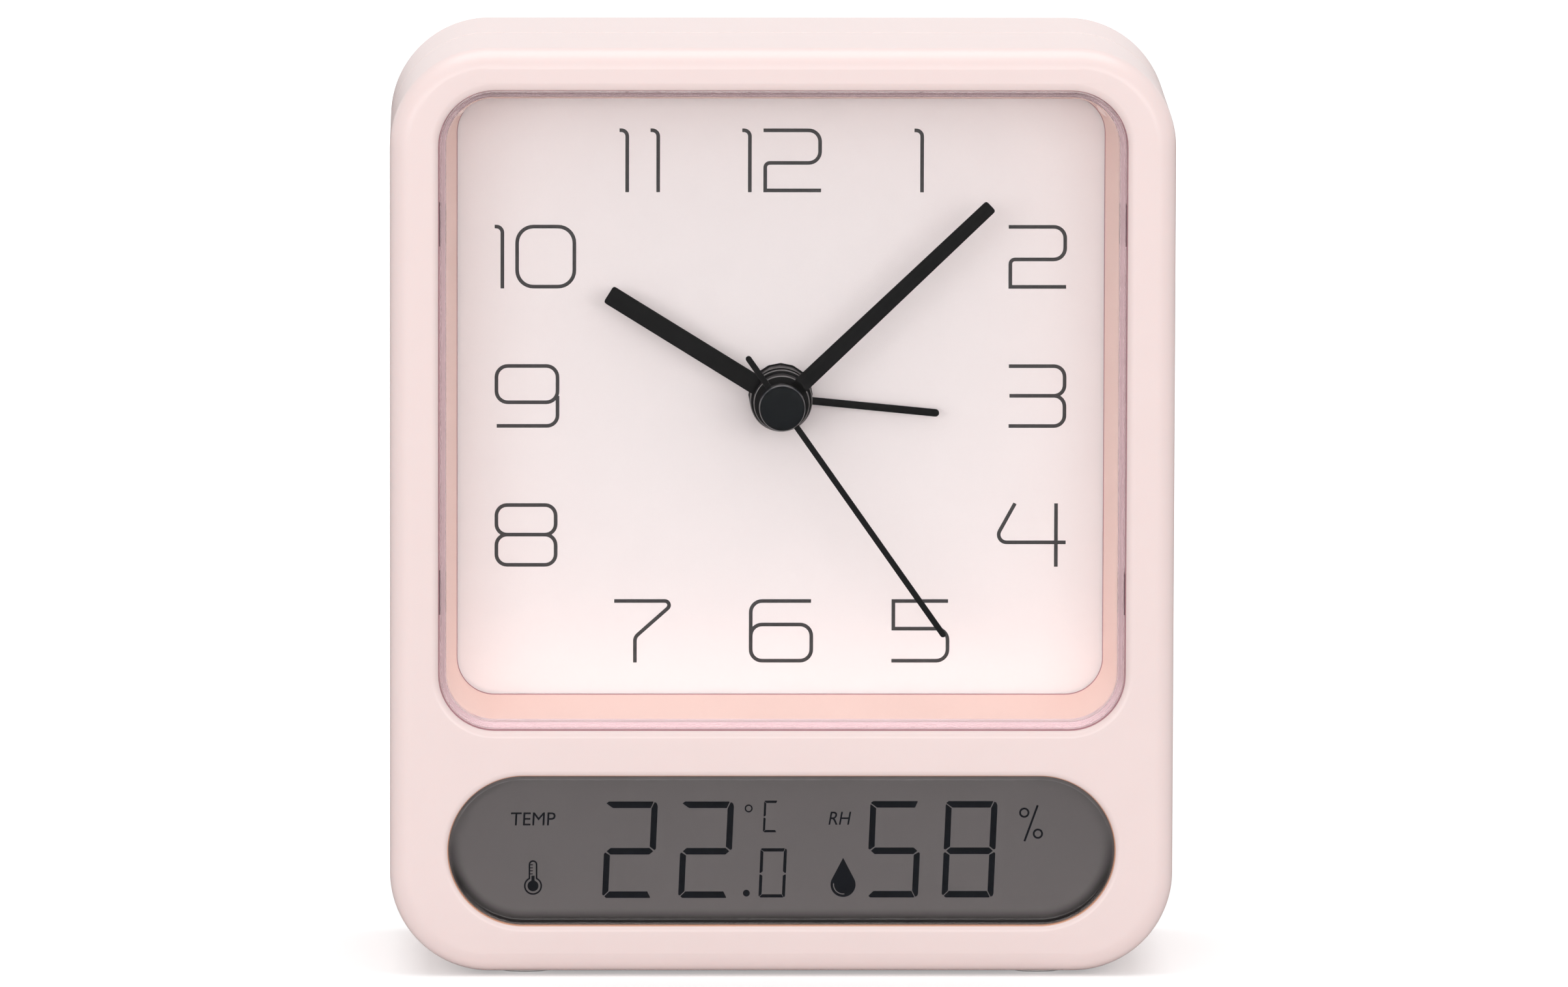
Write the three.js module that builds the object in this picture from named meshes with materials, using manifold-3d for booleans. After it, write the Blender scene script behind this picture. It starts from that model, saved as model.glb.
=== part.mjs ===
// Table alarm clock: a four-hand quartz movement behind a square lens, with a temperature and
// humidity display below it. Millimetres, +Z up, the front faces -Y, and the origin lies on the
// table under the middle of the housing.
import * as THREE from 'three';
import { mergeVertices } from 'three/addons/utils/BufferGeometryUtils.js';
import Module from 'manifold-3d';

const wasm = await Module();
wasm.setup();

// Housing
const HOUSING_WIDTH = 110;
const HOUSING_HEIGHT = 130.5;
const HOUSING_CORNER = 14;
const HOUSING_WALL = 2.2;
const FRONT_DEPTH = 22;
const REAR_DEPTH = 22;
const FRONT_FILLET = 2.8;
const REAR_FILLET = 2.5;
const SEAM_CHAMFER = 0.3;
const TONGUE_HEIGHT = 1.6;
const TONGUE_THICKNESS = 1.0;

// Feet
const FOOT_PROUD = 0.5;
const FOOT_RADIUS = 4.5;
const FOOT_RECESS = 0.9;
const FOOT_INSET = 19;
const FOOT_FRONT_SETBACK = 8.5;
const FOOT_REAR_SETBACK = 9.5;

// The front face left around the two windows
const SIDE_MARGIN = 6.9;
const TOP_MARGIN = 5.95;
const BRIDGE = 6.6;
const BOTTOM_MARGIN = 6.75;
const DISPLAY_SIDE_MARGIN = 8.2;

// Window, lens and dial
const LENS_CORNER = 7.8;
const LENS_THICKNESS = 1.6;
const LENS_SETBACK = 0.9;
const LENS_EDGE = 0.4;
const SKIRT_THICKNESS = 0.85;
const SKIRT_DEPTH = 3.4;
const WINDOW_LIP = 1.2;
const WELL_WALL = 1.4;
const WELL_TAPER = 1.6;
const DIAL_TO_SEAM = 3;
const TAB_LENGTH = 5.4;
const TAB_HEIGHT = 1.4;
const TAB_REACH = 0.45;
const TAB_OFFSET = 26;
const SLOT_DEPTH = 0.7;
const DIAL_THICKNESS = 1.2;
const DIAL_MARGIN = 1.1;
const DIAL_BOSS_RADIUS = 2.6;

// Display
const DISPLAY_TALL = 21.1;
const DISPLAY_LIP = 0.9;
const DISPLAY_SETBACK = 0.6;
const DISPLAY_PILLOW = 1.2;
const DISPLAY_FLANGE = 1.3;
const DISPLAY_FLANGE_THICKNESS = 1.0;
const PANEL_OVERLAP = 0.15;
const PANEL_THICKNESS = 1.8;
const STRIP_TALL = 1.8;
const STRIP_INSET = 2;
const STRIP_DEPTH = 2.4;
const BOARD_THICKNESS = 1.2;
const BOARD_OVERLAP = 0.6;
const FRAME_WALL = 1.4;
const FRAME_CORNER = 0.5;
const SENSOR_SIZE = 3.2;
const SENSOR_THICKNESS = 1.3;
const SENSOR_PORT_RADIUS = 0.7;
const SENSOR_PORT_DEPTH = 0.5;

// Housing screws and their posts
const POST_INSET = 8.4;
const POST_RADIUS = 2.6;
const POST_LENGTH = 9.5;
const PILLAR_RADIUS = 3.6;
const PILLAR_RELIEF = 1;
const RIB_THICKNESS = 1.2;
const SCREW_RADIUS = 0.95;
const SCREW_HEAD_RADIUS = 2.0;
const SCREW_HEAD_HEIGHT = 1.5;
const SCREW_SEAT_DEPTH = 12;
const SCREW_BITE = 6;
const HEAD_CROWN_SHARE = 0.75;

// Hands: how far each stops short of the recess wall above the axis, and its width
const HAND_THICKNESS = 0.4;
const HAND_CHAMFER = 0.25;
const ALARM_HAND_SHORT = 20.6;
const ALARM_HAND_WIDTH = 1.05;
const ALARM_HUB_RADIUS = 4.4;
const HOUR_HAND_SHORT = 14.5;
const HOUR_HAND_WIDTH = 2.7;
const HOUR_HUB_RADIUS = 4.4;
const MINUTE_HAND_SHORT = 2.5;
const MINUTE_HAND_ROOT = 2.35;
const MINUTE_HAND_TIP = 1.95;
const MINUTE_HUB_RADIUS = 3.95;
const SECOND_HAND_SHORT = 2;
const SECOND_HAND_WIDTH = 0.84;
const SECOND_TAIL_LENGTH = 8.6;
const SECOND_HUB_RADIUS = 2.2;
const CAP_RADIUS = 3.25;
const CAP_HEIGHT = 2.5;
const CAP_SOCKET = 1.2;
const CAP_FLAT_SHARE = 0.86;
const CAP_DOME_SHARE = 0.32;
const CAP_TO_LENS = 1.28;
const FIRST_HAND_RISE = 2.9;
const COLLAR_HEIGHT = 0.9;
const COLLAR_WALL = 0.6;

// Where the hands stand, in degrees clockwise from twelve
const ALARM_ANGLE = 95.6;
const HOUR_ANGLE = 302.6;
const MINUTE_ANGLE = 46.8;
const SECOND_ANGLE = 145.3;

// Pipes and arbors on the hands' axis, from the inside out
const ARBOR_RADIUS = 0.5;
const PIPE_WALL = 0.6;
const BOSS_WALL = 1.0;
const BOSS_RISE = 2;
const RUNNING_GAP = 0.25;

// Wheel train: tooth counts and centre distances
const ROTOR_PINION_TEETH = 6;
const INTERMEDIATE_TEETH = 36;
const PINION_TEETH = 6;
const SECOND_TEETH = 30;
const THIRD_TEETH = 45;
const CENTRE_TEETH = 48;
const MINUTE_PINION_TEETH = 10;
const MOTION_TEETH = 30;
const MOTION_PINION_TEETH = 8;
const HOUR_TEETH = 32;
const SET_TEETH = 10;
const ALARM_TEETH = 16;
const ALARM_SET_TEETH = 24;
const THIRD_DISTANCE = 9.2;
const INTERMEDIATE_DISTANCE = 7.2;
const ROTOR_DISTANCE = 7.0;
const MOTION_DISTANCE = 7.2;
const KNOB_SPACING = 24;

// Tooth form, as shares of the module and of the half pitch
const ADDENDUM = 0.8;
const PINION_DEDENDUM = 1.15;
const WHEEL_DEDENDUM = 1.6;
const TIP_SHARE = 0.2;
const ROOT_SHARE = 0.5;
const MOST_PINION_TEETH = 10;

// Where each wheel lies behind the movement's front plate
const ALARM_LEVEL = 0.4;
const HOUR_LEVEL = 1.5;
const MOTION_LEVEL = 2.8;
const CENTRE_LEVEL = 4.1;
const THIRD_LEVEL = 5.3;
const SECOND_LEVEL = 6.5;
const INTERMEDIATE_LEVEL = 7.7;
const ROTOR_LEVEL = 9.1;
const WHEEL_THICKNESS = 0.7;
const PINION_OVERHANG = 0.1;

// Movement case and motor
const MOVEMENT_SIZE = 56;
const MOVEMENT_CORNER = 3;
const MOVEMENT_DROP = 3;
const MOVEMENT_DEPTH = 12;
const MOVEMENT_EDGE = 0.4;
const MOVEMENT_WALL = 1.2;
const PLATE_THICKNESS = 1.4;
const PIVOT_RADIUS = 0.45;
const PIVOT_DEPTH = 0.8;
const STUD_RADIUS = 0.45;
const BEARING_RADIUS = 1.5;
const BEARING_HEIGHT = 1.2;
const EAR_REACH = 6.6;
const EAR_HEIGHT = 7;
const EAR_THICKNESS = 1.4;
const EAR_LEVEL = 3.4;
const EAR_SCREW_RADIUS = 0.75;
const EAR_SCREW_HEAD = 1.7;
const EAR_SCREW_HEAD_HEIGHT = 1.1;
const EAR_SCREW_BITE = 2.4;
const MAGNET_RADIUS = 2.6;
const MAGNET_THICKNESS = 1.8;
const STATOR_HOLE = 3.1;
const STATOR_RING = 5.2;
const STATOR_THICKNESS = 1.0;
const STATOR_SPAN = 29;
const STATOR_BAR = 5;
const STATOR_LEG = 3;
const COIL_LENGTH = 20;
const COIL_RADIUS = 2.5;
const COIL_FLANGE_RADIUS = 2.9;
const COIL_FLANGE_THICKNESS = 0.8;
const COIL_BORE = 1.55;
const CORE_TALL = 2.6;
const CORE_THICKNESS = 1.0;
const CIRCUIT_WIDTH = 40;
const CIRCUIT_TALL = 8;
const CIRCUIT_THICKNESS = 1.0;
const CIRCUIT_POST_INSET = 3;
const CIRCUIT_POST_HEIGHT = 1;
const MOVEMENT_POST_RADIUS = 1.5;
const CRYSTAL_RADIUS = 1.5;
const CRYSTAL_LENGTH = 6.2;
const CRYSTAL_EDGE = 0.3;

// Setting knobs and their recess
const SHAFT_RADIUS = 1.2;
const KNOB_RADIUS = 6.4;
const KNOB_HEIGHT = 4.1;
const KNOB_FLUTES = 14;
const KNOB_FLUTE_DEPTH = 0.35;
const KNOB_EDGE = 0.6;
const KNOB_EDGE_SHARE = 0.92;
const KNOB_SOCKET = 2.6;
const RECESS_FLOOR_DEPTH = 5;
const RECESS_MARGIN = 4.6;
const RECESS_CORNER = 6;
const RECESS_WALL = 1.5;
const RECESS_EDGE = 1;

// Alarm switch
const SWITCH_RISE = 19;
const SWITCH_WIDTH = 7;
const SWITCH_TALL = 6;
const SWITCH_TRAVEL = 4;
const SWITCH_RECESS_DEPTH = 2.6;
const SWITCH_MARGIN = 1;
const SWITCH_END_MARGIN = 2;
const SWITCH_CORNER = 1.5;
const SWITCH_RIBS = 3;
const SWITCH_RIB_PITCH = 2;
const SWITCH_GROOVE_WIDTH = 0.8;
const SWITCH_GROOVE_DEPTH = 0.4;
const SWITCH_STEM_WIDTH = 3;
const SWITCH_STEM_TALL = 2;

// Sounder and its slots
const SOUNDER_INSET = 15.5;
const SOUNDER_RISE = 18;
const SOUNDER_RADIUS = 9;
const SOUNDER_THICKNESS = 2.6;
const SOUNDER_RING_WALL = 1.2;
const SOUNDER_PORT_RADIUS = 2;
const SOUNDER_PORT_DEPTH = 0.8;
const SOUND_SLOT_LENGTH = 12;
const SOUND_SLOT_COUNT = 4;
const SLOT_WIDTH = 1.3;
const SLOT_PITCH = 2.9;

// Unit button, its board, and the vents of the sensor
const BUTTON_INSET = 11.7;
const BUTTON_HEIGHT = 30;
const BUTTON_RADIUS = 3;
const BUTTON_TRAVEL = 0.8;
const BUTTON_RIM = 0.8;
const BUTTON_DISH_RADIUS = 6;
const BUTTON_DISH_DEPTH = 1.4;
const BUTTON_EDGE = 0.4;
const BUTTON_RING_WALL = 1;
const BUTTON_CONTACT_RADIUS = 1.6;
const BUTTON_CONTACT_HEIGHT = 0.65;
const BUTTON_BOARD_SIZE = 13;
const VENT_COUNT = 3;
const VENT_LENGTH = 10;

// Batteries, their bay and its door
const CELL_RADIUS = 7.25;
const CELL_LENGTH = 49.2;
const CELL_NUB_RADIUS = 2.7;
const CELL_NUB_LENGTH = 1.2;
const CELL_EDGE = 0.6;
const CELL_PITCH = 15.4;
const CELL_TO_DOOR = 0.5;
const BAY_HEIGHT = 24;
const BAY_MARGIN = 1.0;
const BAY_WALL = 1.4;
const BAY_CORNER = 1;
const CONTACT_SIZE = 11;
const CONTACT_THICKNESS = 0.5;
const SPRING_LENGTH = 3.6;
const SPRING_TURNS = 2.5;
const SPRING_WIRE = 0.35;
const SPRING_WIDE = 4.0;
const SPRING_NARROW = 2.7;
const SPRING_STEPS = 8;
const WIRE_SIDES = 5;
const DOOR_THICKNESS = 1.6;
const DOOR_LEDGE = 1.6;
const DOOR_CORNER = 0.4;
const DOOR_TRUNNION = 0.5;
const DOOR_TRUNNION_LENGTH = 0.9;
const DOOR_FRAME_WALL = 1.5;
const DOOR_FRAME_DEPTH = 4.2;
const DOOR_GROOVES = 3;
const DOOR_GROOVE_LENGTH = 16;
const DOOR_GROOVE_WIDTH = 0.9;
const DOOR_GROOVE_DEPTH = 0.5;
const DOOR_GROOVE_PITCH = 2;
const DOOR_GROOVE_INSET = 4;
const LATCH_CLEARANCE = 1.1;
const LATCH_WIDTH = 9;
const LATCH_DEPTH = 2.6;
const LATCH_THICKNESS = 0.9;

// Clearances
const SEAT_GAP = 0.3;
const FIT_GAP = 0.15;
const PRESS_GAP = 0.12;
const BREAKOUT = 1;

// How finely round stretches are stepped
const CORNER_STEPS = 6;
const WINDOW_CORNER_STEPS = 4;
const SMALL_CORNER_STEPS = 2;
const FILLET_STEPS = 3;
const LIP_STEPS = 2;
const ROUND_SIDES = 16;
const HOLE_SIDES = 12;
const SMALL_ROUND_SIDES = 8;
const DOME_STEPS = 4;
const HAND_TIP_STEPS = 4;
const WELD_DISTANCE = 1e-4;
const LEAST_RADIUS = 0.05;

// Planes and places that follow from the sizes above
const frontY = -(FRONT_DEPTH + REAR_DEPTH) / 2;
const seamY = frontY + FRONT_DEPTH;
const rearY = seamY + REAR_DEPTH;
const frontWallRear = frontY + HOUSING_WALL;
const rearWallFront = rearY - HOUSING_WALL;
const housingZ = FOOT_PROUD + HOUSING_HEIGHT / 2;
const dialFront = seamY - DIAL_TO_SEAM;
const dialRear = dialFront + DIAL_THICKNESS;
const plateFront = dialRear + SEAT_GAP;
const trainY = plateFront + PLATE_THICKNESS;
const movementRearInner = trainY + MOVEMENT_DEPTH;
const movementRear = movementRearInner + MOVEMENT_WALL;
const lensFront = frontY + LENS_SETBACK;
const ledgeY = lensFront + LENS_THICKNESS + SKIRT_DEPTH;
const displayFront = frontY + DISPLAY_SETBACK;
const flangeFront = frontWallRear + FIT_GAP;
const flangeRear = flangeFront + DISPLAY_FLANGE_THICKNESS;
const panelFront = flangeRear + SEAT_GAP;
const panelRear = panelFront + PANEL_THICKNESS;
const displayBoardFront = panelRear + 2 * FIT_GAP + STRIP_DEPTH;

const lensWidth = HOUSING_WIDTH - 2 * SIDE_MARGIN;
const lensHeight = HOUSING_HEIGHT - TOP_MARGIN - BRIDGE - DISPLAY_TALL - BOTTOM_MARGIN;
const displayWidth = HOUSING_WIDTH - 2 * DISPLAY_SIDE_MARGIN;
const displayHeight = FOOT_PROUD + BOTTOM_MARGIN + DISPLAY_TALL / 2;
const handsHeight = displayHeight + DISPLAY_TALL / 2 + BRIDGE + lensHeight / 2;
const panelWidth = displayWidth + 2 * PANEL_OVERLAP;
const panelTall = DISPLAY_TALL + 2 * PANEL_OVERLAP;
const footX = HOUSING_WIDTH / 2 - FOOT_INSET;
const buttonX = HOUSING_WIDTH / 2 - BUTTON_INSET;
const sounderX = SOUNDER_INSET - HOUSING_WIDTH / 2;
const sounderZ = handsHeight + SOUNDER_RISE;

// The hands clear the foot of the recess wall on its nearer sides
const handRoom = Math.min(lensWidth, lensHeight) / 2 - SKIRT_THICKNESS - WELL_TAPER;
const alarmHandLength = handRoom - ALARM_HAND_SHORT;
const hourHandLength = handRoom - HOUR_HAND_SHORT;
const minuteHandLength = handRoom - MINUTE_HAND_SHORT;
const secondHandLength = handRoom - SECOND_HAND_SHORT;

const housing = { width: HOUSING_WIDTH, height: HOUSING_HEIGHT, radius: HOUSING_CORNER };
const opening = { width: lensWidth, height: lensHeight, radius: LENS_CORNER };
const displayOpening = { width: displayWidth, height: DISPLAY_TALL, radius: DISPLAY_TALL / 2 };
const movement = { width: MOVEMENT_SIZE, height: MOVEMENT_SIZE, radius: MOVEMENT_CORNER };

// The axes of the train, seen from the front, measured from the hands' axis
const axes = {
  centre: [0, 0],
  third: [0, THIRD_DISTANCE],
  intermediate: [0, -INTERMEDIATE_DISTANCE],
  rotor: [0, -INTERMEDIATE_DISTANCE - ROTOR_DISTANCE],
  timeSet: [KNOB_SPACING / 2, 0],
  alarmSet: [-KNOB_SPACING / 2, 0],
  motion: [KNOB_SPACING / 4, -Math.sqrt(MOTION_DISTANCE ** 2 - (KNOB_SPACING / 4) ** 2)],
};
const alarmDistance = KNOB_SPACING / 2;

// Radii of the pipes that turn inside each other
const minutePipeInner = ARBOR_RADIUS + RUNNING_GAP;
const minutePipeOuter = minutePipeInner + PIPE_WALL;
const hourPipeInner = minutePipeOuter + RUNNING_GAP;
const hourPipeOuter = hourPipeInner + PIPE_WALL;
const alarmPipeInner = hourPipeOuter + RUNNING_GAP;
const alarmPipeOuter = alarmPipeInner + PIPE_WALL;
const bossInner = alarmPipeOuter + RUNNING_GAP;
const bossOuter = bossInner + BOSS_WALL;

// The rear face of each hand, from the dial forwards; they share the room before the lens evenly
const capSpan = HAND_THICKNESS + PRESS_GAP + CAP_HEIGHT + CAP_TO_LENS;
const handPitch = (dialFront - FIRST_HAND_RISE - lensFront - LENS_THICKNESS - capSpan) / 3;
const alarmHandY = dialFront - FIRST_HAND_RISE;
const hourHandY = alarmHandY - handPitch;
const minuteHandY = hourHandY - handPitch;
const secondHandY = minuteHandY - handPitch;

// The battery bay
const cellY = rearY - DOOR_THICKNESS - CELL_TO_DOOR - CELL_RADIUS;
const bayFloorY = cellY - CELL_RADIUS - SEAT_GAP;
const bayHalfTall = CELL_PITCH / 2 + CELL_RADIUS + BAY_MARGIN;
const cellRoom = CELL_LENGTH + CELL_NUB_LENGTH;
const contactRoom = SEAT_GAP + CONTACT_THICKNESS + SEAT_GAP;
const bayHalfWide = (cellRoom + SPRING_LENGTH + 2 * contactRoom) / 2;
const doorHalfWide = bayHalfWide + DOOR_LEDGE - SEAT_GAP;
const doorHalfTall = bayHalfTall + DOOR_LEDGE - SEAT_GAP;
const doorBarrel = DOOR_THICKNESS / 2;
const doorPivotY = rearY - doorBarrel;
const doorPivotZ = BAY_HEIGHT - doorHalfTall + doorBarrel;

// The four screw posts
const postX = HOUSING_WIDTH / 2 - POST_INSET;
const postZ = HOUSING_HEIGHT / 2 - POST_INSET;
const posts = [[1, 1], [-1, 1], [-1, -1], [1, -1]].map(([sx, sz]) => ({
  x: sx * postX,
  z: housingZ + sz * postZ,
  angle: Math.atan2(sz, sx),
}));
const screwSeatY = rearY - SCREW_SEAT_DEPTH;

// Turns a closed geometry into a solid with its faces outwards
function solid(geometry) {
  geometry.deleteAttribute('normal');
  geometry.deleteAttribute('uv');
  const merged = mergeVertices(geometry, WELD_DISTANCE);
  const position = merged.attributes.position;
  const corners = [new THREE.Vector3(), new THREE.Vector3(), new THREE.Vector3()];
  const faces = [];
  let volume = 0;
  for (let at = 0; at < merged.index.count; at += 3) {
    const face = [0, 1, 2].map((k) => merged.index.getX(at + k));
    if (new Set(face).size === 3) {
      faces.push(face);
      corners.forEach((corner, k) => corner.fromBufferAttribute(position, face[k]));
      volume += corners[0].dot(corners[1].cross(corners[2]));
    }
  }
  const outward = volume > 0 ? faces : faces.map(([a, b, c]) => [a, c, b]);
  return new wasm.Manifold(new wasm.Mesh({
    numProp: 3,
    vertProperties: Float32Array.from(position.array),
    triVerts: Uint32Array.from(outward.flat()),
  }));
}

function joined(first, ...others) {
  return others.reduce((whole, other) => whole.add(other), first);
}

function cut(whole, ...tools) {
  return tools.reduce((left, tool) => left.subtract(tool), whole);
}

// Joins rings of equal point counts, and closes both ends with a fan
function loft(rings) {
  const count = rings[0].length;
  const points = rings.flat();
  const faces = [];
  for (let ring = 0; ring + 1 < rings.length; ring += 1) {
    for (let k = 0; k < count; k += 1) {
      const a = ring * count + k;
      const b = ring * count + (k + 1) % count;
      faces.push(a, b, b + count, a, b + count, a + count);
    }
  }
  for (const [ring, turned] of [[0, true], [rings.length - 1, false]]) {
    const middle = points.length;
    points.push([0, 1, 2].map((k) => rings[ring].reduce((sum, p) => sum + p[k], 0) / count));
    for (let k = 0; k < count; k += 1) {
      const a = ring * count + k;
      const b = ring * count + (k + 1) % count;
      faces.push(...(turned ? [middle, b, a] : [middle, a, b]));
    }
  }
  const geometry = new THREE.BufferGeometry();
  geometry.setAttribute('position', new THREE.Float32BufferAttribute(points.flat(), 3));
  geometry.setIndex(faces);
  return solid(geometry);
}

// The outline of a rounded rectangle about its own centre
function rounded(width, height, radius, steps) {
  const points = [];
  [[1, 1], [-1, 1], [-1, -1], [1, -1]].forEach(([sx, sz], quarter) => {
    for (let step = 0; step <= steps; step += 1) {
      const angle = (quarter + step / steps) * Math.PI / 2;
      points.push([
        sx * (width / 2 - radius) + radius * Math.cos(angle),
        sz * (height / 2 - radius) + radius * Math.sin(angle),
      ]);
    }
  });
  return points;
}

// The same rounded rectangle, drawn in by an amount, at a depth
function inset({ width, height, radius }, amount, y) {
  return {
    width: width - 2 * amount,
    height: height - 2 * amount,
    radius: Math.max(radius - amount, LEAST_RADIUS),
    y,
  };
}

// Sections of a quarter-round edge that starts on the face at y: a positive radius rounds a
// body's edge, and a negative one flares the mouth of a cut
function roundEdge(size, radius, y, inward, steps = FILLET_STEPS) {
  return Array.from({ length: steps + 1 }, (_, step) => {
    const angle = step / steps * Math.PI / 2;
    const depth = Math.abs(radius) * (1 - Math.cos(angle));
    return inset(size, radius * (1 - Math.sin(angle)), y + inward * depth);
  });
}

// A solid through rounded rectangles stacked along Y
function stack(sections, x = 0, z = 0, steps = CORNER_STEPS) {
  return loft(sections.map(({ width, height, radius, y }) => (
    rounded(width, height, radius, steps).map(([u, v]) => [x + u, y, z + v])
  )));
}

// A flat plate with the given outline, between two depths
function plate(points, front, rear, holes = []) {
  const toVector = ([x, z]) => new THREE.Vector2(x, z);
  const shape = new THREE.Shape(points.map(toVector));
  holes.forEach((hole) => shape.holes.push(new THREE.Path(hole.map(toVector))));
  const geometry = new THREE.ExtrudeGeometry(shape, { depth: rear - front, bevelEnabled: false });
  geometry.rotateX(Math.PI / 2);
  geometry.translate(0, rear, 0);
  return solid(geometry);
}

function circle(radius, sides, x = 0, z = 0) {
  return Array.from({ length: sides }, (_, k) => {
    const angle = k / sides * 2 * Math.PI;
    return [x + radius * Math.cos(angle), z + radius * Math.sin(angle)];
  });
}

function block([x0, x1], [y0, y1], [z0, z1]) {
  const geometry = new THREE.BoxGeometry(x1 - x0, y1 - y0, z1 - z0);
  geometry.translate((x0 + x1) / 2, (y0 + y1) / 2, (z0 + z1) / 2);
  return solid(geometry);
}

function about(middle, size) {
  return [middle - size / 2, middle + size / 2];
}

// A round bar along Y
function rod(radius, front, rear, x = 0, z = 0, sides = ROUND_SIDES) {
  const geometry = new THREE.CylinderGeometry(radius, radius, rear - front, sides);
  geometry.translate(x, (front + rear) / 2, z);
  return solid(geometry);
}

// A turned body about Y, from a closed outline of [radius, y] points
function turned(profile, x = 0, z = 0, sides = ROUND_SIDES) {
  const points = [...profile, profile[0]].map(([radius, y]) => new THREE.Vector2(radius, y));
  const geometry = new THREE.LatheGeometry(points, sides);
  geometry.translate(x, 0, z);
  return solid(geometry);
}

// A turned body about an axis along X
function turnedAlongX(profile, [x, y, z], sides = ROUND_SIDES) {
  const points = [...profile, profile[0]].map(([radius, along]) => new THREE.Vector2(radius, along));
  const geometry = new THREE.LatheGeometry(points, sides);
  geometry.rotateZ(-Math.PI / 2);
  geometry.translate(x, y, z);
  return solid(geometry);
}

function tube(inner, outer, front, rear, x = 0, z = 0, sides = ROUND_SIDES) {
  return turned([[inner, front], [outer, front], [outer, rear], [inner, rear]], x, z, sides);
}

// Gears with straight flanks and one tooth centred on the phase angle: a pinion has flat gaps
// between its teeth, and a wheel has pointed ones
function gear(teeth, size, phase, level, bore) {
  const pitch = teeth * size / 2;
  const tip = pitch + ADDENDUM * size;
  const half = Math.PI / teeth;
  const flat = [[tip, -TIP_SHARE], [tip, TIP_SHARE]];
  const pinionRoot = pitch - PINION_DEDENDUM * size;
  const wheelRoot = pitch - WHEEL_DEDENDUM * size;
  const corners = teeth > MOST_PINION_TEETH
    ? [...flat, [wheelRoot, 1]]
    : [[pinionRoot, -ROOT_SHARE], ...flat, [pinionRoot, ROOT_SHARE]];
  const points = [];
  for (let tooth = 0; tooth < teeth; tooth += 1) {
    const middle = phase + tooth / teeth * 2 * Math.PI;
    for (const [radius, share] of corners) {
      const angle = middle + share * half;
      points.push([radius * Math.cos(angle), radius * Math.sin(angle)]);
    }
  }
  const holes = bore > 0 ? [circle(bore, SMALL_ROUND_SIDES)] : [];
  return plate(points, level[0], level[1], holes);
}

function wheelSpan(level) {
  return [trainY + level, trainY + level + WHEEL_THICKNESS];
}

function pinionSpan(level) {
  return [trainY + level - PINION_OVERHANG, trainY + level + WHEEL_THICKNESS + PINION_OVERHANG];
}

function bearing([fromX, fromZ], [toX, toZ]) {
  return Math.atan2(toZ - fromZ, toX - fromX);
}

// The phase that puts a gear in mesh with a neighbour of known phase
function meshPhase(neighbourTeeth, neighbourPhase, direction, teeth) {
  const offset = neighbourTeeth * (neighbourPhase - direction);
  return direction + Math.PI + (Math.PI - offset) / teeth;
}

function moduleOf(distance, teeth, otherTeeth) {
  return 2 * distance / (teeth + otherTeeth);
}

const rotorModule = moduleOf(ROTOR_DISTANCE, ROTOR_PINION_TEETH, INTERMEDIATE_TEETH);
const secondModule = moduleOf(INTERMEDIATE_DISTANCE, PINION_TEETH, SECOND_TEETH);
const thirdModule = moduleOf(THIRD_DISTANCE, PINION_TEETH, THIRD_TEETH);
const centreModule = moduleOf(THIRD_DISTANCE, PINION_TEETH, CENTRE_TEETH);
const motionModule = moduleOf(MOTION_DISTANCE, MINUTE_PINION_TEETH, MOTION_TEETH);
const hourModule = moduleOf(MOTION_DISTANCE, MOTION_PINION_TEETH, HOUR_TEETH);
const alarmModule = moduleOf(alarmDistance, ALARM_TEETH, ALARM_SET_TEETH);

// Housing

function footRecesses(centreY) {
  return [-1, 1].map((side) => {
    const geometry = new THREE.CylinderGeometry(
      FOOT_RADIUS + FIT_GAP, FOOT_RADIUS + FIT_GAP, FOOT_RECESS + BREAKOUT, ROUND_SIDES);
    geometry.rotateX(Math.PI / 2);
    geometry.translate(side * footX, centreY, FOOT_PROUD + (FOOT_RECESS - BREAKOUT) / 2);
    return solid(geometry);
  });
}

function foot(side, centreY) {
  const height = FOOT_PROUD + FOOT_RECESS - FIT_GAP;
  const geometry = new THREE.CylinderGeometry(FOOT_RADIUS, FOOT_RADIUS, height, ROUND_SIDES);
  geometry.rotateX(Math.PI / 2);
  geometry.translate(side * footX, centreY, height / 2);
  return solid(geometry);
}

const frontFootY = frontY + FOOT_FRONT_SETBACK;
const rearFootY = rearY - FOOT_REAR_SETBACK;

// A thin web from a screw post to the rounded corner of the housing
function postRib({ x, z, angle }) {
  const reach = (HOUSING_CORNER - HOUSING_WALL / 2) - (HOUSING_CORNER - POST_INSET) * Math.SQRT2;
  const along = [Math.cos(angle), Math.sin(angle)];
  const across = [-along[1], along[0]];
  const corners = [[0, -1], [reach, -1], [reach, 1], [0, 1]].map(([out, side]) => [
    x + along[0] * out + across[0] * side * RIB_THICKNESS / 2,
    z + along[1] * out + across[1] * side * RIB_THICKNESS / 2,
  ]);
  return plate(corners, seamY - POST_LENGTH, seamY - TONGUE_HEIGHT - SEAT_GAP);
}

const wellMouth = inset(opening, SKIRT_THICKNESS, ledgeY);
const wellFoot = inset(wellMouth, WELL_TAPER, dialFront - SEAT_GAP);

function tabPlaces() {
  return [-1, 1].flatMap((side) => (
    [-1, 1].map((end) => ({ side, z: handsHeight + end * TAB_OFFSET }))
  ));
}

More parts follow.
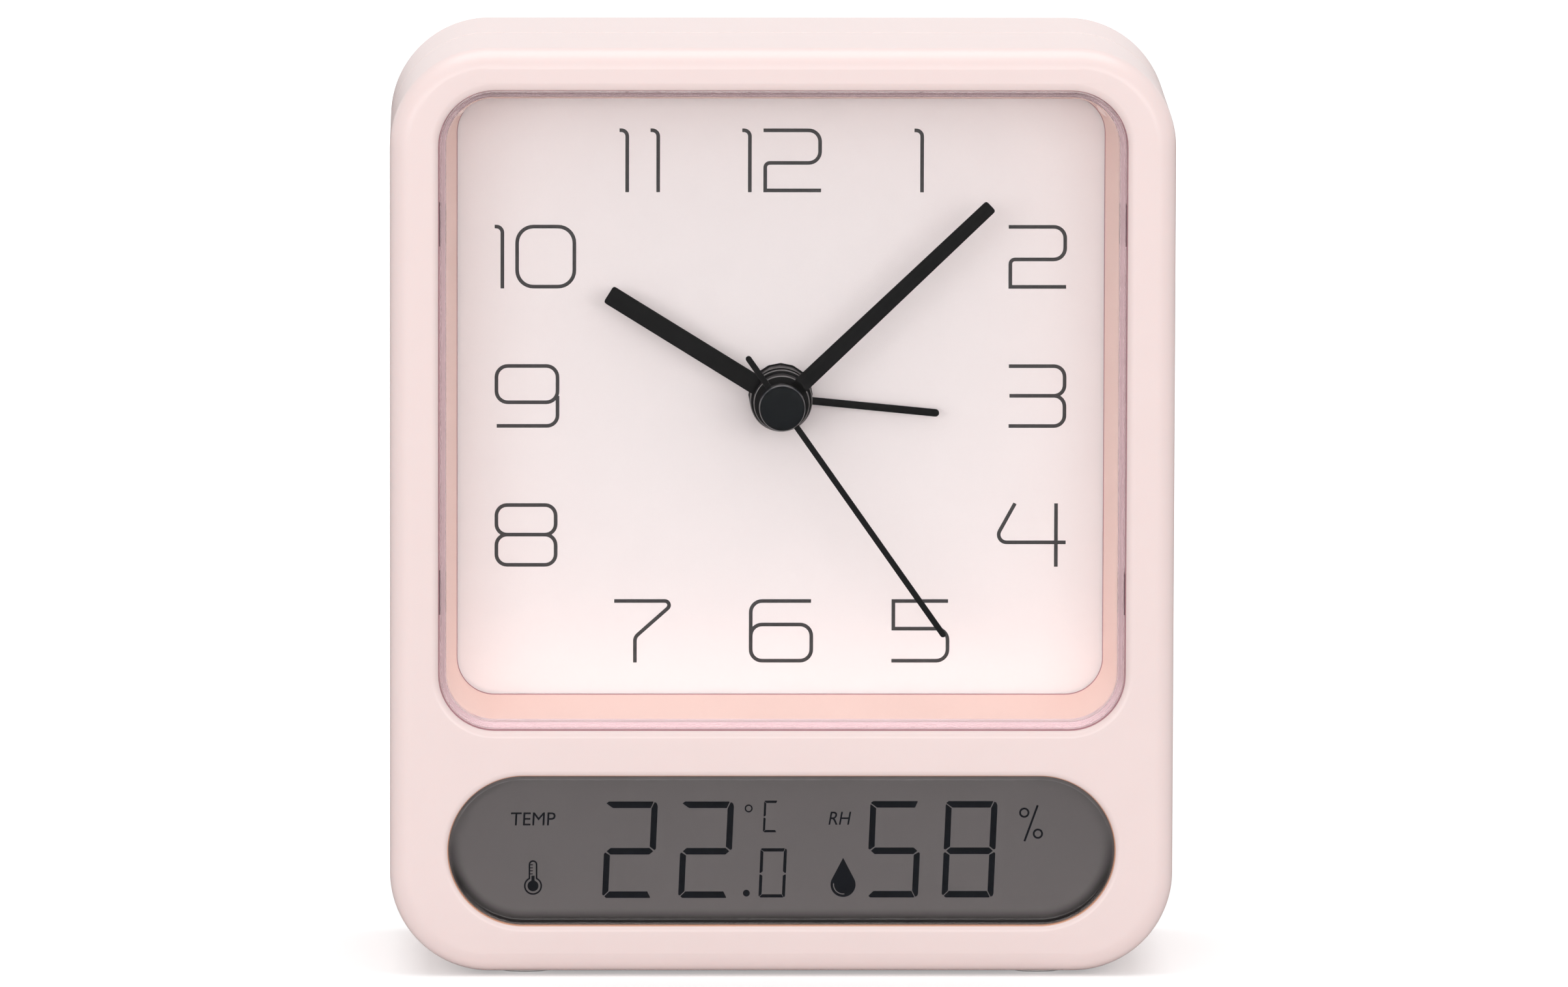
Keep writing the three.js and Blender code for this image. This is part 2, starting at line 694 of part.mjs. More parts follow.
function frontCase() {
  const shell = cut(
    stack([
      ...roundEdge(housing, FRONT_FILLET, frontY, 1),
      inset(housing, 0, seamY - SEAM_CHAMFER),
      inset(housing, SEAM_CHAMFER, seamY),
    ], 0, housingZ),
    stack([
      inset(housing, HOUSING_WALL, frontWallRear),
      inset(housing, HOUSING_WALL, seamY + BREAKOUT),
    ], 0, housingZ),
  );
  const well = stack([
    inset(opening, -WELL_WALL, frontWallRear - HOUSING_WALL / 2),
    inset(opening, -WELL_WALL, ledgeY + WELL_WALL),
    inset(wellMouth, -WELL_WALL, ledgeY + WELL_WALL),
    inset(wellFoot, -WELL_WALL, dialFront - SEAT_GAP),
  ], 0, handsHeight, WINDOW_CORNER_STEPS);
  const bosses = posts.flatMap((post) => [
    rod(POST_RADIUS, seamY - POST_LENGTH, seamY - SEAT_GAP, post.x, post.z, SMALL_ROUND_SIDES),
    postRib(post),
  ]);
  const mouth = stack([
    inset(opening, -WINDOW_LIP, frontY - BREAKOUT),
    ...roundEdge(opening, -WINDOW_LIP, frontY, 1, LIP_STEPS),
    inset(opening, 0, ledgeY),
  ], 0, handsHeight, WINDOW_CORNER_STEPS);
  const throat = stack([
    inset(wellMouth, 0, ledgeY - BREAKOUT),
    inset(wellMouth, 0, ledgeY),
    inset(wellFoot, 0, dialFront - SEAT_GAP),
    inset(wellFoot, 0, dialFront + BREAKOUT),
  ], 0, handsHeight, WINDOW_CORNER_STEPS);
  const displayMouth = stack([
    inset(displayOpening, -DISPLAY_LIP, frontY - BREAKOUT),
    ...roundEdge(displayOpening, -DISPLAY_LIP, frontY, 1, LIP_STEPS),
    inset(displayOpening, 0, frontWallRear + BREAKOUT),
  ], 0, displayHeight);
  const tabSlots = tabPlaces().map(({ side, z }) => block(
    about(side * lensWidth / 2, 2 * SLOT_DEPTH),
    [frontY + WINDOW_LIP, ledgeY - FIT_GAP],
    about(z, TAB_LENGTH + 2 * FIT_GAP),
  ));
  const pilotFront = seamY - SCREW_BITE - 2 * SCREW_RADIUS;
  const pilots = posts.map(({ x, z }) => (
    rod(SCREW_RADIUS + FIT_GAP, pilotFront, seamY + BREAKOUT, x, z, SMALL_ROUND_SIDES)
  ));
  return cut(
    joined(shell, well, ...bosses),
    mouth, throat, displayMouth, ...tabSlots, ...pilots, ...footRecesses(frontFootY),
  );
}

const knobRecess = {
  width: KNOB_SPACING + 2 * (KNOB_RADIUS + RECESS_MARGIN),
  height: 2 * (KNOB_RADIUS + RECESS_MARGIN),
  radius: RECESS_CORNER,
};
const knobFloorY = rearY - RECESS_FLOOR_DEPTH;
const switchZ = handsHeight + SWITCH_RISE;
const switchRecess = {
  width: SWITCH_WIDTH + SWITCH_TRAVEL + 2 * SWITCH_END_MARGIN,
  height: SWITCH_TALL + 2 * SWITCH_MARGIN,
  radius: SWITCH_CORNER,
};
const switchFloorY = rearY - SWITCH_RECESS_DEPTH;
const bayInner = { width: 2 * bayHalfWide, height: 2 * bayHalfTall, radius: BAY_CORNER };
const doorRecess = {
  width: 2 * (doorHalfWide + SEAT_GAP),
  height: 2 * (doorHalfTall + SEAT_GAP),
  radius: DOOR_CORNER,
};

function soundSlots() {
  return Array.from({ length: SOUND_SLOT_COUNT }, (_, k) => {
    const slot = { width: SOUND_SLOT_LENGTH, height: SLOT_WIDTH, radius: SLOT_WIDTH / 2 };
    const z = sounderZ + (k - (SOUND_SLOT_COUNT - 1) / 2) * SLOT_PITCH;
    return stack([
      inset(slot, 0, rearWallFront - BREAKOUT),
      inset(slot, 0, rearY + BREAKOUT),
    ], sounderX, z, SMALL_CORNER_STEPS);
  });
}

function ventSlots() {
  return Array.from({ length: VENT_COUNT }, (_, k) => {
    const slot = { width: VENT_LENGTH, height: SLOT_WIDTH, radius: SLOT_WIDTH / 2 };
    const z = BUTTON_HEIGHT + (k - (VENT_COUNT - 1) / 2) * SLOT_PITCH;
    return stack([
      inset(slot, 0, rearWallFront - BREAKOUT),
      inset(slot, 0, rearY + BREAKOUT),
    ], -buttonX, z, SMALL_CORNER_STEPS);
  });
}

const buttonTop = rearY - FIT_GAP;
const buttonFlangeFront = rearWallFront - BUTTON_RIM - FIT_GAP;
const buttonBoardRear = buttonFlangeFront - BUTTON_TRAVEL - FIT_GAP - BUTTON_CONTACT_HEIGHT;
const buttonRingFront = buttonBoardRear + SEAT_GAP;

function rearCase() {
  const shell = cut(
    stack([
      inset(housing, SEAM_CHAMFER, seamY),
      inset(housing, 0, seamY + SEAM_CHAMFER),
      ...roundEdge(housing, REAR_FILLET, rearY, -1).reverse(),
    ], 0, housingZ),
    stack([
      inset(housing, HOUSING_WALL, seamY - BREAKOUT),
      inset(housing, HOUSING_WALL, rearWallFront),
    ], 0, housingZ),
  );
  const tongueOuter = HOUSING_WALL + FIT_GAP;
  const tongueFront = seamY - TONGUE_HEIGHT;
  const tongueRear = seamY + TONGUE_HEIGHT;
  const tongue = cut(
    stack([
      inset(housing, tongueOuter, tongueFront),
      inset(housing, tongueOuter, seamY),
      inset(housing, HOUSING_WALL / 2, tongueRear),
    ], 0, housingZ),
    stack([
      inset(housing, tongueOuter + TONGUE_THICKNESS, tongueFront - BREAKOUT),
      inset(housing, tongueOuter + TONGUE_THICKNESS, tongueRear + BREAKOUT),
    ], 0, housingZ),
    ...posts.map(({ x, z }) => (
      rod(PILLAR_RADIUS + PILLAR_RELIEF, tongueFront - BREAKOUT, seamY, x, z, SMALL_ROUND_SIDES)
    )),
  );
  const pillars = posts.map(({ x, z }) => (
    rod(PILLAR_RADIUS, seamY, rearWallFront + BREAKOUT, x, z, SMALL_ROUND_SIDES)
  ));
  const bayBox = stack([
    inset(bayInner, -BAY_WALL, bayFloorY - BAY_WALL),
    inset(bayInner, -BAY_WALL, rearWallFront + BREAKOUT),
  ], 0, BAY_HEIGHT, SMALL_CORNER_STEPS);
  const doorFrame = stack([
    inset(doorRecess, -DOOR_FRAME_WALL, rearY - DOOR_FRAME_DEPTH),
    inset(doorRecess, -DOOR_FRAME_WALL, rearWallFront + BREAKOUT),
  ], 0, BAY_HEIGHT, SMALL_CORNER_STEPS);
  const knobBox = stack([
    inset(knobRecess, -RECESS_WALL, knobFloorY - RECESS_WALL),
    inset(knobRecess, -RECESS_WALL, rearWallFront + BREAKOUT),
  ], 0, handsHeight, WINDOW_CORNER_STEPS);
  const switchBox = stack([
    inset(switchRecess, -RECESS_WALL, switchFloorY - RECESS_WALL),
    inset(switchRecess, -RECESS_WALL, rearWallFront + BREAKOUT),
  ], 0, switchZ, SMALL_CORNER_STEPS);
  const sounderRing = tube(
    SOUNDER_RADIUS + FIT_GAP, SOUNDER_RADIUS + FIT_GAP + SOUNDER_RING_WALL,
    rearWallFront - SOUNDER_THICKNESS, rearWallFront + BREAKOUT, sounderX, sounderZ);
  const buttonRing = tube(
    BUTTON_DISH_RADIUS - BUTTON_RING_WALL, BUTTON_DISH_RADIUS,
    buttonRingFront, rearWallFront + BREAKOUT, buttonX, BUTTON_HEIGHT);
  const bayCut = stack([
    inset(bayInner, 0, bayFloorY),
    inset(bayInner, 0, rearY + BREAKOUT),
  ], 0, BAY_HEIGHT, SMALL_CORNER_STEPS);
  const doorCut = stack([
    inset(doorRecess, 0, rearY - DOOR_THICKNESS - FIT_GAP),
    inset(doorRecess, 0, rearY + BREAKOUT),
  ], 0, BAY_HEIGHT, SMALL_CORNER_STEPS);
  const trunnionHole = turnedAlongX([
    [0, -1], [DOOR_TRUNNION + FIT_GAP, -1], [DOOR_TRUNNION + FIT_GAP, 1], [0, 1],
  ].map(([radius, end]) => [radius, end * (doorHalfWide + SEAT_GAP + DOOR_TRUNNION_LENGTH)]),
  [0, doorPivotY, doorPivotZ], SMALL_ROUND_SIDES);
  const thumbNotch = rod(
    LATCH_WIDTH, rearY - DOOR_THICKNESS / 2, rearY + BREAKOUT,
    0, BAY_HEIGHT + doorHalfTall - LATCH_WIDTH / 2);
  const knobCut = stack([
    inset(knobRecess, 0, knobFloorY),
    inset(knobRecess, 0, rearY - RECESS_EDGE),
    inset(knobRecess, -RECESS_EDGE, rearY),
    inset(knobRecess, -RECESS_EDGE, rearY + BREAKOUT),
  ], 0, handsHeight, WINDOW_CORNER_STEPS);
  const switchCut = stack([
    inset(switchRecess, 0, switchFloorY),
    inset(switchRecess, 0, rearY + BREAKOUT),
  ], 0, switchZ, SMALL_CORNER_STEPS);
  const switchSlot = block(
    about(0, SWITCH_STEM_WIDTH + SWITCH_TRAVEL + 2 * SEAT_GAP),
    [switchFloorY - RECESS_WALL - BREAKOUT, rearY],
    about(switchZ, SWITCH_STEM_TALL + 2 * SEAT_GAP),
  );
  const shaftHoles = [axes.timeSet, axes.alarmSet].map(([x, z]) => (
    rod(SHAFT_RADIUS + RUNNING_GAP, knobFloorY - RECESS_WALL - BREAKOUT, rearY, x, handsHeight + z)
  ));
  const buttonCuts = [
    rod(BUTTON_RADIUS + FIT_GAP, rearWallFront - BREAKOUT, rearY, buttonX, BUTTON_HEIGHT),
    turned([
      [0, rearY - BUTTON_DISH_DEPTH], [BUTTON_RADIUS + BUTTON_RIM, rearY - BUTTON_DISH_DEPTH],
      [BUTTON_DISH_RADIUS, rearY], [BUTTON_DISH_RADIUS, rearY + BREAKOUT], [0, rearY + BREAKOUT],
    ], buttonX, BUTTON_HEIGHT),
  ];
  const screwHoles = posts.flatMap(({ x, z }) => [
    rod(SCREW_RADIUS + RUNNING_GAP, seamY - BREAKOUT, rearY, x, z, SMALL_ROUND_SIDES),
    rod(SCREW_HEAD_RADIUS + 2 * RUNNING_GAP, screwSeatY, rearY + BREAKOUT, x, z, HOLE_SIDES),
  ]);
  const boxes = [bayBox, doorFrame, knobBox, switchBox, sounderRing, buttonRing];
  return cut(
    joined(shell, tongue, ...pillars, ...boxes),
    bayCut, doorCut, trunnionHole, thumbNotch, knobCut, switchCut, switchSlot, ...shaftHoles,
    ...buttonCuts, ...screwHoles, ...soundSlots(), ...ventSlots(), ...footRecesses(rearFootY),
  );
}

// A self-tapping screw that points forwards from the seat of its domed head
function screw(seat, tip, radius, headRadius, headHeight) {
  return turned([
    [0, tip - radius], [radius, tip], [radius, seat], [headRadius, seat],
    [headRadius * HEAD_CROWN_SHARE, seat + headHeight], [0, seat + headHeight],
  ], 0, 0, SMALL_ROUND_SIDES);
}

// Window and dial

function lens() {
  const pane = inset(opening, FIT_GAP, lensFront);
  const cup = cut(
    stack([
      inset(pane, LENS_EDGE, lensFront),
      inset(pane, 0, lensFront + LENS_EDGE),
      inset(pane, 0, ledgeY - FIT_GAP),
    ], 0, handsHeight, WINDOW_CORNER_STEPS),
    stack([
      inset(pane, SKIRT_THICKNESS - FIT_GAP, lensFront + LENS_THICKNESS),
      inset(pane, SKIRT_THICKNESS - FIT_GAP, ledgeY + BREAKOUT),
    ], 0, handsHeight, WINDOW_CORNER_STEPS),
  );
  const tabRear = ledgeY - 2 * FIT_GAP;
  const tabs = tabPlaces().map(({ side, z }) => {
    const root = side * (lensWidth / 2 - SKIRT_THICKNESS / 2);
    const tip = side * (lensWidth / 2 - FIT_GAP + TAB_REACH);
    return block(
      [Math.min(root, tip), Math.max(root, tip)],
      [tabRear - TAB_HEIGHT, tabRear],
      about(z, TAB_LENGTH),
    );
  });
  return joined(cup, ...tabs);
}

const earX = MOVEMENT_SIZE / 2 + EAR_REACH / 2;
const earFront = trainY + EAR_LEVEL;
const earRear = earFront + EAR_THICKNESS;
const earZ = 0;

function dialPlate() {
  const edge = inset(wellFoot, -DIAL_MARGIN, dialFront);
  const sheet = stack([
    inset(edge, 0, dialFront),
    inset(edge, 0, dialRear),
  ], 0, 0, SMALL_CORNER_STEPS);
  const bosses = [-1, 1].map((side) => rod(
    DIAL_BOSS_RADIUS, dialRear - DIAL_THICKNESS / 2, earFront - FIT_GAP,
    side * earX, earZ, SMALL_ROUND_SIDES));
  const pilots = [-1, 1].map((side) => rod(
    EAR_SCREW_RADIUS + FIT_GAP, earFront - EAR_SCREW_BITE - 2 * EAR_SCREW_RADIUS, earFront + BREAKOUT,
    side * earX, earZ, SMALL_ROUND_SIDES));
  const notches = posts.map(({ x, z }) => rod(
    POST_RADIUS + SEAT_GAP, dialFront - BREAKOUT, dialRear + BREAKOUT,
    x, z - handsHeight, SMALL_ROUND_SIDES));
  const boreHole = rod(bossOuter + RUNNING_GAP, dialFront - BREAKOUT, dialRear + BREAKOUT);
  return cut(joined(sheet, ...bosses), boreHole, ...pilots, ...notches);
}

// Hands: each points to twelve about its own axis, and lies in front of its rear face

// A hub with a collar on its rear; a boss makes its full radius deeper
function hub(rearFace, radius, bore, boss = 0) {
  if (boss > COLLAR_HEIGHT) {
    return tube(bore, radius, rearFace - HAND_THICKNESS, rearFace + boss);
  }
  return turned([
    [bore, rearFace - HAND_THICKNESS], [radius, rearFace - HAND_THICKNESS],
    [radius, rearFace], [bore + COLLAR_WALL, rearFace],
    [bore + COLLAR_WALL, rearFace + COLLAR_HEIGHT], [bore, rearFace + COLLAR_HEIGHT],
  ]);
}

function pointer(outline, rearFace, bore) {
  return cut(
    plate(outline, rearFace - HAND_THICKNESS, rearFace),
    rod(bore, rearFace - HAND_THICKNESS - BREAKOUT, rearFace + BREAKOUT),
  );
}

// A bar hand with a root width, a tip width and softly broken tip corners
function barOutline(length, rootWidth, tipWidth) {
  const [root, tip] = [rootWidth / 2, tipWidth / 2];
  return [
    [-root, 0], [root, 0], [tip, length - HAND_CHAMFER], [tip - HAND_CHAMFER, length],
    [HAND_CHAMFER - tip, length], [-tip, length - HAND_CHAMFER],
  ];
}

// A thin hand with round ends, from a tail behind the axis to its tip
function roundOutline(length, width, tail) {
  const radius = width / 2;
  const arc = (middle, start) => Array.from({ length: HAND_TIP_STEPS + 1 }, (_, k) => {
    const angle = start + k / HAND_TIP_STEPS * Math.PI;
    return [radius * Math.cos(angle), middle + radius * Math.sin(angle)];
  });
  return [...arc(length - radius, 0), ...arc(radius - tail, Math.PI)];
}

function alarmHand() {
  const bore = alarmPipeOuter + PRESS_GAP;
  return joined(
    hub(alarmHandY, ALARM_HUB_RADIUS, bore),
    pointer(roundOutline(alarmHandLength, ALARM_HAND_WIDTH, 0), alarmHandY, bore + COLLAR_WALL / 2),
  );
}

function hourHand() {
  const bore = hourPipeOuter + PRESS_GAP;
  const outline = barOutline(hourHandLength, HOUR_HAND_WIDTH, HOUR_HAND_WIDTH);
  return joined(
    hub(hourHandY, HOUR_HUB_RADIUS, bore),
    pointer(outline, hourHandY, bore + COLLAR_WALL / 2),
  );
}

function minuteHand() {
  const bore = minutePipeOuter + PRESS_GAP;
  const outline = barOutline(minuteHandLength, MINUTE_HAND_ROOT, MINUTE_HAND_TIP);
  const boss = handPitch - HAND_THICKNESS - FIT_GAP - RUNNING_GAP;
  return joined(
    hub(minuteHandY, MINUTE_HUB_RADIUS, bore, boss),
    pointer(outline, minuteHandY, bore + COLLAR_WALL / 2),
  );
}

function secondHand() {
  const bore = ARBOR_RADIUS + PRESS_GAP;
  const outline = roundOutline(secondHandLength, SECOND_HAND_WIDTH, SECOND_TAIL_LENGTH);
  return joined(
    hub(secondHandY, SECOND_HUB_RADIUS, bore),
    pointer(outline, secondHandY, bore + COLLAR_WALL / 2),
  );
}

const capRear = secondHandY - HAND_THICKNESS - PRESS_GAP;

function secondCap() {
  const front = capRear - CAP_HEIGHT;
  const bore = ARBOR_RADIUS + PRESS_GAP;
  const dome = Array.from({ length: DOME_STEPS + 1 }, (_, k) => {
    const angle = k / DOME_STEPS * Math.PI / 2;
    return [
      CAP_RADIUS * (CAP_FLAT_SHARE + (1 - CAP_FLAT_SHARE) * Math.sin(angle)),
      front + CAP_HEIGHT * CAP_DOME_SHARE * (1 - Math.cos(angle)),
    ];
  });
  return turned([
    [0, front], ...dome, [CAP_RADIUS, capRear], [bore, capRear], [bore, capRear - CAP_SOCKET],
    [0, capRear - CAP_SOCKET],
  ]);
}

// Wheel train, each wheel about its own axis

const towardsThird = bearing(axes.centre, axes.third);
const towardsIntermediate = bearing(axes.centre, axes.intermediate);
const towardsMotion = bearing(axes.centre, axes.motion);
const towardsAlarmSet = bearing(axes.centre, axes.alarmSet);

function secondWheel() {
  const pinion = [trainY + THIRD_LEVEL - PINION_OVERHANG, trainY + SECOND_LEVEL];
  const direction = towardsIntermediate + Math.PI;
  const wheelPhase = meshPhase(PINION_TEETH, direction, direction, SECOND_TEETH);
  return joined(
    gear(PINION_TEETH, thirdModule, towardsThird, pinion, 0),
    gear(SECOND_TEETH, secondModule, wheelPhase, wheelSpan(SECOND_LEVEL), 0),
    rod(ARBOR_RADIUS, capRear - CAP_SOCKET + SEAT_GAP, movementRearInner - BEARING_HEIGHT + PIVOT_DEPTH,
      0, 0, SMALL_ROUND_SIDES),
  );
}

function thirdWheel() {
  const pinion = [trainY + CENTRE_LEVEL - PINION_OVERHANG, trainY + THIRD_LEVEL];
  const wheelPhase = meshPhase(PINION_TEETH, towardsThird, towardsThird, THIRD_TEETH);
  return joined(
    gear(PINION_TEETH, centreModule, towardsThird + Math.PI, pinion, 0),
    gear(THIRD_TEETH, thirdModule, wheelPhase, wheelSpan(THIRD_LEVEL), 0),
    rod(PIVOT_RADIUS, trainY - PIVOT_DEPTH, movementRearInner - BEARING_HEIGHT + PIVOT_DEPTH,
      0, 0, SMALL_ROUND_SIDES),
  );
}

// The centre wheel sits on the rear of the minute pipe by friction, as a slipping clutch
function centreWheel() {
  const direction = towardsThird + Math.PI;
  const phase = meshPhase(PINION_TEETH, direction, direction, CENTRE_TEETH);
  return gear(CENTRE_TEETH, centreModule, phase, wheelSpan(CENTRE_LEVEL), minutePipeOuter + PRESS_GAP);
}

function intermediateWheel() {
  const pinion = [trainY + SECOND_LEVEL - PINION_OVERHANG, trainY + INTERMEDIATE_LEVEL];
  const towardsRotor = bearing(axes.intermediate, axes.rotor);
  const direction = towardsRotor + Math.PI;
  const wheelPhase = meshPhase(ROTOR_PINION_TEETH, direction, direction, INTERMEDIATE_TEETH);
  const bore = STUD_RADIUS + FIT_GAP;
  return joined(
    gear(PINION_TEETH, secondModule, towardsIntermediate + Math.PI, pinion, bore),
    gear(INTERMEDIATE_TEETH, rotorModule, wheelPhase, wheelSpan(INTERMEDIATE_LEVEL), bore),
  );
}

const magnetFront = trainY + ROTOR_LEVEL;
const rotorPillarRear = trainY + INTERMEDIATE_LEVEL - 2 * PINION_OVERHANG - SEAT_GAP;
const rotorBearingFront = magnetFront + MAGNET_THICKNESS + SEAT_GAP;

function rotor() {
  const pinion = [trainY + INTERMEDIATE_LEVEL - PINION_OVERHANG, magnetFront];
  const towardsWheel = bearing(axes.rotor, axes.intermediate);
  return joined(
    gear(ROTOR_PINION_TEETH, rotorModule, towardsWheel, pinion, 0),
    rod(MAGNET_RADIUS, magnetFront, magnetFront + MAGNET_THICKNESS),
    rod(
      PIVOT_RADIUS, rotorPillarRear - PIVOT_DEPTH, rotorBearingFront + PIVOT_DEPTH,
      0, 0, SMALL_ROUND_SIDES),
  );
}

function minutePipe() {
  const pinion = pinionSpan(MOTION_LEVEL);
  const front = minuteHandY - HAND_THICKNESS - FIT_GAP;
  const rear = trainY + CENTRE_LEVEL + WHEEL_THICKNESS + PINION_OVERHANG;
  return joined(
    gear(MINUTE_PINION_TEETH, motionModule, towardsMotion, pinion, minutePipeInner),
    tube(minutePipeInner, minutePipeOuter, front, rear, 0, 0, SMALL_ROUND_SIDES),
  );
}

const motionPhase = meshPhase(MINUTE_PINION_TEETH, towardsMotion, towardsMotion, MOTION_TEETH);
const motionPinionPhase = towardsMotion + Math.PI;

function motionWheel() {
  const bore = STUD_RADIUS + FIT_GAP;
  const pinion = [trainY + HOUR_LEVEL - PINION_OVERHANG, trainY + MOTION_LEVEL];
  return joined(
    gear(MOTION_TEETH, motionModule, motionPhase, wheelSpan(MOTION_LEVEL), bore),
    gear(MOTION_PINION_TEETH, hourModule, motionPinionPhase, pinion, bore),
  );
}

function hourWheel() {
  const direction = towardsMotion + Math.PI;
  const phase = meshPhase(MOTION_PINION_TEETH, motionPinionPhase, direction, HOUR_TEETH);
  const span = wheelSpan(HOUR_LEVEL);
  const pipeFront = hourHandY - HAND_THICKNESS - FIT_GAP;
  return joined(
    gear(HOUR_TEETH, hourModule, phase, span, hourPipeInner),
    tube(hourPipeInner, hourPipeOuter, pipeFront, span[1], 0, 0, SMALL_ROUND_SIDES),
  );
}

function alarmWheel() {
  const span = wheelSpan(ALARM_LEVEL);
  const pipeFront = alarmHandY - HAND_THICKNESS - FIT_GAP;
  return joined(
    gear(ALARM_TEETH, alarmModule, towardsAlarmSet, span, alarmPipeInner),
    tube(alarmPipeInner, alarmPipeOuter, pipeFront, span[1], 0, 0, SMALL_ROUND_SIDES),
  );
}

const knobFront = knobFloorY + SEAT_GAP;

function setShaft(gearSolid) {
  const shoulder = trainY + ALARM_LEVEL;
  return joined(
    gearSolid,
    rod(PIVOT_RADIUS, trainY - PIVOT_DEPTH, shoulder + SEAT_GAP, 0, 0, SMALL_ROUND_SIDES),
    rod(SHAFT_RADIUS, shoulder, knobFront + KNOB_SOCKET - FIT_GAP, 0, 0, SMALL_ROUND_SIDES),
  );
}

function timeSetGear() {
  const direction = bearing(axes.motion, axes.timeSet);
  const phase = meshPhase(MOTION_TEETH, motionPhase, direction, SET_TEETH);
  return setShaft(gear(SET_TEETH, motionModule, phase, pinionSpan(MOTION_LEVEL), 0));
}

function alarmSetGear() {
  const phase = meshPhase(ALARM_TEETH, towardsAlarmSet, towardsAlarmSet, ALARM_SET_TEETH);
  return setShaft(gear(ALARM_SET_TEETH, alarmModule, phase, pinionSpan(ALARM_LEVEL), 0));
}

// A fluted knob with a broken rear edge and a socket for its shaft
function knob() {
  const ring = (scale, y) => Array.from({ length: 3 * KNOB_FLUTES }, (_, k) => {
    const angle = k / (3 * KNOB_FLUTES) * 2 * Math.PI;
    const radius = scale * (KNOB_RADIUS - (k % 3 === 0 ? KNOB_FLUTE_DEPTH : 0));
    return [radius * Math.cos(angle), y, radius * Math.sin(angle)];
  });
  const rear = knobFront + KNOB_HEIGHT;
  return cut(
    loft([ring(1, knobFront), ring(1, rear - KNOB_EDGE), ring(KNOB_EDGE_SHARE, rear)]),
    rod(
      SHAFT_RADIUS + PRESS_GAP, knobFront - BREAKOUT, knobFront + KNOB_SOCKET,
      0, 0, SMALL_ROUND_SIDES),
  );
}

// Movement case, about the hands' axis

const movementMiddle = -MOVEMENT_DROP;
const statorFront = magnetFront + (MAGNET_THICKNESS - STATOR_THICKNESS) / 2;
const coreFront = statorFront - FIT_GAP - CORE_THICKNESS;
const coilY = coreFront + CORE_THICKNESS / 2;
const movementRoom = MOVEMENT_SIZE / 2 - MOVEMENT_WALL - SEAT_GAP;
const coilZ = movementMiddle - movementRoom + COIL_FLANGE_RADIUS;
const circuitZ = movementMiddle + movementRoom - CIRCUIT_TALL / 2;
const circuitRear = movementRearInner - CIRCUIT_POST_HEIGHT;
const circuitFront = circuitRear - CIRCUIT_THICKNESS;
const circuitPosts = [-1, 1].map((side) => side * (CIRCUIT_WIDTH / 2 - CIRCUIT_POST_INSET));

function movementPlate() {
  const sheet = stack([
    inset(movement, MOVEMENT_EDGE, plateFront),
    inset(movement, 0, plateFront + MOVEMENT_EDGE),
    inset(movement, 0, trainY),
  ], 0, movementMiddle, SMALL_CORNER_STEPS);
  const bossFront = dialFront - BOSS_RISE;
  const boss = rod(bossOuter, bossFront, trainY - PLATE_THICKNESS / 2);
  const stud = rod(
    STUD_RADIUS, trainY - PLATE_THICKNESS / 2, trainY + CENTRE_LEVEL - SEAT_GAP,
    ...axes.motion, SMALL_ROUND_SIDES);
  const rotorPillar = rod(
    BEARING_RADIUS, trainY - PLATE_THICKNESS / 2, rotorPillarRear, ...axes.rotor, SMALL_ROUND_SIDES);
  const pivotHoles = [axes.third, axes.timeSet, axes.alarmSet].map(([x, z]) => rod(
    PIVOT_RADIUS + FIT_GAP, trainY - PIVOT_DEPTH - FIT_GAP, trainY + BREAKOUT, x, z, SMALL_ROUND_SIDES));
  const rotorHole = rod(
    PIVOT_RADIUS + FIT_GAP, rotorPillarRear - PIVOT_DEPTH - FIT_GAP, rotorPillarRear + BREAKOUT,
    ...axes.rotor, SMALL_ROUND_SIDES);
  const bossBore = rod(bossInner, bossFront - BREAKOUT, trainY + BREAKOUT);
  return cut(joined(sheet, boss, stud, rotorPillar), bossBore, ...pivotHoles, rotorHole);
}

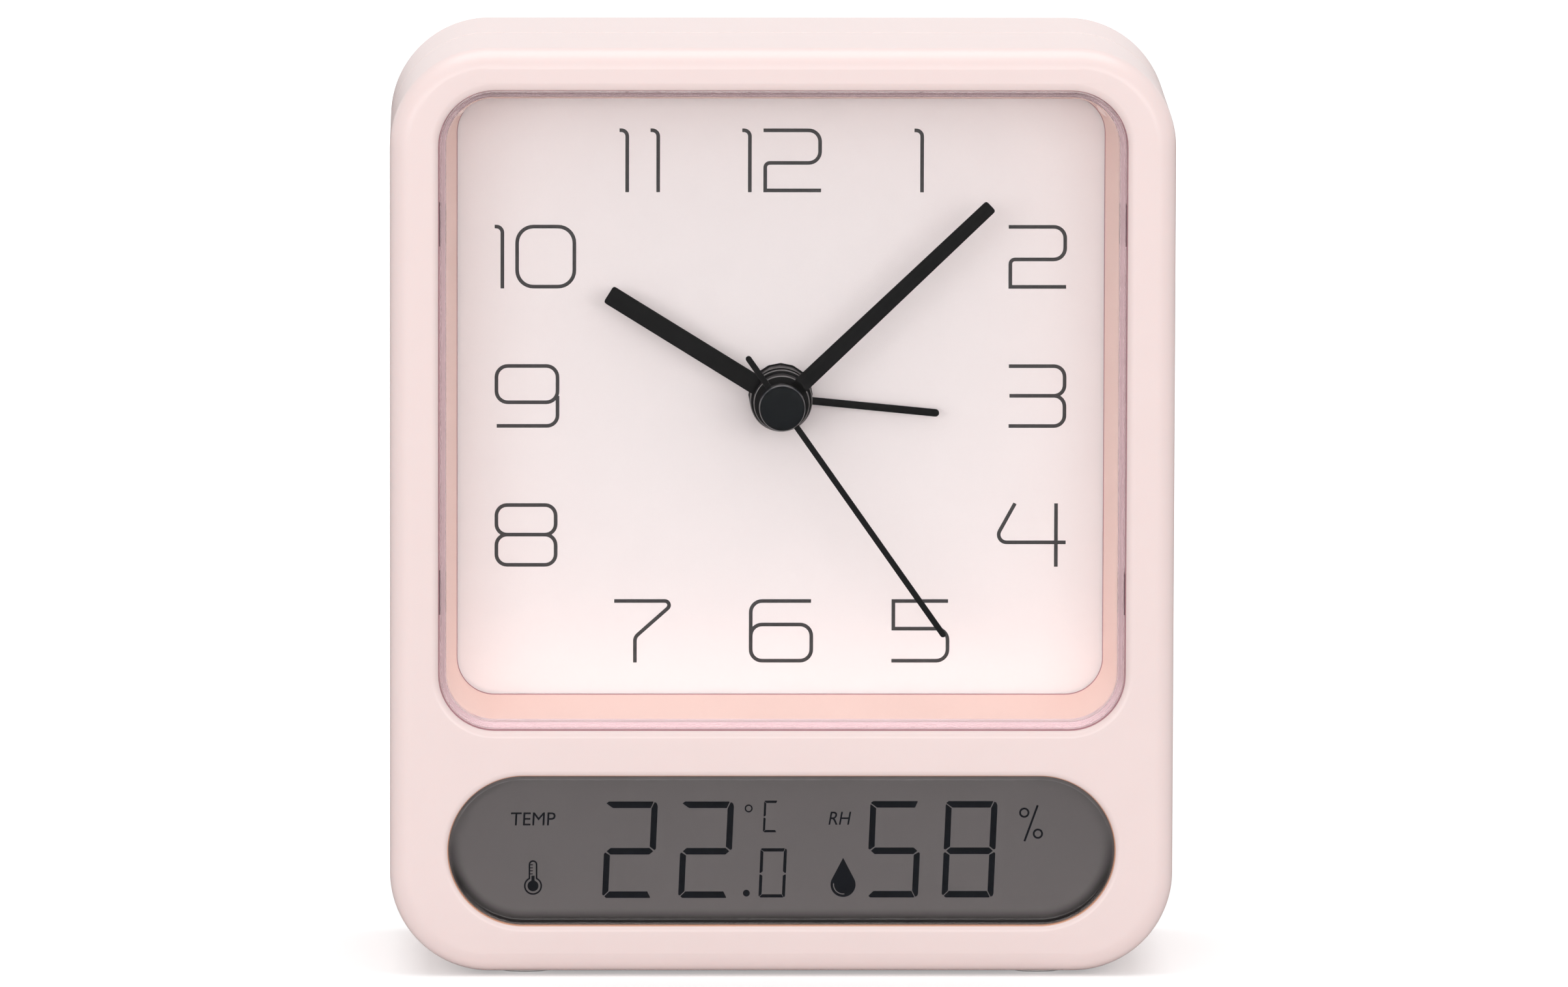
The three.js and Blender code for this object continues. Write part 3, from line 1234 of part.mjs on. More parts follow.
function movementHousing() {
  const front = trainY + FIT_GAP;
  const shell = cut(
    stack([
      inset(movement, 0, front),
      inset(movement, 0, movementRear - MOVEMENT_EDGE),
      inset(movement, MOVEMENT_EDGE, movementRear),
    ], 0, movementMiddle, SMALL_CORNER_STEPS),
    stack([
      inset(movement, MOVEMENT_WALL, front - BREAKOUT),
      inset(movement, MOVEMENT_WALL, movementRearInner),
    ], 0, movementMiddle, SMALL_CORNER_STEPS),
  );
  const ears = [-1, 1].map((side) => {
    const root = side * (MOVEMENT_SIZE / 2 - MOVEMENT_WALL / 2);
    const tip = side * (MOVEMENT_SIZE / 2 + EAR_REACH);
    return block(
      [Math.min(root, tip), Math.max(root, tip)], [earFront, earRear], about(earZ, EAR_HEIGHT));
  });
  const wallIn = movementRearInner + MOVEMENT_WALL / 2;
  const stud = rod(
    STUD_RADIUS, trainY + SECOND_LEVEL - PINION_OVERHANG, wallIn,
    ...axes.intermediate, SMALL_ROUND_SIDES);
  const bearings = [axes.third, axes.centre].map(([x, z]) => (
    rod(BEARING_RADIUS, movementRearInner - BEARING_HEIGHT, wallIn, x, z, SMALL_ROUND_SIDES)
  ));
  const rotorBearing = rod(
    BEARING_RADIUS, rotorBearingFront, wallIn, ...axes.rotor, SMALL_ROUND_SIDES);
  const statorPosts = [-1, 1].map((side) => rod(
    MOVEMENT_POST_RADIUS, statorFront + STATOR_THICKNESS + FIT_GAP, wallIn,
    side * (STATOR_SPAN / 2 - STATOR_LEG), axes.rotor[1], SMALL_ROUND_SIDES));
  const boardPosts = circuitPosts.map((x) => (
    rod(MOVEMENT_POST_RADIUS, circuitRear + FIT_GAP, wallIn, x, circuitZ, SMALL_ROUND_SIDES)
  ));
  const bearingFront = movementRearInner - BEARING_HEIGHT;
  const pivots = [[axes.third, PIVOT_RADIUS], [axes.centre, ARBOR_RADIUS]];
  const pivotHoles = pivots.map(([[x, z], radius]) => rod(
    radius + FIT_GAP, bearingFront - BREAKOUT, bearingFront + PIVOT_DEPTH + FIT_GAP,
    x, z, SMALL_ROUND_SIDES));
  const rotorHole = rod(
    PIVOT_RADIUS + FIT_GAP, rotorBearingFront - BREAKOUT, rotorBearingFront + PIVOT_DEPTH + FIT_GAP,
    ...axes.rotor, SMALL_ROUND_SIDES);
  const holeSpan = [movementRearInner - BREAKOUT, movementRear + BREAKOUT];
  const shaftHoles = [axes.timeSet, axes.alarmSet].map(([x, z]) => (
    rod(SHAFT_RADIUS + RUNNING_GAP, ...holeSpan, x, z)
  ));
  const stemSlot = block(
    about(0, SWITCH_STEM_WIDTH + SWITCH_TRAVEL + 2 * SEAT_GAP),
    holeSpan,
    about(SWITCH_RISE, SWITCH_STEM_TALL + 2 * SEAT_GAP),
  );
  const earHoles = [-1, 1].map((side) => rod(
    EAR_SCREW_RADIUS + RUNNING_GAP, earFront - BREAKOUT, earRear + BREAKOUT,
    side * earX, earZ, SMALL_ROUND_SIDES));
  return cut(
    joined(shell, ...ears, stud, ...bearings, rotorBearing, ...statorPosts, ...boardPosts),
    ...pivotHoles, rotorHole, ...shaftHoles, stemSlot, ...earHoles,
  );
}

function stator() {
  const [front, rear] = [statorFront, statorFront + STATOR_THICKNESS];
  const z = axes.rotor[1];
  const legs = [-1, 1].map((side) => block(
    about(side * (STATOR_SPAN - STATOR_LEG) / 2, STATOR_LEG),
    [front, rear],
    [coilZ - CORE_TALL / 2, z],
  ));
  return cut(
    joined(
      block(about(0, STATOR_SPAN), [front, rear], about(z, STATOR_BAR)),
      rod(STATOR_RING, front, rear, 0, z),
      ...legs,
    ),
    rod(STATOR_HOLE, front - BREAKOUT, rear + BREAKOUT, 0, z),
  );
}

function coil() {
  const [end, inner] = [COIL_LENGTH / 2, COIL_LENGTH / 2 - COIL_FLANGE_THICKNESS];
  return turnedAlongX([
    [COIL_BORE, -end], [COIL_FLANGE_RADIUS, -end], [COIL_FLANGE_RADIUS, -inner],
    [COIL_RADIUS, -inner], [COIL_RADIUS, inner], [COIL_FLANGE_RADIUS, inner],
    [COIL_FLANGE_RADIUS, end], [COIL_BORE, end],
  ], [0, coilY, coilZ]);
}

function coilCore() {
  return block(
    about(0, STATOR_SPAN), [coreFront, coreFront + CORE_THICKNESS], about(coilZ, CORE_TALL));
}

function movementBoard() {
  return block(about(0, CIRCUIT_WIDTH), [circuitFront, circuitRear], about(circuitZ, CIRCUIT_TALL));
}

function quartzCrystal() {
  const end = CRYSTAL_LENGTH / 2;
  return turnedAlongX([
    [0, -end], [CRYSTAL_RADIUS, -end], [CRYSTAL_RADIUS, end - CRYSTAL_EDGE],
    [CRYSTAL_RADIUS - CRYSTAL_EDGE, end], [0, end],
  ], [CIRCUIT_WIDTH / 4, circuitFront - FIT_GAP - CRYSTAL_RADIUS, circuitZ], SMALL_ROUND_SIDES);
}

// Controls on the rear

function alarmSwitch() {
  const x = -SWITCH_TRAVEL / 2;
  const head = [switchFloorY + FIT_GAP, rearY - FIT_GAP];
  const grip = Array.from({ length: SWITCH_RIBS }, (_, k) => block(
    about(x + (k - (SWITCH_RIBS - 1) / 2) * SWITCH_RIB_PITCH, SWITCH_GROOVE_WIDTH),
    [head[1] - SWITCH_GROOVE_DEPTH, head[1] + BREAKOUT],
    about(switchZ, SWITCH_TALL + BREAKOUT),
  ));
  return joined(
    cut(block(about(x, SWITCH_WIDTH), head, about(switchZ, SWITCH_TALL)), ...grip),
    block(
      about(x, SWITCH_STEM_WIDTH), [circuitRear + FIT_GAP, head[0] + FIT_GAP],
      about(switchZ, SWITCH_STEM_TALL)),
  );
}

function sounder() {
  const rear = rearWallFront - FIT_GAP;
  return turned([
    [0, rear - SOUNDER_THICKNESS], [SOUNDER_RADIUS, rear - SOUNDER_THICKNESS],
    [SOUNDER_RADIUS, rear], [SOUNDER_PORT_RADIUS, rear],
    [SOUNDER_PORT_RADIUS, rear - SOUNDER_PORT_DEPTH], [0, rear - SOUNDER_PORT_DEPTH],
  ], sounderX, sounderZ);
}

function unitButton() {
  const flangeRadius = BUTTON_RADIUS + BUTTON_RIM;
  const flangeRearFace = buttonFlangeFront + BUTTON_RIM;
  return turned([
    [0, buttonFlangeFront], [flangeRadius, buttonFlangeFront],
    [flangeRadius, flangeRearFace], [BUTTON_RADIUS, flangeRearFace],
    [BUTTON_RADIUS, buttonTop - BUTTON_EDGE], [BUTTON_RADIUS - BUTTON_EDGE, buttonTop],
    [0, buttonTop],
  ], buttonX, BUTTON_HEIGHT);
}

function buttonBoard() {
  const front = buttonBoardRear - BOARD_THICKNESS;
  const contact = buttonFlangeFront - BUTTON_TRAVEL - FIT_GAP;
  return joined(
    block(
      about(buttonX, BUTTON_BOARD_SIZE), [front, buttonBoardRear],
      about(BUTTON_HEIGHT, BUTTON_BOARD_SIZE)),
    rod(
      BUTTON_CONTACT_RADIUS, buttonBoardRear - FIT_GAP, contact, buttonX, BUTTON_HEIGHT,
      SMALL_ROUND_SIDES),
  );
}

// Display, about the middle of its window

function lcdWindow() {
  const pane = inset(displayOpening, FIT_GAP, displayFront);
  return joined(
    stack([
      ...roundEdge(pane, DISPLAY_PILLOW, displayFront, 1, LIP_STEPS),
      inset(pane, 0, flangeFront + DISPLAY_FLANGE_THICKNESS / 2),
    ]),
    stack([
      inset(displayOpening, -DISPLAY_FLANGE, flangeFront),
      inset(displayOpening, -DISPLAY_FLANGE, flangeRear),
    ]),
  );
}

function lcdPanel() {
  return block(about(0, panelWidth), [panelFront, panelRear], about(0, panelTall));
}

function lcdFrame() {
  const pocket = {
    width: panelWidth + 2 * FIT_GAP,
    height: panelTall + 2 * FIT_GAP,
    radius: FRAME_CORNER,
  };
  const front = flangeRear + FIT_GAP;
  return cut(
    stack([
      inset(pocket, -FRAME_WALL, front),
      inset(pocket, -FRAME_WALL, displayBoardFront - FIT_GAP),
    ], 0, 0, SMALL_CORNER_STEPS),
    stack([
      inset(pocket, 0, front - BREAKOUT),
      inset(pocket, 0, displayBoardFront + BREAKOUT),
    ], 0, 0, SMALL_CORNER_STEPS),
  );
}

function zebraStrip() {
  const z = (STRIP_TALL - panelTall) / 2;
  const front = panelRear + FIT_GAP;
  return block(
    about(0, panelWidth - 2 * STRIP_INSET), [front, front + STRIP_DEPTH], about(z, STRIP_TALL));
}

function displayBoard() {
  return block(
    about(0, panelWidth + 2 * BOARD_OVERLAP),
    [displayBoardFront, displayBoardFront + BOARD_THICKNESS],
    about(0, panelTall + 2 * BOARD_OVERLAP),
  );
}

function humiditySensor() {
  const front = displayBoardFront + BOARD_THICKNESS + FIT_GAP;
  const [x, z] = [-buttonX, 0];
  return cut(
    block(about(x, SENSOR_SIZE), [front, front + SENSOR_THICKNESS], about(z, SENSOR_SIZE)),
    rod(
      SENSOR_PORT_RADIUS, front + SENSOR_THICKNESS - SENSOR_PORT_DEPTH,
      front + SENSOR_THICKNESS + BREAKOUT, x, z, SMALL_ROUND_SIDES),
  );
}

// Power: the cells lie across the clock, the upper one with its nub to the right

function cell() {
  const end = cellRoom / 2;
  const shoulder = end - CELL_NUB_LENGTH;
  return turnedAlongX([
    [0, -end], [CELL_RADIUS - CELL_EDGE, -end], [CELL_RADIUS, -end + CELL_EDGE],
    [CELL_RADIUS, shoulder - CELL_EDGE], [CELL_RADIUS - CELL_EDGE, shoulder],
    [CELL_NUB_RADIUS, shoulder], [CELL_NUB_RADIUS, end], [0, end],
  ], [0, 0, 0]);
}

const plateContactX = bayHalfWide - SEAT_GAP - CONTACT_THICKNESS;
const cellX = plateContactX - SEAT_GAP - cellRoom / 2;
const springBaseX = -bayHalfWide + SEAT_GAP;

function contactPlate() {
  return block(
    [plateContactX, plateContactX + CONTACT_THICKNESS],
    about(0, CONTACT_SIZE),
    about(0, CONTACT_SIZE),
  );
}

// A conical spring of round wire on a square base plate
function contactSpring() {
  const start = springBaseX + CONTACT_THICKNESS;
  const finish = cellX - cellRoom / 2 - SEAT_GAP - SPRING_WIRE;
  class Cone extends THREE.Curve {
    getPoint(share, target = new THREE.Vector3()) {
      const angle = share * SPRING_TURNS * 2 * Math.PI;
      const radius = SPRING_WIDE + (SPRING_NARROW - SPRING_WIDE) * share;
      return target.set(
        start + (finish - start) * share, radius * Math.cos(angle), radius * Math.sin(angle));
    }
  }
  const wire = new THREE.Shape(circle(SPRING_WIRE, WIRE_SIDES).map(([u, v]) => new THREE.Vector2(u, v)));
  const steps = Math.round(SPRING_TURNS * SPRING_STEPS);
  const coils = new THREE.ExtrudeGeometry(
    wire, { steps, extrudePath: new Cone(), bevelEnabled: false });
  return joined(
    solid(coils),
    block([springBaseX, start], about(0, CONTACT_SIZE), about(0, CONTACT_SIZE)),
  );
}

function batteryDoor() {
  const top = BAY_HEIGHT + doorHalfTall;
  const inner = rearY - DOOR_THICKNESS;
  const panel = block([-doorHalfWide, doorHalfWide], [inner, rearY], [doorPivotZ, top]);
  const profile = [
    [0, -doorHalfWide - DOOR_TRUNNION_LENGTH],
    [DOOR_TRUNNION, -doorHalfWide - DOOR_TRUNNION_LENGTH],
    [DOOR_TRUNNION, -doorHalfWide], [doorBarrel, -doorHalfWide],
  ];
  const mirrored = profile.map(([radius, along]) => [radius, -along]).reverse();
  const barrel = turnedAlongX([...profile, ...mirrored], [0, doorPivotY, doorPivotZ]);
  const latchTop = BAY_HEIGHT + bayHalfTall - LATCH_CLEARANCE;
  const latch = block(
    about(0, LATCH_WIDTH), [inner - LATCH_DEPTH, inner + FIT_GAP],
    [latchTop - LATCH_THICKNESS, latchTop]);
  const grooves = Array.from({ length: DOOR_GROOVES }, (_, k) => block(
    about(0, DOOR_GROOVE_LENGTH), [rearY - DOOR_GROOVE_DEPTH, rearY + BREAKOUT],
    about(top - DOOR_GROOVE_INSET - DOOR_GROOVE_PITCH * k, DOOR_GROOVE_WIDTH)));
  return cut(joined(panel, barrel, latch), ...grooves);
}

// Finishes
function finish(colour, roughness, metalness = 0) {
  return { color: colour, roughness, metalness };
}

const pinkPlastic = finish(0xf4dad4, 0.45);
const dialPaint = finish(0xeee8e8, 0.6);
const handPaint = finish(0x0c0c0c, 0.4);
const capPlastic = finish(0x23282c, 0.25);
const rubber = finish(0xd8d0cc, 0.8);
const steel = finish(0xb8bcc0, 0.3, 1);
const brass = finish(0xc8a24a, 0.3, 1);
const whiteAcetal = finish(0xe9e7e0, 0.5);
const blackPlastic = finish(0x1c1c1e, 0.5);
const circuitGreen = finish(0x1f5a36, 0.5);
const copper = finish(0xb5653a, 0.35, 1);
const ferrite = finish(0x3a3a3d, 0.5);

const clock = new THREE.Group();

function place(group, name, shape, { color, roughness, metalness, ...glass }, [x, y, z] = [0, 0, 0]) {
  const { vertProperties, triVerts } = shape.getMesh();
  const geometry = new THREE.BufferGeometry();
  geometry.setAttribute('position', new THREE.BufferAttribute(vertProperties, 3));
  geometry.setIndex(new THREE.BufferAttribute(triVerts, 1));
  geometry.computeVertexNormals();
  const material = new THREE.MeshStandardMaterial({ color, roughness, metalness, ...glass });
  const mesh = new THREE.Mesh(geometry, material);
  mesh.name = name;
  mesh.position.set(x, y, z);
  group.add(mesh);
  return mesh;
}

const clearGlass = { ...finish(0xf4f6f7, 0.05), transparent: true, opacity: 0.25 };
const smokedGlass = { ...finish(0x55504f, 0.12), transparent: true, opacity: 0.7 };

// Housing
const housingGroup = new THREE.Group();
clock.add(housingGroup);
place(housingGroup, 'front_case', frontCase(), pinkPlastic);
place(housingGroup, 'rear_case', rearCase(), pinkPlastic);
place(housingGroup, 'lens', lens(), clearGlass);
posts.forEach(({ x, z }, k) => {
  const shape = screw(
    screwSeatY + FIT_GAP, seamY - SCREW_BITE, SCREW_RADIUS, SCREW_HEAD_RADIUS, SCREW_HEAD_HEIGHT);
  place(housingGroup, `rear_screw_${k + 1}`, shape, steel, [x, 0, z]);
});
[['front', frontFootY], ['rear', rearFootY]].forEach(([row, y]) => {
  [['left', -1], ['right', 1]].forEach(([name, side]) => {
    place(housingGroup, `foot_${row}_${name}`, foot(side, y), rubber);
  });
});

// Dial, hands and movement, about the hands' axis
const movementGroup = new THREE.Group();
movementGroup.position.z = handsHeight;
clock.add(movementGroup);
place(movementGroup, 'dial_plate', dialPlate(), dialPaint);
const hands = [
  ['alarm_hand', alarmHand(), handPaint, ALARM_ANGLE],
  ['hour_hand', hourHand(), handPaint, HOUR_ANGLE],
  ['minute_hand', minuteHand(), handPaint, MINUTE_ANGLE],
  ['second_hand', secondHand(), handPaint, SECOND_ANGLE],
  ['second_cap', secondCap(), capPlastic, SECOND_ANGLE],
];
hands.forEach(([name, shape, coat, angle]) => {
  place(movementGroup, name, shape, coat).rotation.y = THREE.MathUtils.degToRad(angle);
});

function placeWheel(name, shape, coat, [x, z]) {
  return place(movementGroup, name, shape, coat, [x, 0, z]);
}

placeWheel('second_wheel', secondWheel(), steel, axes.centre);
placeWheel('third_wheel', thirdWheel(), brass, axes.third);
placeWheel('centre_wheel', centreWheel(), whiteAcetal, axes.centre);
placeWheel('intermediate_wheel', intermediateWheel(), whiteAcetal, axes.intermediate);
placeWheel('rotor', rotor(), ferrite, axes.rotor);
placeWheel('minute_pipe', minutePipe(), brass, axes.centre);
placeWheel('motion_wheel', motionWheel(), whiteAcetal, axes.motion);
placeWheel('hour_wheel', hourWheel(), whiteAcetal, axes.centre);
placeWheel('alarm_wheel', alarmWheel(), whiteAcetal, axes.centre);
placeWheel('time_set_gear', timeSetGear(), whiteAcetal, axes.timeSet);
placeWheel('alarm_set_gear', alarmSetGear(), whiteAcetal, axes.alarmSet);
placeWheel('time_set_knob', knob(), whiteAcetal, axes.timeSet);
placeWheel('alarm_set_knob', knob(), whiteAcetal, axes.alarmSet);
place(movementGroup, 'movement_plate', movementPlate(), blackPlastic);
place(movementGroup, 'movement_housing', movementHousing(), blackPlastic);
place(movementGroup, 'stator', stator(), steel);
place(movementGroup, 'coil', coil(), copper);
place(movementGroup, 'coil_core', coilCore(), steel);
place(movementGroup, 'movement_board', movementBoard(), circuitGreen);
place(movementGroup, 'quartz_crystal', quartzCrystal(), steel);
[['left', -1], ['right', 1]].forEach(([name, side]) => {
  const shape = screw(
    earRear + FIT_GAP, earFront - EAR_SCREW_BITE, EAR_SCREW_RADIUS, EAR_SCREW_HEAD, EAR_SCREW_HEAD_HEIGHT);
  place(movementGroup, `movement_screw_${name}`, shape, steel, [side * earX, 0, earZ]);
});

// Controls
place(clock, 'alarm_switch', alarmSwitch(), blackPlastic);
place(clock, 'sounder', sounder(), brass);
place(clock, 'unit_button', unitButton(), whiteAcetal);
place(clock, 'button_board', buttonBoard(), circuitGreen);

// Display
const displayGroup = new THREE.Group();
displayGroup.position.z = displayHeight;
clock.add(displayGroup);
place(displayGroup, 'lcd_window', lcdWindow(), smokedGlass);
place(displayGroup, 'lcd_panel', lcdPanel(), finish(0x9aa09a, 0.4));
place(displayGroup, 'lcd_frame', lcdFrame(), blackPlastic);
place(displayGroup, 'zebra_strip', zebraStrip(), finish(0xd9a0a0, 0.7));
place(displayGroup, 'display_board', displayBoard(), circuitGreen);
place(displayGroup, 'humidity_sensor', humiditySensor(), blackPlastic);

// Power
[['upper', 1], ['lower', -1]].forEach(([name, side]) => {
  const row = new THREE.Group();
  row.position.set(0, cellY, BAY_HEIGHT + side * CELL_PITCH / 2);
  row.rotation.y = side > 0 ? 0 : Math.PI;
  clock.add(row);
  place(row, `battery_${name}`, cell(), finish(0x2b2b2e, 0.35, 0.6), [cellX, 0, 0]);
  place(row, `contact_plate_${name}`, contactPlate(), steel);
  place(row, `contact_spring_${name}`, contactSpring(), steel);
});
place(clock, 'battery_door', batteryDoor(), pinkPlastic);

export default clock;
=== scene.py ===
"""Table alarm clock in pale pink ABS: a lens over a deep-set dial, and a humidity display below it.

Sizes are in millimetres and are turned to metres where a mesh is made. The dial faces -Y, and the
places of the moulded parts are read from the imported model, so that each piece sits on its node.
"""

import logging
from collections import Counter
from dataclasses import dataclass, field
from enum import Enum, IntEnum
from math import acos, asin, atan2, cos, pi, radians, sin, sqrt, tan
from typing import Any, Callable, Optional, Sequence, Union

import bmesh
import bpy
from bpy.types import Material, Node, NodeSocket, NodeTree, Object
from mathutils import Matrix, Vector
from mathutils.geometry import tessellate_polygon


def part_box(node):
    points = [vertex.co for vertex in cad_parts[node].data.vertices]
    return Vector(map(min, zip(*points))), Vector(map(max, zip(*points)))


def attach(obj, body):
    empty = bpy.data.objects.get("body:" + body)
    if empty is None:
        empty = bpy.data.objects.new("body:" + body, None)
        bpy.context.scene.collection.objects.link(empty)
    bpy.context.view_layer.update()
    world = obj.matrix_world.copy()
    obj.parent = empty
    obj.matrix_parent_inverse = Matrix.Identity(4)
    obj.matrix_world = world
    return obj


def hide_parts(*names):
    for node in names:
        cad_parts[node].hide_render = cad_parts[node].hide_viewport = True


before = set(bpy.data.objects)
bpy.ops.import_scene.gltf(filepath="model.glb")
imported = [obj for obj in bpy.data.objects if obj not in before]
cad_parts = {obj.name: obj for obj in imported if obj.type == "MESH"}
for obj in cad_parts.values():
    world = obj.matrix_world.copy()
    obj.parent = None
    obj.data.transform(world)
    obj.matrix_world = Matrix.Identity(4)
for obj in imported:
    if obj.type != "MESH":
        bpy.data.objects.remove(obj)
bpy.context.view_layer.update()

LOG = logging.getLogger("clock")
MM = 0.001
TAU = 2.0 * pi

Flat = tuple[float, float]
Solid = tuple[float, float, float]
Links = dict[Any, Any]
Sketch = dict[str, list[Any]]
Mouths = tuple[list[Solid], list[Solid]]
Row = list[bmesh.types.BMVert]


class Side(Enum):
    """The two ends of a paired part."""

    LEFT = -1
    RIGHT = 1


def linear(code: str) -> tuple[float, float, float, float]:
    """Turn an sRGB hex colour into linear light.

    Args:
        code: The colour as #RRGGBB.

    Returns:
        Red, green, blue and an alpha of one, in linear light.
    """
    channels = [int(code[at:at + 2], 16) / 255.0 for at in (1, 3, 5)]
    light = [c / 12.92 if c <= 0.04045 else ((c + 0.055) / 1.055) ** 2.4 for c in channels]
    return (light[0], light[1], light[2], 1.0)


def add_node(tree: NodeTree, kind: str, settings: Optional[Links] = None,
             links: Optional[Links] = None) -> Node:
    """Add a shader node with its settings and its incoming links.

    Args:
        tree: The node tree that gets the node.
        kind: The node's type name.
        settings: Values by property name, or by input socket name or number.
        links: Output sockets by the input socket that they feed.

    Returns:
        The new node.
    """
    node = tree.nodes.new(kind)
    for key, value in (settings or {}).items():
        if isinstance(key, str) and hasattr(node, key):
            setattr(node, key, value)
        else:
            node.inputs[key].default_value = value
    for key, socket in (links or {}).items():
        tree.links.new(socket, node.inputs[key])
    return node


def fresh_material(name: str) -> tuple[Material, NodeTree, Node, Node]:
    """Start a node material.

    Args:
        name: The material's name.

    Returns:
        The material, its node tree, its Principled shader and its output node.
    """
    material = bpy.data.materials.new(name)
    material.use_nodes = True
    tree = material.node_tree
    return material, tree, tree.nodes["Principled BSDF"], tree.nodes["Material Output"]


# A cloud of tone is this many grains wide
CLOUD_GRAINS = 40.0
# How far light goes in pale plastic, in metres, and what share of red, green and blue does so
GLOW_DEPTH = 0.0015
GLOW_SHARES = (1.0, 0.6, 0.5)


@dataclass(frozen=True)
class Finish:
    """A moulded, painted or plated surface, with a fine grain in its tone, gloss and relief."""

    name: str
    colour: str
    roughness: float
    grain_mm: float = 0.3
    tone: float = 0.03
    gloss: float = 0.06
    relief_mm: float = 0.004
    metallic: float = 0.0
    ior: float = 1.5
    coat: float = 0.0
    coat_roughness: float = 0.1
    subsurface: float = 0.0
    stretch: Solid = (1.0, 1.0, 1.0)

    def material(self) -> Material:
        """Build the material.

        Returns:
            The material, made once for each name.
        """
        if self.name in bpy.data.materials:
            return bpy.data.materials[self.name]
        material, tree, shader, _ = fresh_material(self.name)
        place = add_node(tree, "ShaderNodeTexCoord")
        scaled = add_node(tree, "ShaderNodeMapping", {"Scale": self.stretch},
                          {"Vector": place.outputs["Object"]})
        grain = add_node(tree, "ShaderNodeTexNoise",
                         {"Scale": 1.0 / (self.grain_mm * MM), "Detail": 3.0, "Roughness": 0.6},
                         {"Vector": scaled.outputs["Vector"]})
        cloud = add_node(tree, "ShaderNodeTexNoise",
                         {"Scale": 1.0 / (CLOUD_GRAINS * self.grain_mm * MM), "Detail": 2.0},
                         {"Vector": scaled.outputs["Vector"]})
        base = linear(self.colour)
        darker = tuple(c * (1.0 - self.tone) for c in base[:3]) + (1.0,)
        lighter = tuple(min(c * (1.0 + self.tone), 1.0) for c in base[:3]) + (1.0,)
        tone = add_node(tree, "ShaderNodeMix", {"data_type": "RGBA", 6: darker, 7: lighter},
                        {0: cloud.outputs["Fac"]})
        colour = self.shaded(tree, place.outputs["Object"], tone.outputs[2])
        gloss = add_node(tree, "ShaderNodeMapRange",
                         {"To Min": max(self.roughness - self.gloss, 0.02),
                          "To Max": min(self.roughness + self.gloss, 1.0)},
                         {"Value": grain.outputs["Fac"]})
        relief = add_node(tree, "ShaderNodeBump",
                          {"Strength": 0.5, "Distance": self.relief_mm * MM},
                          {"Height": grain.outputs["Fac"]})
        shader.inputs["Metallic"].default_value = self.metallic
        if self.metallic < 0.5:
            shader.inputs["IOR"].default_value = self.ior
        if self.coat > 0.0:
            shader.inputs["Coat Weight"].default_value = self.coat
            shader.inputs["Coat Roughness"].default_value = self.coat_roughness
        if self.subsurface > 0.0:
            shader.inputs["Subsurface Weight"].default_value = self.subsurface
            shader.inputs["Subsurface Radius"].default_value = GLOW_SHARES
            shader.inputs["Subsurface Scale"].default_value = GLOW_DEPTH
        tree.links.new(colour, shader.inputs["Base Color"])
        tree.links.new(gloss.outputs["Result"], shader.inputs["Roughness"])
        tree.links.new(relief.outputs["Normal"], shader.inputs["Normal"])
        return material

    def shaded(self, tree: NodeTree, place: NodeSocket, colour: NodeSocket) -> NodeSocket:
        """Give the colour as it is; a finish with painted shade at its edge changes it."""
        return colour


@dataclass(frozen=True)
class EdgeShadedFinish(Finish):
    """A round-ended panel, with painted shade along the lower edge and at both ends."""

    painted_shade: str = "#141213"
    half_length: float = 36.25
    middle: float = 17.8
    edge: float = 10.55
    edge_gap: float = 0.1
    reach: float = 2.1
    end_share: float = 0.25
    rise: float = 7.0

    def shaded(self, tree: NodeTree, place: NodeSocket, colour: NodeSocket) -> NodeSocket:
        """Paint shade over the colour towards the edge.

        Args:
            tree: The node tree.
            place: The place on the object.
            colour: The colour of the open panel.

        Returns:
            The colour with the darker edge.
        """
        def maths(operation: str, first: Any, second: Any = 0.0) -> NodeSocket:
            """Add a maths node.

            Args:
                operation: Its operation.
                first: A number or a socket.
                second: Another one.

            Returns:
                Its output.
            """
            node = add_node(tree, "ShaderNodeMath", {"operation": operation})
            for slot, value in enumerate((first, second)):
                if isinstance(value, float):
                    node.inputs[slot].default_value = value
                else:
                    tree.links.new(value, node.inputs[slot])
            return node.outputs["Value"]

        axes = add_node(tree, "ShaderNodeSeparateXYZ", {}, {"Vector": place})
        across = maths("MAXIMUM", maths("SUBTRACT", maths("ABSOLUTE", axes.outputs["X"]),
                                        self.half_length * MM), 0.0)
        down = maths("SUBTRACT", self.middle * MM, axes.outputs["Z"])
        away = maths("SQRT", maths("ADD", maths("MULTIPLY", across, across),
                                   maths("MULTIPLY", down, down)))
        near = add_node(tree, "ShaderNodeMapRange",
                        {"interpolation_type": "SMOOTHSTEP", "From Min": (self.edge - self.reach) * MM,
                         "From Max": (self.edge - self.edge_gap) * MM}, {"Value": away})
        lean = maths("ADD", down, maths("MULTIPLY", across, self.end_share))
        turned = add_node(tree, "ShaderNodeMapRange",
                          {"From Min": 0.0, "From Max": self.rise * MM}, {"Value": lean})
        amount = maths("MULTIPLY", near.outputs["Result"], turned.outputs["Result"])
        # Mix the painted shade over the panel's colour near its lower edge and its ends
        return add_node(tree, "ShaderNodeMix", {"data_type": "RGBA", 7: linear(self.painted_shade)},
                        {0: amount, 6: colour}).outputs[2]


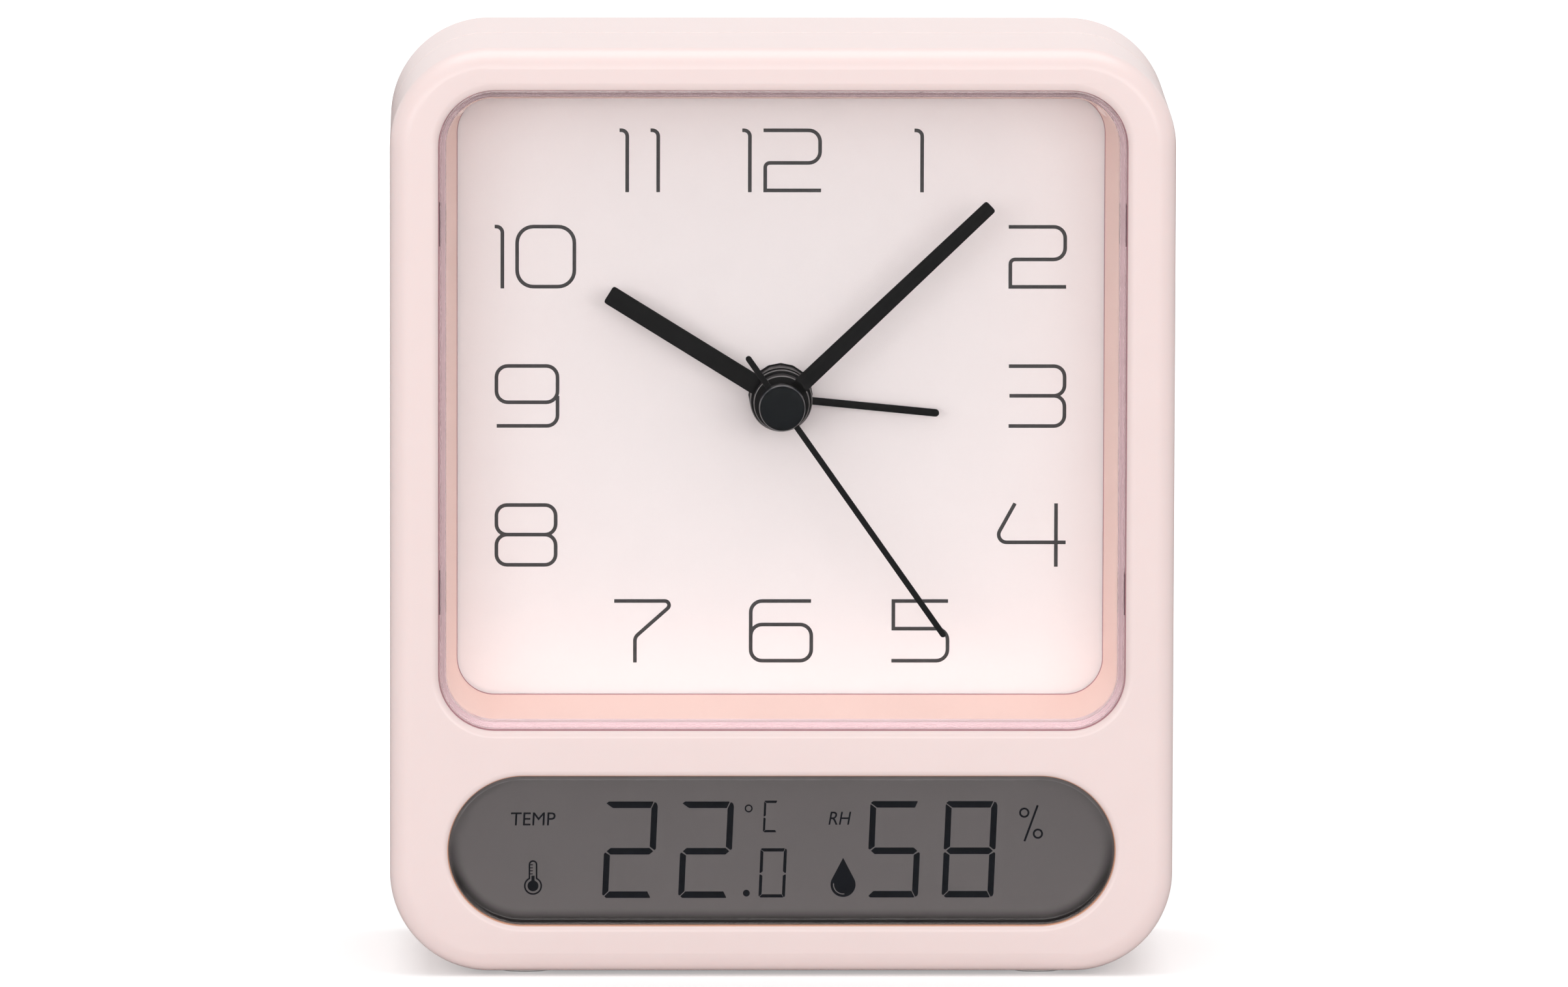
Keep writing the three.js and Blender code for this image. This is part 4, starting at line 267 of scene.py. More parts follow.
@dataclass(frozen=True)
class ClearMoulding:
    """Clear or smoked acrylic, through which light falls on what lies behind."""

    name: str
    tint: str
    shade: str
    roughness: float = 0.02
    ior: float = 1.49
    ripple_mm: float = 25.0
    ripple_height_mm: float = 0.02
    ripple_share: float = 0.04

    def material(self) -> Material:
        """Build the material.

        Returns:
            The material, made once for each name.
        """
        if self.name in bpy.data.materials:
            return bpy.data.materials[self.name]
        material, tree, shader, output = fresh_material(self.name)
        place = add_node(tree, "ShaderNodeTexCoord")
        ripple = add_node(tree, "ShaderNodeTexNoise",
                          {"Scale": 1.0 / (self.ripple_mm * MM), "Detail": 1.0},
                          {"Vector": place.outputs["Object"]})
        relief = add_node(tree, "ShaderNodeBump",
                          {"Strength": self.ripple_share, "Distance": self.ripple_height_mm * MM},
                          {"Height": ripple.outputs["Fac"]})
        shader.inputs["Base Color"].default_value = linear(self.tint)
        shader.inputs["Roughness"].default_value = self.roughness
        shader.inputs["IOR"].default_value = self.ior
        shader.inputs["Transmission Weight"].default_value = 1.0
        tree.links.new(relief.outputs["Normal"], shader.inputs["Normal"])
        path = add_node(tree, "ShaderNodeLightPath")
        open_path = add_node(tree, "ShaderNodeBsdfTransparent", {"Color": linear(self.shade)})
        mixed = add_node(tree, "ShaderNodeMixShader", {},
                         {0: path.outputs["Is Shadow Ray"], 1: shader.outputs["BSDF"],
                          2: open_path.outputs["BSDF"]})
        tree.links.new(mixed.outputs["Shader"], output.inputs["Surface"])
        return material


Surface = Union[Finish, ClearMoulding]

# Injection-moulded ABS: a satin skin with a fine spark texture and a soft glow in its depth
PINK_ABS = Finish("moulded_abs_pale_pink", "#F5E0DD", 0.33, grain_mm=0.18, tone=0.012, gloss=0.05,
                  relief_mm=0.003, ior=1.53, subsurface=0.12)
# The same ABS at a thin moulded edge: painted light, deeper and warmer, for the light that passes through
# it and comes out
EDGE_GLOW_ABS = Finish("painted_glow_on_thin_abs_edge", "#F2B596", 0.4, grain_mm=0.18, tone=0.02,
                  relief_mm=0.003, ior=1.53)
# Painted shade: a dusky rose on the pink ABS where a narrow gap loses the light between its walls, at the
# lens's edge and at the dial's edge
GAP_SHADE_ABS = Finish("painted_shade_in_a_gap_of_abs", "#B98089", 0.6, grain_mm=0.18, tone=0.03, ior=1.53)
# The ledge under the lens: pink ABS with painted shade, darker because its light comes only through the
# lens's skirt
SEAT_SHADE_ABS = Finish("painted_shade_on_abs_under_the_lens", "#E9C9CE", 0.5, grain_mm=0.18, tone=0.02, ior=1.53)
# The well's thin wall: painted light, a warmer pink that stands for the light which also comes through it
WELL_GLOW_ABS = Finish("painted_glow_on_thin_abs_wall", "#FEDDD3", 0.42, grain_mm=0.18, tone=0.015, ior=1.53)
# Painted shade: the dark inside of a catch slot, where little light comes
SLOT_SHADE_ABS = Finish("painted_shade_in_a_catch_slot", "#7A5D64", 0.6, grain_mm=0.18, tone=0.03, ior=1.53)
# Silk-screened dial card: matt, almost white, with the faint tooth of sprayed lacquer
DIAL_LACQUER = Finish("sprayed_dial_lacquer", "#EFE9E9", 0.62, grain_mm=0.12, tone=0.008,
                      gloss=0.04, relief_mm=0.002)
# Screen-printing ink: dark, matt, and a few hundredths of a millimetre proud
DIAL_INK = Finish("screen_printed_ink", "#262324", 0.55, grain_mm=0.08, tone=0.06, relief_mm=0.002)
# Stamped aluminium under black lacquer: it keeps a trace of the rolled grain
BLACK_LACQUER = Finish("black_lacquered_aluminium", "#0A0A0B", 0.5, grain_mm=0.09, tone=0.12,
                       gloss=0.1, relief_mm=0.003, ior=1.15, stretch=(1.0, 1.0, 0.25))
# Moulded cap: dark ABS with a satin skin and light scuffs
CAP_ABS = Finish("moulded_cap_abs", "#0F1316", 0.42, grain_mm=0.2, tone=0.1, gloss=0.08, ior=1.12)
# The turned edge of the lacquered hubs: a painted highlight, a thin grey line where the edge catches the
# light
HUB_EDGE_HIGHLIGHT = Finish("painted_highlight_on_hub_edge", "#5E5B5B", 0.35, grain_mm=0.1, tone=0.05)
# The cap's round rim: a painted highlight, paler than its face
CAP_RIM_HIGHLIGHT = Finish("painted_highlight_on_cap_rim", "#3E4246", 0.3, grain_mm=0.1, tone=0.05)
# Black ABS inside the clock: unpolished, slightly grey
BLACK_ABS = Finish("moulded_black_abs", "#1E1E20", 0.5, grain_mm=0.25, tone=0.08, gloss=0.08)
# Acetal wheels and knobs: milky white and slippery
WHITE_ACETAL = Finish("moulded_white_acetal", "#EDEBE5", 0.42, grain_mm=0.25, tone=0.015,
                      ior=1.48, subsurface=0.15)
# Stamped brass: fine turning marks
TURNED_BRASS = Finish("turned_brass", "#D8B566", 0.28, grain_mm=0.15, tone=0.08, metallic=1.0,
                      stretch=(1.0, 0.3, 1.0))
# Zinc-plated steel: bright, with a soft crystal mottle
ZINC_STEEL = Finish("zinc_plated_steel", "#C9CCCF", 0.3, grain_mm=0.35, tone=0.1, gloss=0.12,
                    metallic=1.0)
# Electrical steel of the stator: dull and oiled
STATOR_STEEL = Finish("electrical_steel", "#9A9D9F", 0.4, grain_mm=0.2, tone=0.12, metallic=1.0)
# Enamelled copper wire, wound in even turns across the coil
COPPER_WIRE = Finish("enamelled_copper_winding", "#B4642F", 0.3, grain_mm=0.12, tone=0.2,
                     metallic=1.0, relief_mm=0.02, stretch=(1.0, 0.05, 0.05))
# Sintered ferrite magnet: charcoal grey and porous
FERRITE = Finish("sintered_ferrite", "#3A3B3D", 0.62, grain_mm=0.15, tone=0.2, relief_mm=0.01)
# Green solder mask over glass fibre: glossy film over a faint weave
SOLDER_MASK = Finish("green_solder_mask", "#1F5A36", 0.4, grain_mm=0.4, tone=0.18, coat=0.4)
# Layered conductive elastomer strip
ELASTOMER = Finish("layered_elastomer", "#D8A0A0", 0.7, grain_mm=0.1, tone=0.25,
                   stretch=(1.0, 0.05, 0.05))
# Foot rubber: soft, dull and slightly dusty
FOOT_RUBBER = Finish("foot_rubber", "#E4D6D1", 0.78, grain_mm=0.2, tone=0.06, relief_mm=0.01, ior=1.52)
# Printed film over the steel can of a cell
CELL_FILM = Finish("shrink_film_over_steel", "#34353A", 0.32, grain_mm=0.5, tone=0.06, coat=0.5)
# Reflective polariser behind the display glass: neutral grey with a silky grain, and painted shade along
# its lower edge and at both ends
POLARISER = EdgeShadedFinish("reflective_polariser", "#A0A1A3", 0.5, grain_mm=0.05, tone=0.02,
                         gloss=0.05, relief_mm=0.001)
# Dark liquid crystal segments
DARK_SEGMENT = Finish("liquid_crystal_segment", "#161F2A", 0.5, grain_mm=0.1, tone=0.05,
                      relief_mm=0.001, ior=1.2)
# Grey printing ink that marks the controls on the rear
GREY_INK = Finish("pad_printed_grey_ink", "#8C8184", 0.55, grain_mm=0.08, tone=0.05, relief_mm=0.002)
# Moulded clear acrylic: colourless, with polished faces
CLEAR_ACRYLIC = ClearMoulding("polished_clear_acrylic", "#FFFEFE", "#F6F5F5", ior=1.33)
# Smoked acrylic of the display window
SMOKED_ACRYLIC = ClearMoulding("smoked_acrylic", "#D3CECD", "#C9C5C4", roughness=0.03, ior=1.35)


def outline(width: float, height: float, radius: float, steps: int, x: float = 0.0,
            z: float = 0.0) -> list[Flat]:
    """Draw a rounded rectangle in the plane of the dial.

    Args:
        width: Its width.
        height: Its height.
        radius: Its corner radius.
        steps: Steps in each corner.
        x: The middle, across.
        z: The middle, up.

    Returns:
        Its points, anticlockwise as seen from the rear.
    """
    radius = max(min(radius, width / 2 - 1e-3, height / 2 - 1e-3), 1e-3)
    points = []
    for quarter, (sx, sz) in enumerate(((1, 1), (-1, 1), (-1, -1), (1, -1))):
        for step in range(steps + 1):
            angle = (quarter + step / steps) * pi / 2
            points.append((x + sx * (width / 2 - radius) + radius * cos(angle),
                           z + sz * (height / 2 - radius) + radius * sin(angle)))
    return points


def circle(radius: float, sides: int, x: float = 0.0, z: float = 0.0) -> list[Flat]:
    """Draw a circle in the plane of the dial, with so many points about its centre."""
    return arc(radius, 0.0, TAU, sides, x, z)[:-1]


def arc(radius: float, first: float, last: float, steps: int, x: float = 0.0,
        z: float = 0.0) -> list[Flat]:
    """Draw a part of a circle with both its ends, by angles from the right and upwards."""
    angles = [first + (last - first) * k / steps for k in range(steps + 1)]
    return [(x + radius * cos(angle), z + radius * sin(angle)) for angle in angles]


def at_depth(points: Sequence[Flat], y: float) -> list[Solid]:
    """Lift flat points to a depth."""
    return [(x, y, z) for x, z in points]


@dataclass(frozen=True)
class Panel:
    """A rounded rectangle about a middle, from which smaller and larger ones are drawn."""

    width: float
    height: float
    radius: float
    x: float = 0.0
    z: float = 0.0
    steps: int = 16

    def ring(self, inset: float, y: float) -> list[Solid]:
        """Draw the rectangle at a depth, with each side moved in by the inset."""
        points = outline(self.width - 2 * inset, self.height - 2 * inset, self.radius - inset,
                         self.steps, self.x, self.z)
        return at_depth(points, y)

    def rounding(self, radius: float, y: float, inward: int, steps: int = 8) -> list[list[Solid]]:
        """Draw the rings of a quarter-round edge that starts on a face.

        Args:
            radius: The edge's radius; a negative one flares a mouth.
            y: The depth of the face.
            inward: The direction from the face into the body along Y.
            steps: Steps in the quarter.

        Returns:
            The rings, from the face on.
        """
        rings = []
        for step in range(steps + 1):
            angle = step / steps * pi / 2
            rings.append(self.ring(radius * (1 - sin(angle)),
                                   y + inward * abs(radius) * (1 - cos(angle))))
        return rings


class Moulding:
    """Gathers walls, faces and turned forms in millimetres, and makes one piece of them."""

    def __init__(self, name: str) -> None:
        """Start an empty piece.

        Args:
            name: Its name.
        """
        self.name = name
        self.mesh = bmesh.new()
        self.placing = Matrix.Identity(4)

    def vertices(self, ring: Sequence[Solid]) -> Row:
        """Add points, and return their vertices."""
        return [self.mesh.verts.new(self.placing @ Vector(point) * MM) for point in ring]

    def wall(self, rings: Sequence[Sequence[Solid]], loop: bool = True, finish: int = 0,
             back_to_first: bool = False) -> None:
        """Join rings of equal counts by strips of faces.

        Args:
            rings: The rings, in order.
            loop: Whether each ring closes on itself.
            finish: The faces' material index.
            back_to_first: Whether the last ring joins the first one.
        """
        rows = [self.vertices(ring) for ring in rings]
        pairs = list(zip(rows, rows[1:]))
        if back_to_first:
            pairs.append((rows[-1], rows[0]))
        for low, high in pairs:
            count = len(low)
            for k in range(count if loop else count - 1):
                after = (k + 1) % count
                face = self.mesh.faces.new((low[k], low[after], high[after], high[k]))
                face.material_index = finish

    def sheet(self, ring: Sequence[Solid], holes: Sequence[Sequence[Solid]] = (),
              finish: int = 0) -> None:
        """Fill a flat ring around its holes.

        Args:
            ring: The outer ring.
            holes: The inner rings.
            finish: The faces' material index.
        """
        loops = [list(ring), *[list(hole) for hole in holes]]
        corners = self.vertices([point for points in loops for point in points])
        flats = [[Vector((x, z, 0.0)) for x, _, z in points] for points in loops]
        if max(y for _, y, _ in ring) - min(y for _, y, _ in ring) > 1e-6:
            flats = [[Vector(point) for point in points] for points in loops]
        for triangle in tessellate_polygon(flats):
            if len(set(triangle)) == 3:
                face = self.mesh.faces.new([corners[k] for k in triangle])
                face.material_index = finish

    def turned(self, profile: Sequence[Flat], x: float = 0.0, z: float = 0.0, sides: int = 64,
               finish: int = 0) -> None:
        """Turn a profile about a line along Y.

        Args:
            profile: Points of radius and depth; a zero radius closes the form.
            x: The line's place, across.
            z: The line's place, up.
            sides: Steps around.
            finish: The faces' material index.
        """
        previous: Optional[Row] = None
        for radius, y in profile:
            if radius <= 1e-6:
                row = self.vertices([(x, y, z)])
            else:
                row = self.vertices(at_depth(circle(radius, sides, x, z), y))
            if previous is not None:
                self._join_rows(previous, row, sides, finish)
            previous = row

    def _join_rows(self, low: Row, high: Row, sides: int, finish: int) -> None:
        """Join two rows of a turned form, where either may be a point.

        Args:
            low: The first row.
            high: The second row.
            sides: Steps around.
            finish: The faces' material index.
        """
        if len(low) == 1 and len(high) == 1:
            return
        for k in range(sides):
            after = (k + 1) % sides
            if len(low) == 1:
                corners = (low[0], high[k], high[after])
            elif len(high) == 1:
                corners = (low[k], low[after], high[0])
            else:
                corners = (low[k], low[after], high[after], high[k])
            self.mesh.faces.new(corners).material_index = finish

    def slab(self, points: Sequence[Flat], front: float, rear: float, edge: float = 0.0,
             finish: int = 0) -> None:
        """Make a flat plate with a broken front edge.

        Args:
            points: Its outline.
            front: The depth of its front face.
            rear: The depth of its rear face.
            edge: How far the front edge is broken.
            finish: The faces' material index.
        """
        inner = shrunk(points, edge) if edge > 0.0 else list(points)
        rings = [at_depth(inner, front)]
        if edge > 0.0:
            rings.append(at_depth(shrunk(points, edge * 0.3), front + edge * 0.3))
            rings.append(at_depth(points, front + edge))
        rings.append(at_depth(points, rear))
        self.sheet(rings[0], finish=finish)
        self.wall(rings, finish=finish)
        self.sheet(rings[-1], finish=finish)

    def extrude_flat(self, shape: Sketch, place: Callable[[Flat], Flat], front: float,
                     rear: float, finish: int = 0) -> None:
        """Make a plate of a flat triangulated shape.

        Args:
            shape: The shape's points and faces.
            place: Moves a point of the shape to its place.
            front: The depth of one face.
            rear: The depth of the other face.
            finish: The faces' material index.
        """
        flats = [place(point) for point in shape["points"]]
        near, far = self.vertices(at_depth(flats, front)), self.vertices(at_depth(flats, rear))
        borders: Counter[tuple[int, ...]] = Counter()
        for corners in shape["faces"]:
            for row in (near, far):
                self.mesh.faces.new([row[k] for k in corners]).material_index = finish
            for k, corner in enumerate(corners):
                borders[tuple(sorted((corner, corners[(k + 1) % len(corners)])))] += 1
        for (a, b), uses in borders.items():
            if uses == 1:
                self.mesh.faces.new((near[a], near[b], far[b], far[a])).material_index = finish

    def weld(self) -> None:
        """Join the points that meet, and turn all the faces outwards."""
        bmesh.ops.remove_doubles(self.mesh, verts=self.mesh.verts, dist=1e-7)
        bmesh.ops.dissolve_degenerate(self.mesh, dist=1e-8, edges=self.mesh.edges)
        bmesh.ops.recalc_face_normals(self.mesh, faces=self.mesh.faces)

    def linked(self, finishes: Sequence[Material]) -> Object:
        """Put the mesh into the scene.

        Args:
            finishes: Its materials.

        Returns:
            Its object.
        """
        data = bpy.data.meshes.new(self.name)
        self.mesh.to_mesh(data)
        self.mesh.free()
        obj = bpy.data.objects.new(self.name, data)
        bpy.context.scene.collection.objects.link(obj)
        for material in finishes:
            data.materials.append(material)
        return obj

    def piece(self, body: str, finishes: Sequence[Surface], slot: str,
              replaces: Sequence[str] = (), sharp: float = 32.0) -> Object:
        """Close the mesh, smooth it, and hang it on a body.

        Args:
            body: The CAD body that it rides on.
            finishes: Its finishes, in the order of their index.
            slot: A material slot's name; not used.
            replaces: The CAD nodes that it stands for.
            sharp: The least angle of a hard edge, in degrees.

        Returns:
            The piece.
        """
        self.weld()
        for face in self.mesh.faces:
            face.smooth = True
        for edge in self.mesh.edges:
            if len(edge.link_faces) == 2:
                edge.smooth = edge.calc_face_angle(0.0) < radians(sharp)
        obj = self.linked([finish.material() for finish in finishes])
        weighted = obj.modifiers.new("even_shading", "WEIGHTED_NORMAL")
        weighted.keep_sharp = True
        weighted.weight = 80
        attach(obj, body)
        if replaces:
            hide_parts(*replaces)
        LOG.info("piece %s on %s: %d faces", self.name, body, len(obj.data.polygons))
        return obj


def shrunk(points: Sequence[Flat], amount: float) -> list[Flat]:
    """Draw an outline in by an amount, with mitred corners.

    Args:
        points: The outline, in either direction.
        amount: How far it moves in.

    Returns:
        The smaller outline, with as many points.
    """
    count = len(points)
    area = sum(points[k][0] * points[(k + 1) % count][1] - points[(k + 1) % count][0] * points[k][1]
               for k in range(count))
    turn = 1.0 if area > 0 else -1.0
    result = []
    for k in range(count):
        before, here, after = (Vector(points[k - 1]), Vector(points[k]),
                               Vector(points[(k + 1) % count]))
        first = (here - before).normalized() if (here - before).length > 1e-9 else Vector((1, 0))
        second = (after - here).normalized() if (after - here).length > 1e-9 else first
        normal = Vector((-(first.y + second.y), first.x + second.x)) * turn
        if normal.length < 1e-6:
            normal = Vector((-first.y, first.x)) * turn
        normal.normalize()
        spread = max(normal.dot(Vector((-first.y, first.x)) * turn), 0.3)
        moved = here + normal * (amount / spread)
        result.append((moved.x, moved.y))
    return result


@dataclass(frozen=True)
class Stroke:
    """A line of even width: its corners, and the radius at each inner one."""

    points: tuple[Flat, ...]
    radii: tuple[float, ...] = ()
    closed: bool = False

    def centre_line(self, steps: int = 8) -> list[Flat]:
        """Round the inner corners.

        Args:
            steps: Steps in each rounded corner.

        Returns:
            The points of the line's middle.
        """
        corners = [Vector(point) for point in self.points]
        count = len(corners)
        line: list[Flat] = []
        for k, corner in enumerate(corners):
            inner = self.closed or 0 < k < count - 1
            radius = 0.0
            if inner and self.radii:
                radius = self.radii[k % len(self.radii)] if self.closed else self.radii[k - 1]
            if not inner or radius <= 0.0:
                line.append((corner.x, corner.y))
                continue
            to_before = (corners[k - 1] - corner).normalized()
            to_after = (corners[(k + 1) % count] - corner).normalized()
            half = acos(max(-1.0, min(1.0, to_before.dot(to_after)))) / 2
            reach = radius / tan(half)
            middle = corner + (to_before + to_after).normalized() * (radius / sin(half))
            start, end = corner + to_before * reach, corner + to_after * reach
            first, last = start - middle, end - middle
            sweep = atan2(first.x * last.y - first.y * last.x, first.dot(last))
            for step in range(steps + 1):
                angle = sweep * step / steps
                turned = Matrix.Rotation(angle, 2) @ first
                line.append((middle.x + turned.x, middle.y + turned.y))
        return line

    def sides(self, width: float) -> tuple[list[Flat], list[Flat]]:
        """Offset the line to both sides.

        Args:
            width: The line's width.

        Returns:
            The left and the right side.
        """
        line = self.centre_line()
        count = len(line)
        left, right = [], []
        for k, (x, z) in enumerate(line):
            here = Vector((x, z))
            first = (here - Vector(line[k - 1])).normalized()
            second = (Vector(line[(k + 1) % count]) - here).normalized()
            if not self.closed:
                first = second if k == 0 else first
                second = first if k == count - 1 else second
            normal = Vector((-(first.y + second.y), first.x + second.x)).normalized()
            spread = max(normal.dot(Vector((-first.y, first.x))), 0.35)
            shift = normal * (width / 2 / spread)
            left.append((x + shift.x, z + shift.y))
            right.append((x - shift.x, z - shift.y))
        return left, right

    def lay(self, moulding: Moulding, width: float, place: Callable[[Flat], Flat], front: float,
            rear: float, finish: int = 0) -> None:
        """Lay the line down as a flat ribbon.

        Args:
            moulding: The mesh that gets it.
            width: The line's width.
            place: Moves a point of the sign to its place.
            front: The depth of its front face.
            rear: The depth of its rear face.
            finish: The faces' material index.
        """
        left, right = self.sides(width)
        left, right = [place(p) for p in left], [place(p) for p in right]
        rows = [at_depth(left, front), at_depth(right, front), at_depth(right, rear),
                at_depth(left, rear)]
        moulding.wall(rows, loop=self.closed, finish=finish, back_to_first=True)
        if not self.closed:
            for end in (0, -1):
                corners = moulding.vertices([row[end] for row in rows])
                moulding.mesh.faces.new(corners).material_index = finish


def span(node: str) -> tuple[Vector, Vector]:
    """Give a node's lowest and highest corners in millimetres."""
    low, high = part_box(node)
    return low / MM, high / MM


def middle_of(node: str) -> Vector:
    """Give the middle of a node's box in millimetres."""
    low, high = span(node)
    return (low + high) / 2


@dataclass
class SubAssembly:
    """A named group of pieces."""

    title: str = "part"
    pieces: list[Object] = field(default_factory=list)

    @property
    def node(self) -> str:
        """Name the model's node for a part that is called as it is."""
        return self.title.replace(" ", "_")

    def add(self, piece: Object) -> None:
        """Keep a finished piece."""
        self.pieces.append(piece)

    def build(self) -> None:
        """Make the meshes."""

    def dress(self) -> None:
        """Give the carried-over nodes their materials."""

    def coat(self, finish: Finish, *nodes: str) -> None:
        """Give CAD nodes a material.

        Args:
            finish: The finish.
            nodes: The nodes' names.
        """
        for name in nodes:
            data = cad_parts[name].data
            data.materials.clear()
            data.materials.append(finish.material())

    def report(self) -> None:
        """Write the group's pieces to the log."""
        LOG.info("%s: %s", self.title, ", ".join(piece.name for piece in self.pieces) or "nodes")


@dataclass
class Housing:
    """The outline that both halves of the case share."""

    corner: float = 14.0
    wall: float = 2.2
    seam_chamfer: float = 0.3
    front_fillet: float = 2.8
    rear_fillet: float = 2.5
    post_inset: float = 8.4

    def __post_init__(self) -> None:
        """Read the outer sizes from the model."""
        low, high = span("front_case")
        rear_high = span("rear_case")[1]
        self.width = high.x - low.x
        self.bottom, self.top = low.z, high.z
        self.front, self.rear, self.seam = low.y, rear_high.y, high.y
        self.panel = Panel(self.width, self.top - self.bottom, self.corner,
                           z=(self.top + self.bottom) / 2, steps=24)

    def posts(self) -> list[Flat]:
        """Place the four screw posts.

        Returns:
            Their middles.
        """
        x = self.width / 2 - self.post_inset
        z = (self.top - self.bottom) / 2 - self.post_inset
        middle = (self.top + self.bottom) / 2
        return [(sx * x, middle + sz * z) for sx, sz in ((1, 1), (-1, 1), (-1, -1), (1, -1))]


class Skin(IntEnum):
    """The surfaces of the front moulding, by their place in its list of finishes; all but the outside
    carry painted light or shade.
    """

    OUTSIDE = 0
    EDGE_GLOW = 1
    GAP_SHADE = 2
    SEAT_SHADE = 3
    WELL_GLOW = 4


@dataclass
class FrontCase(SubAssembly):
    """The front moulding, with the well behind the lens and the mouth of the display."""

    title: str = "front case"
    housing: Housing = field(default_factory=Housing)
    lens_gap: float = 0.15
    mouth: float = 96.2
    lens_corner: float = 7.8
    lip: float = 1.2
    skirt: float = 0.85
    ledge_gap: float = 0.15
    taper: float = 1.6
    # Width of the line of painted shade at the well's foot, next to the dial
    foot_line: float = 0.3
    foot_step: float = 0.1
    well_wall: float = 1.4
    seat_gap: float = 0.3
    display_lip: float = 0.9
    display_flange: float = 1.3
    slot_half: float = 2.85
    slot_offset: float = 26.0
    slot_bite: float = 0.02
    slot_shade_depth: float = 0.12
    slot_gaps: Flat = (0.1, 0.2)
    post: float = 2.6
    post_length: float = 9.5
    post_gap: float = 0.3
    pilot: float = 1.1
    pilot_depth: float = 7.9

    def build(self) -> None:
        """Make the front moulding."""
        case = self.housing
        low, high = span("lens")
        glass_low, glass_high = span("lcd_window")
        dial_front = span("dial_plate")[0].y
        middle = (low.z + high.z) / 2
        height = high.z - low.z + 2 * self.lens_gap
        self.opening = Panel(self.mouth, height, self.lens_corner, z=middle, steps=16)
        flange = self.display_flange
        tall = glass_high.z - glass_low.z - 2 * flange
        self.display = Panel(glass_high.x - glass_low.x - 2 * flange, tall, tall / 2,
                             z=(glass_low.z + glass_high.z) / 2, steps=32)
        ledge = high.y + self.ledge_gap
        foot = dial_front - self.seat_gap
        inner_face = case.front + case.wall
        part = Moulding("front_shell")
        front_rings = case.panel.rounding(case.front_fillet, case.front, 1)
        mouth = self.opening.rounding(-self.lip, case.front, 1, 10)
        display_mouth = self.display.rounding(-self.display_lip, case.front, 1, 8)
        part.sheet(front_rings[0], [mouth[0], display_mouth[0]])
        part.wall([*front_rings, case.panel.ring(0, case.seam - case.seam_chamfer),
                   case.panel.ring(case.seam_chamfer, case.seam),
                   case.panel.ring(case.wall, case.seam),
                   case.panel.ring(case.wall, inner_face)])
        ring, wall, deep = self.opening.ring, self.well_wall, self.skirt + self.taper
        part.wall(mouth[:-3])
        # The inner end of the lens's mouth takes painted shade for the gap beside the lens
        part.wall(mouth[-4:], finish=Skin.GAP_SHADE)
        # The ledge under the lens takes painted shade
        part.wall([mouth[-1], ring(0, ledge), ring(self.skirt, ledge)], finish=Skin.SEAT_SHADE)
        # The well's wall takes painted light, a warmer pink
        part.wall([ring(self.skirt, ledge), ring(deep, foot - self.foot_line)], finish=Skin.WELL_GLOW)
        # The last stretch of the well's wall before the dial takes a thin line of painted shade
        part.wall([ring(deep, foot - self.foot_line), ring(deep + self.foot_step, foot)],
                  finish=Skin.GAP_SHADE)
        part.wall([ring(deep + self.foot_step, foot), ring(deep - wall, foot),
                   ring(self.skirt - wall, ledge + wall), ring(-wall, ledge + wall),
                   ring(-wall, inner_face)])
        part.wall(display_mouth[:-3])
        # The inner end of the display's mouth takes painted light, a warm glow along its edge
        part.wall([*display_mouth[-4:], self.display.ring(0, inner_face)], finish=Skin.EDGE_GLOW)
        part.sheet(case.panel.ring(case.wall, inner_face),
                   [ring(-wall, inner_face), self.display.ring(0, inner_face)])
        start, end = case.seam - self.post_gap, case.seam - self.post_length
        pilot_end = case.seam - self.pilot_depth
        for x, z in case.posts():
            part.turned([(self.pilot, start), (self.post, start), (self.post, end), (0, end)], x, z, 32)
            part.turned([(self.pilot, start), (self.pilot, pilot_end), (0, pilot_end)], x, z, 32)
        self.add(part.piece("housing", [PINK_ABS, EDGE_GLOW_ABS, GAP_SHADE_ABS, SEAT_SHADE_ABS, WELL_GLOW_ABS],
                            "case_plastic", ["front_case"]))
        self.add(self.catch_slot_shades(ledge))

    def catch_slot_shades(self, ledge: float) -> Object:
        """Make thin dark plates of painted shade where the lens's four catches snap into slots.

        Args:
            ledge: The depth of the ledge that the lens rests on.

        Returns:
            The plates of painted shade.
        """
        part = Moulding("catch_slot_shades")
        edge = self.opening.width / 2 - self.slot_bite
        below, above = self.slot_gaps
        for side in Side:
            x0, x1 = sorted((side.value * (edge - self.slot_shade_depth),
                             side.value * (edge + self.slot_bite)))
            for end in (-1, 1):
                z = self.opening.z + end * self.slot_offset
                low, high = z - self.slot_half, z + self.slot_half
                # A dark plate of painted shade on the opening's wall stands for the slot
                part.slab([(x0, low), (x1, low), (x1, high), (x0, high)],
                          self.housing.front + self.lip + below, ledge - above)
        return part.piece("housing", [SLOT_SHADE_ABS], "case_plastic")


@dataclass(frozen=True)
class Pocket:
    """A recess in the rear face, with its floor and the wall behind it."""

    panel: Panel
    floor: float
    mouth: float = 0.25
    wall: float = 1.5
    holes: tuple[tuple[Flat, ...], ...] = ()
    bevelled: bool = False

    def cut(self, part: Moulding, rear: float, inner: float) -> Mouths:
        """Make the recess.

        Args:
            part: The mesh to add to.
            rear: The rear face's depth.
            inner: The inner face's depth.

        Returns:
            The rings that the recess needs in the rear face and in the inner face.
        """
        panel, back = self.panel, self.floor - self.wall
        lead = panel.rounding(-self.mouth, rear, -1, 4)
        if self.bevelled:
            lead = [panel.ring(-self.mouth, rear), panel.ring(0, rear - self.mouth)]
        part.wall([*lead, panel.ring(0, self.floor)])
        part.sheet(panel.ring(0, self.floor), [at_depth(hole, self.floor) for hole in self.holes])
        part.wall([panel.ring(-self.wall, inner), panel.ring(-self.wall, back)])
        part.sheet(panel.ring(-self.wall, back), [at_depth(hole, back) for hole in self.holes])
        for hole in self.holes:
            part.wall([at_depth(hole, self.floor), at_depth(hole, back)])
        return lead[0], panel.ring(-self.wall, inner)


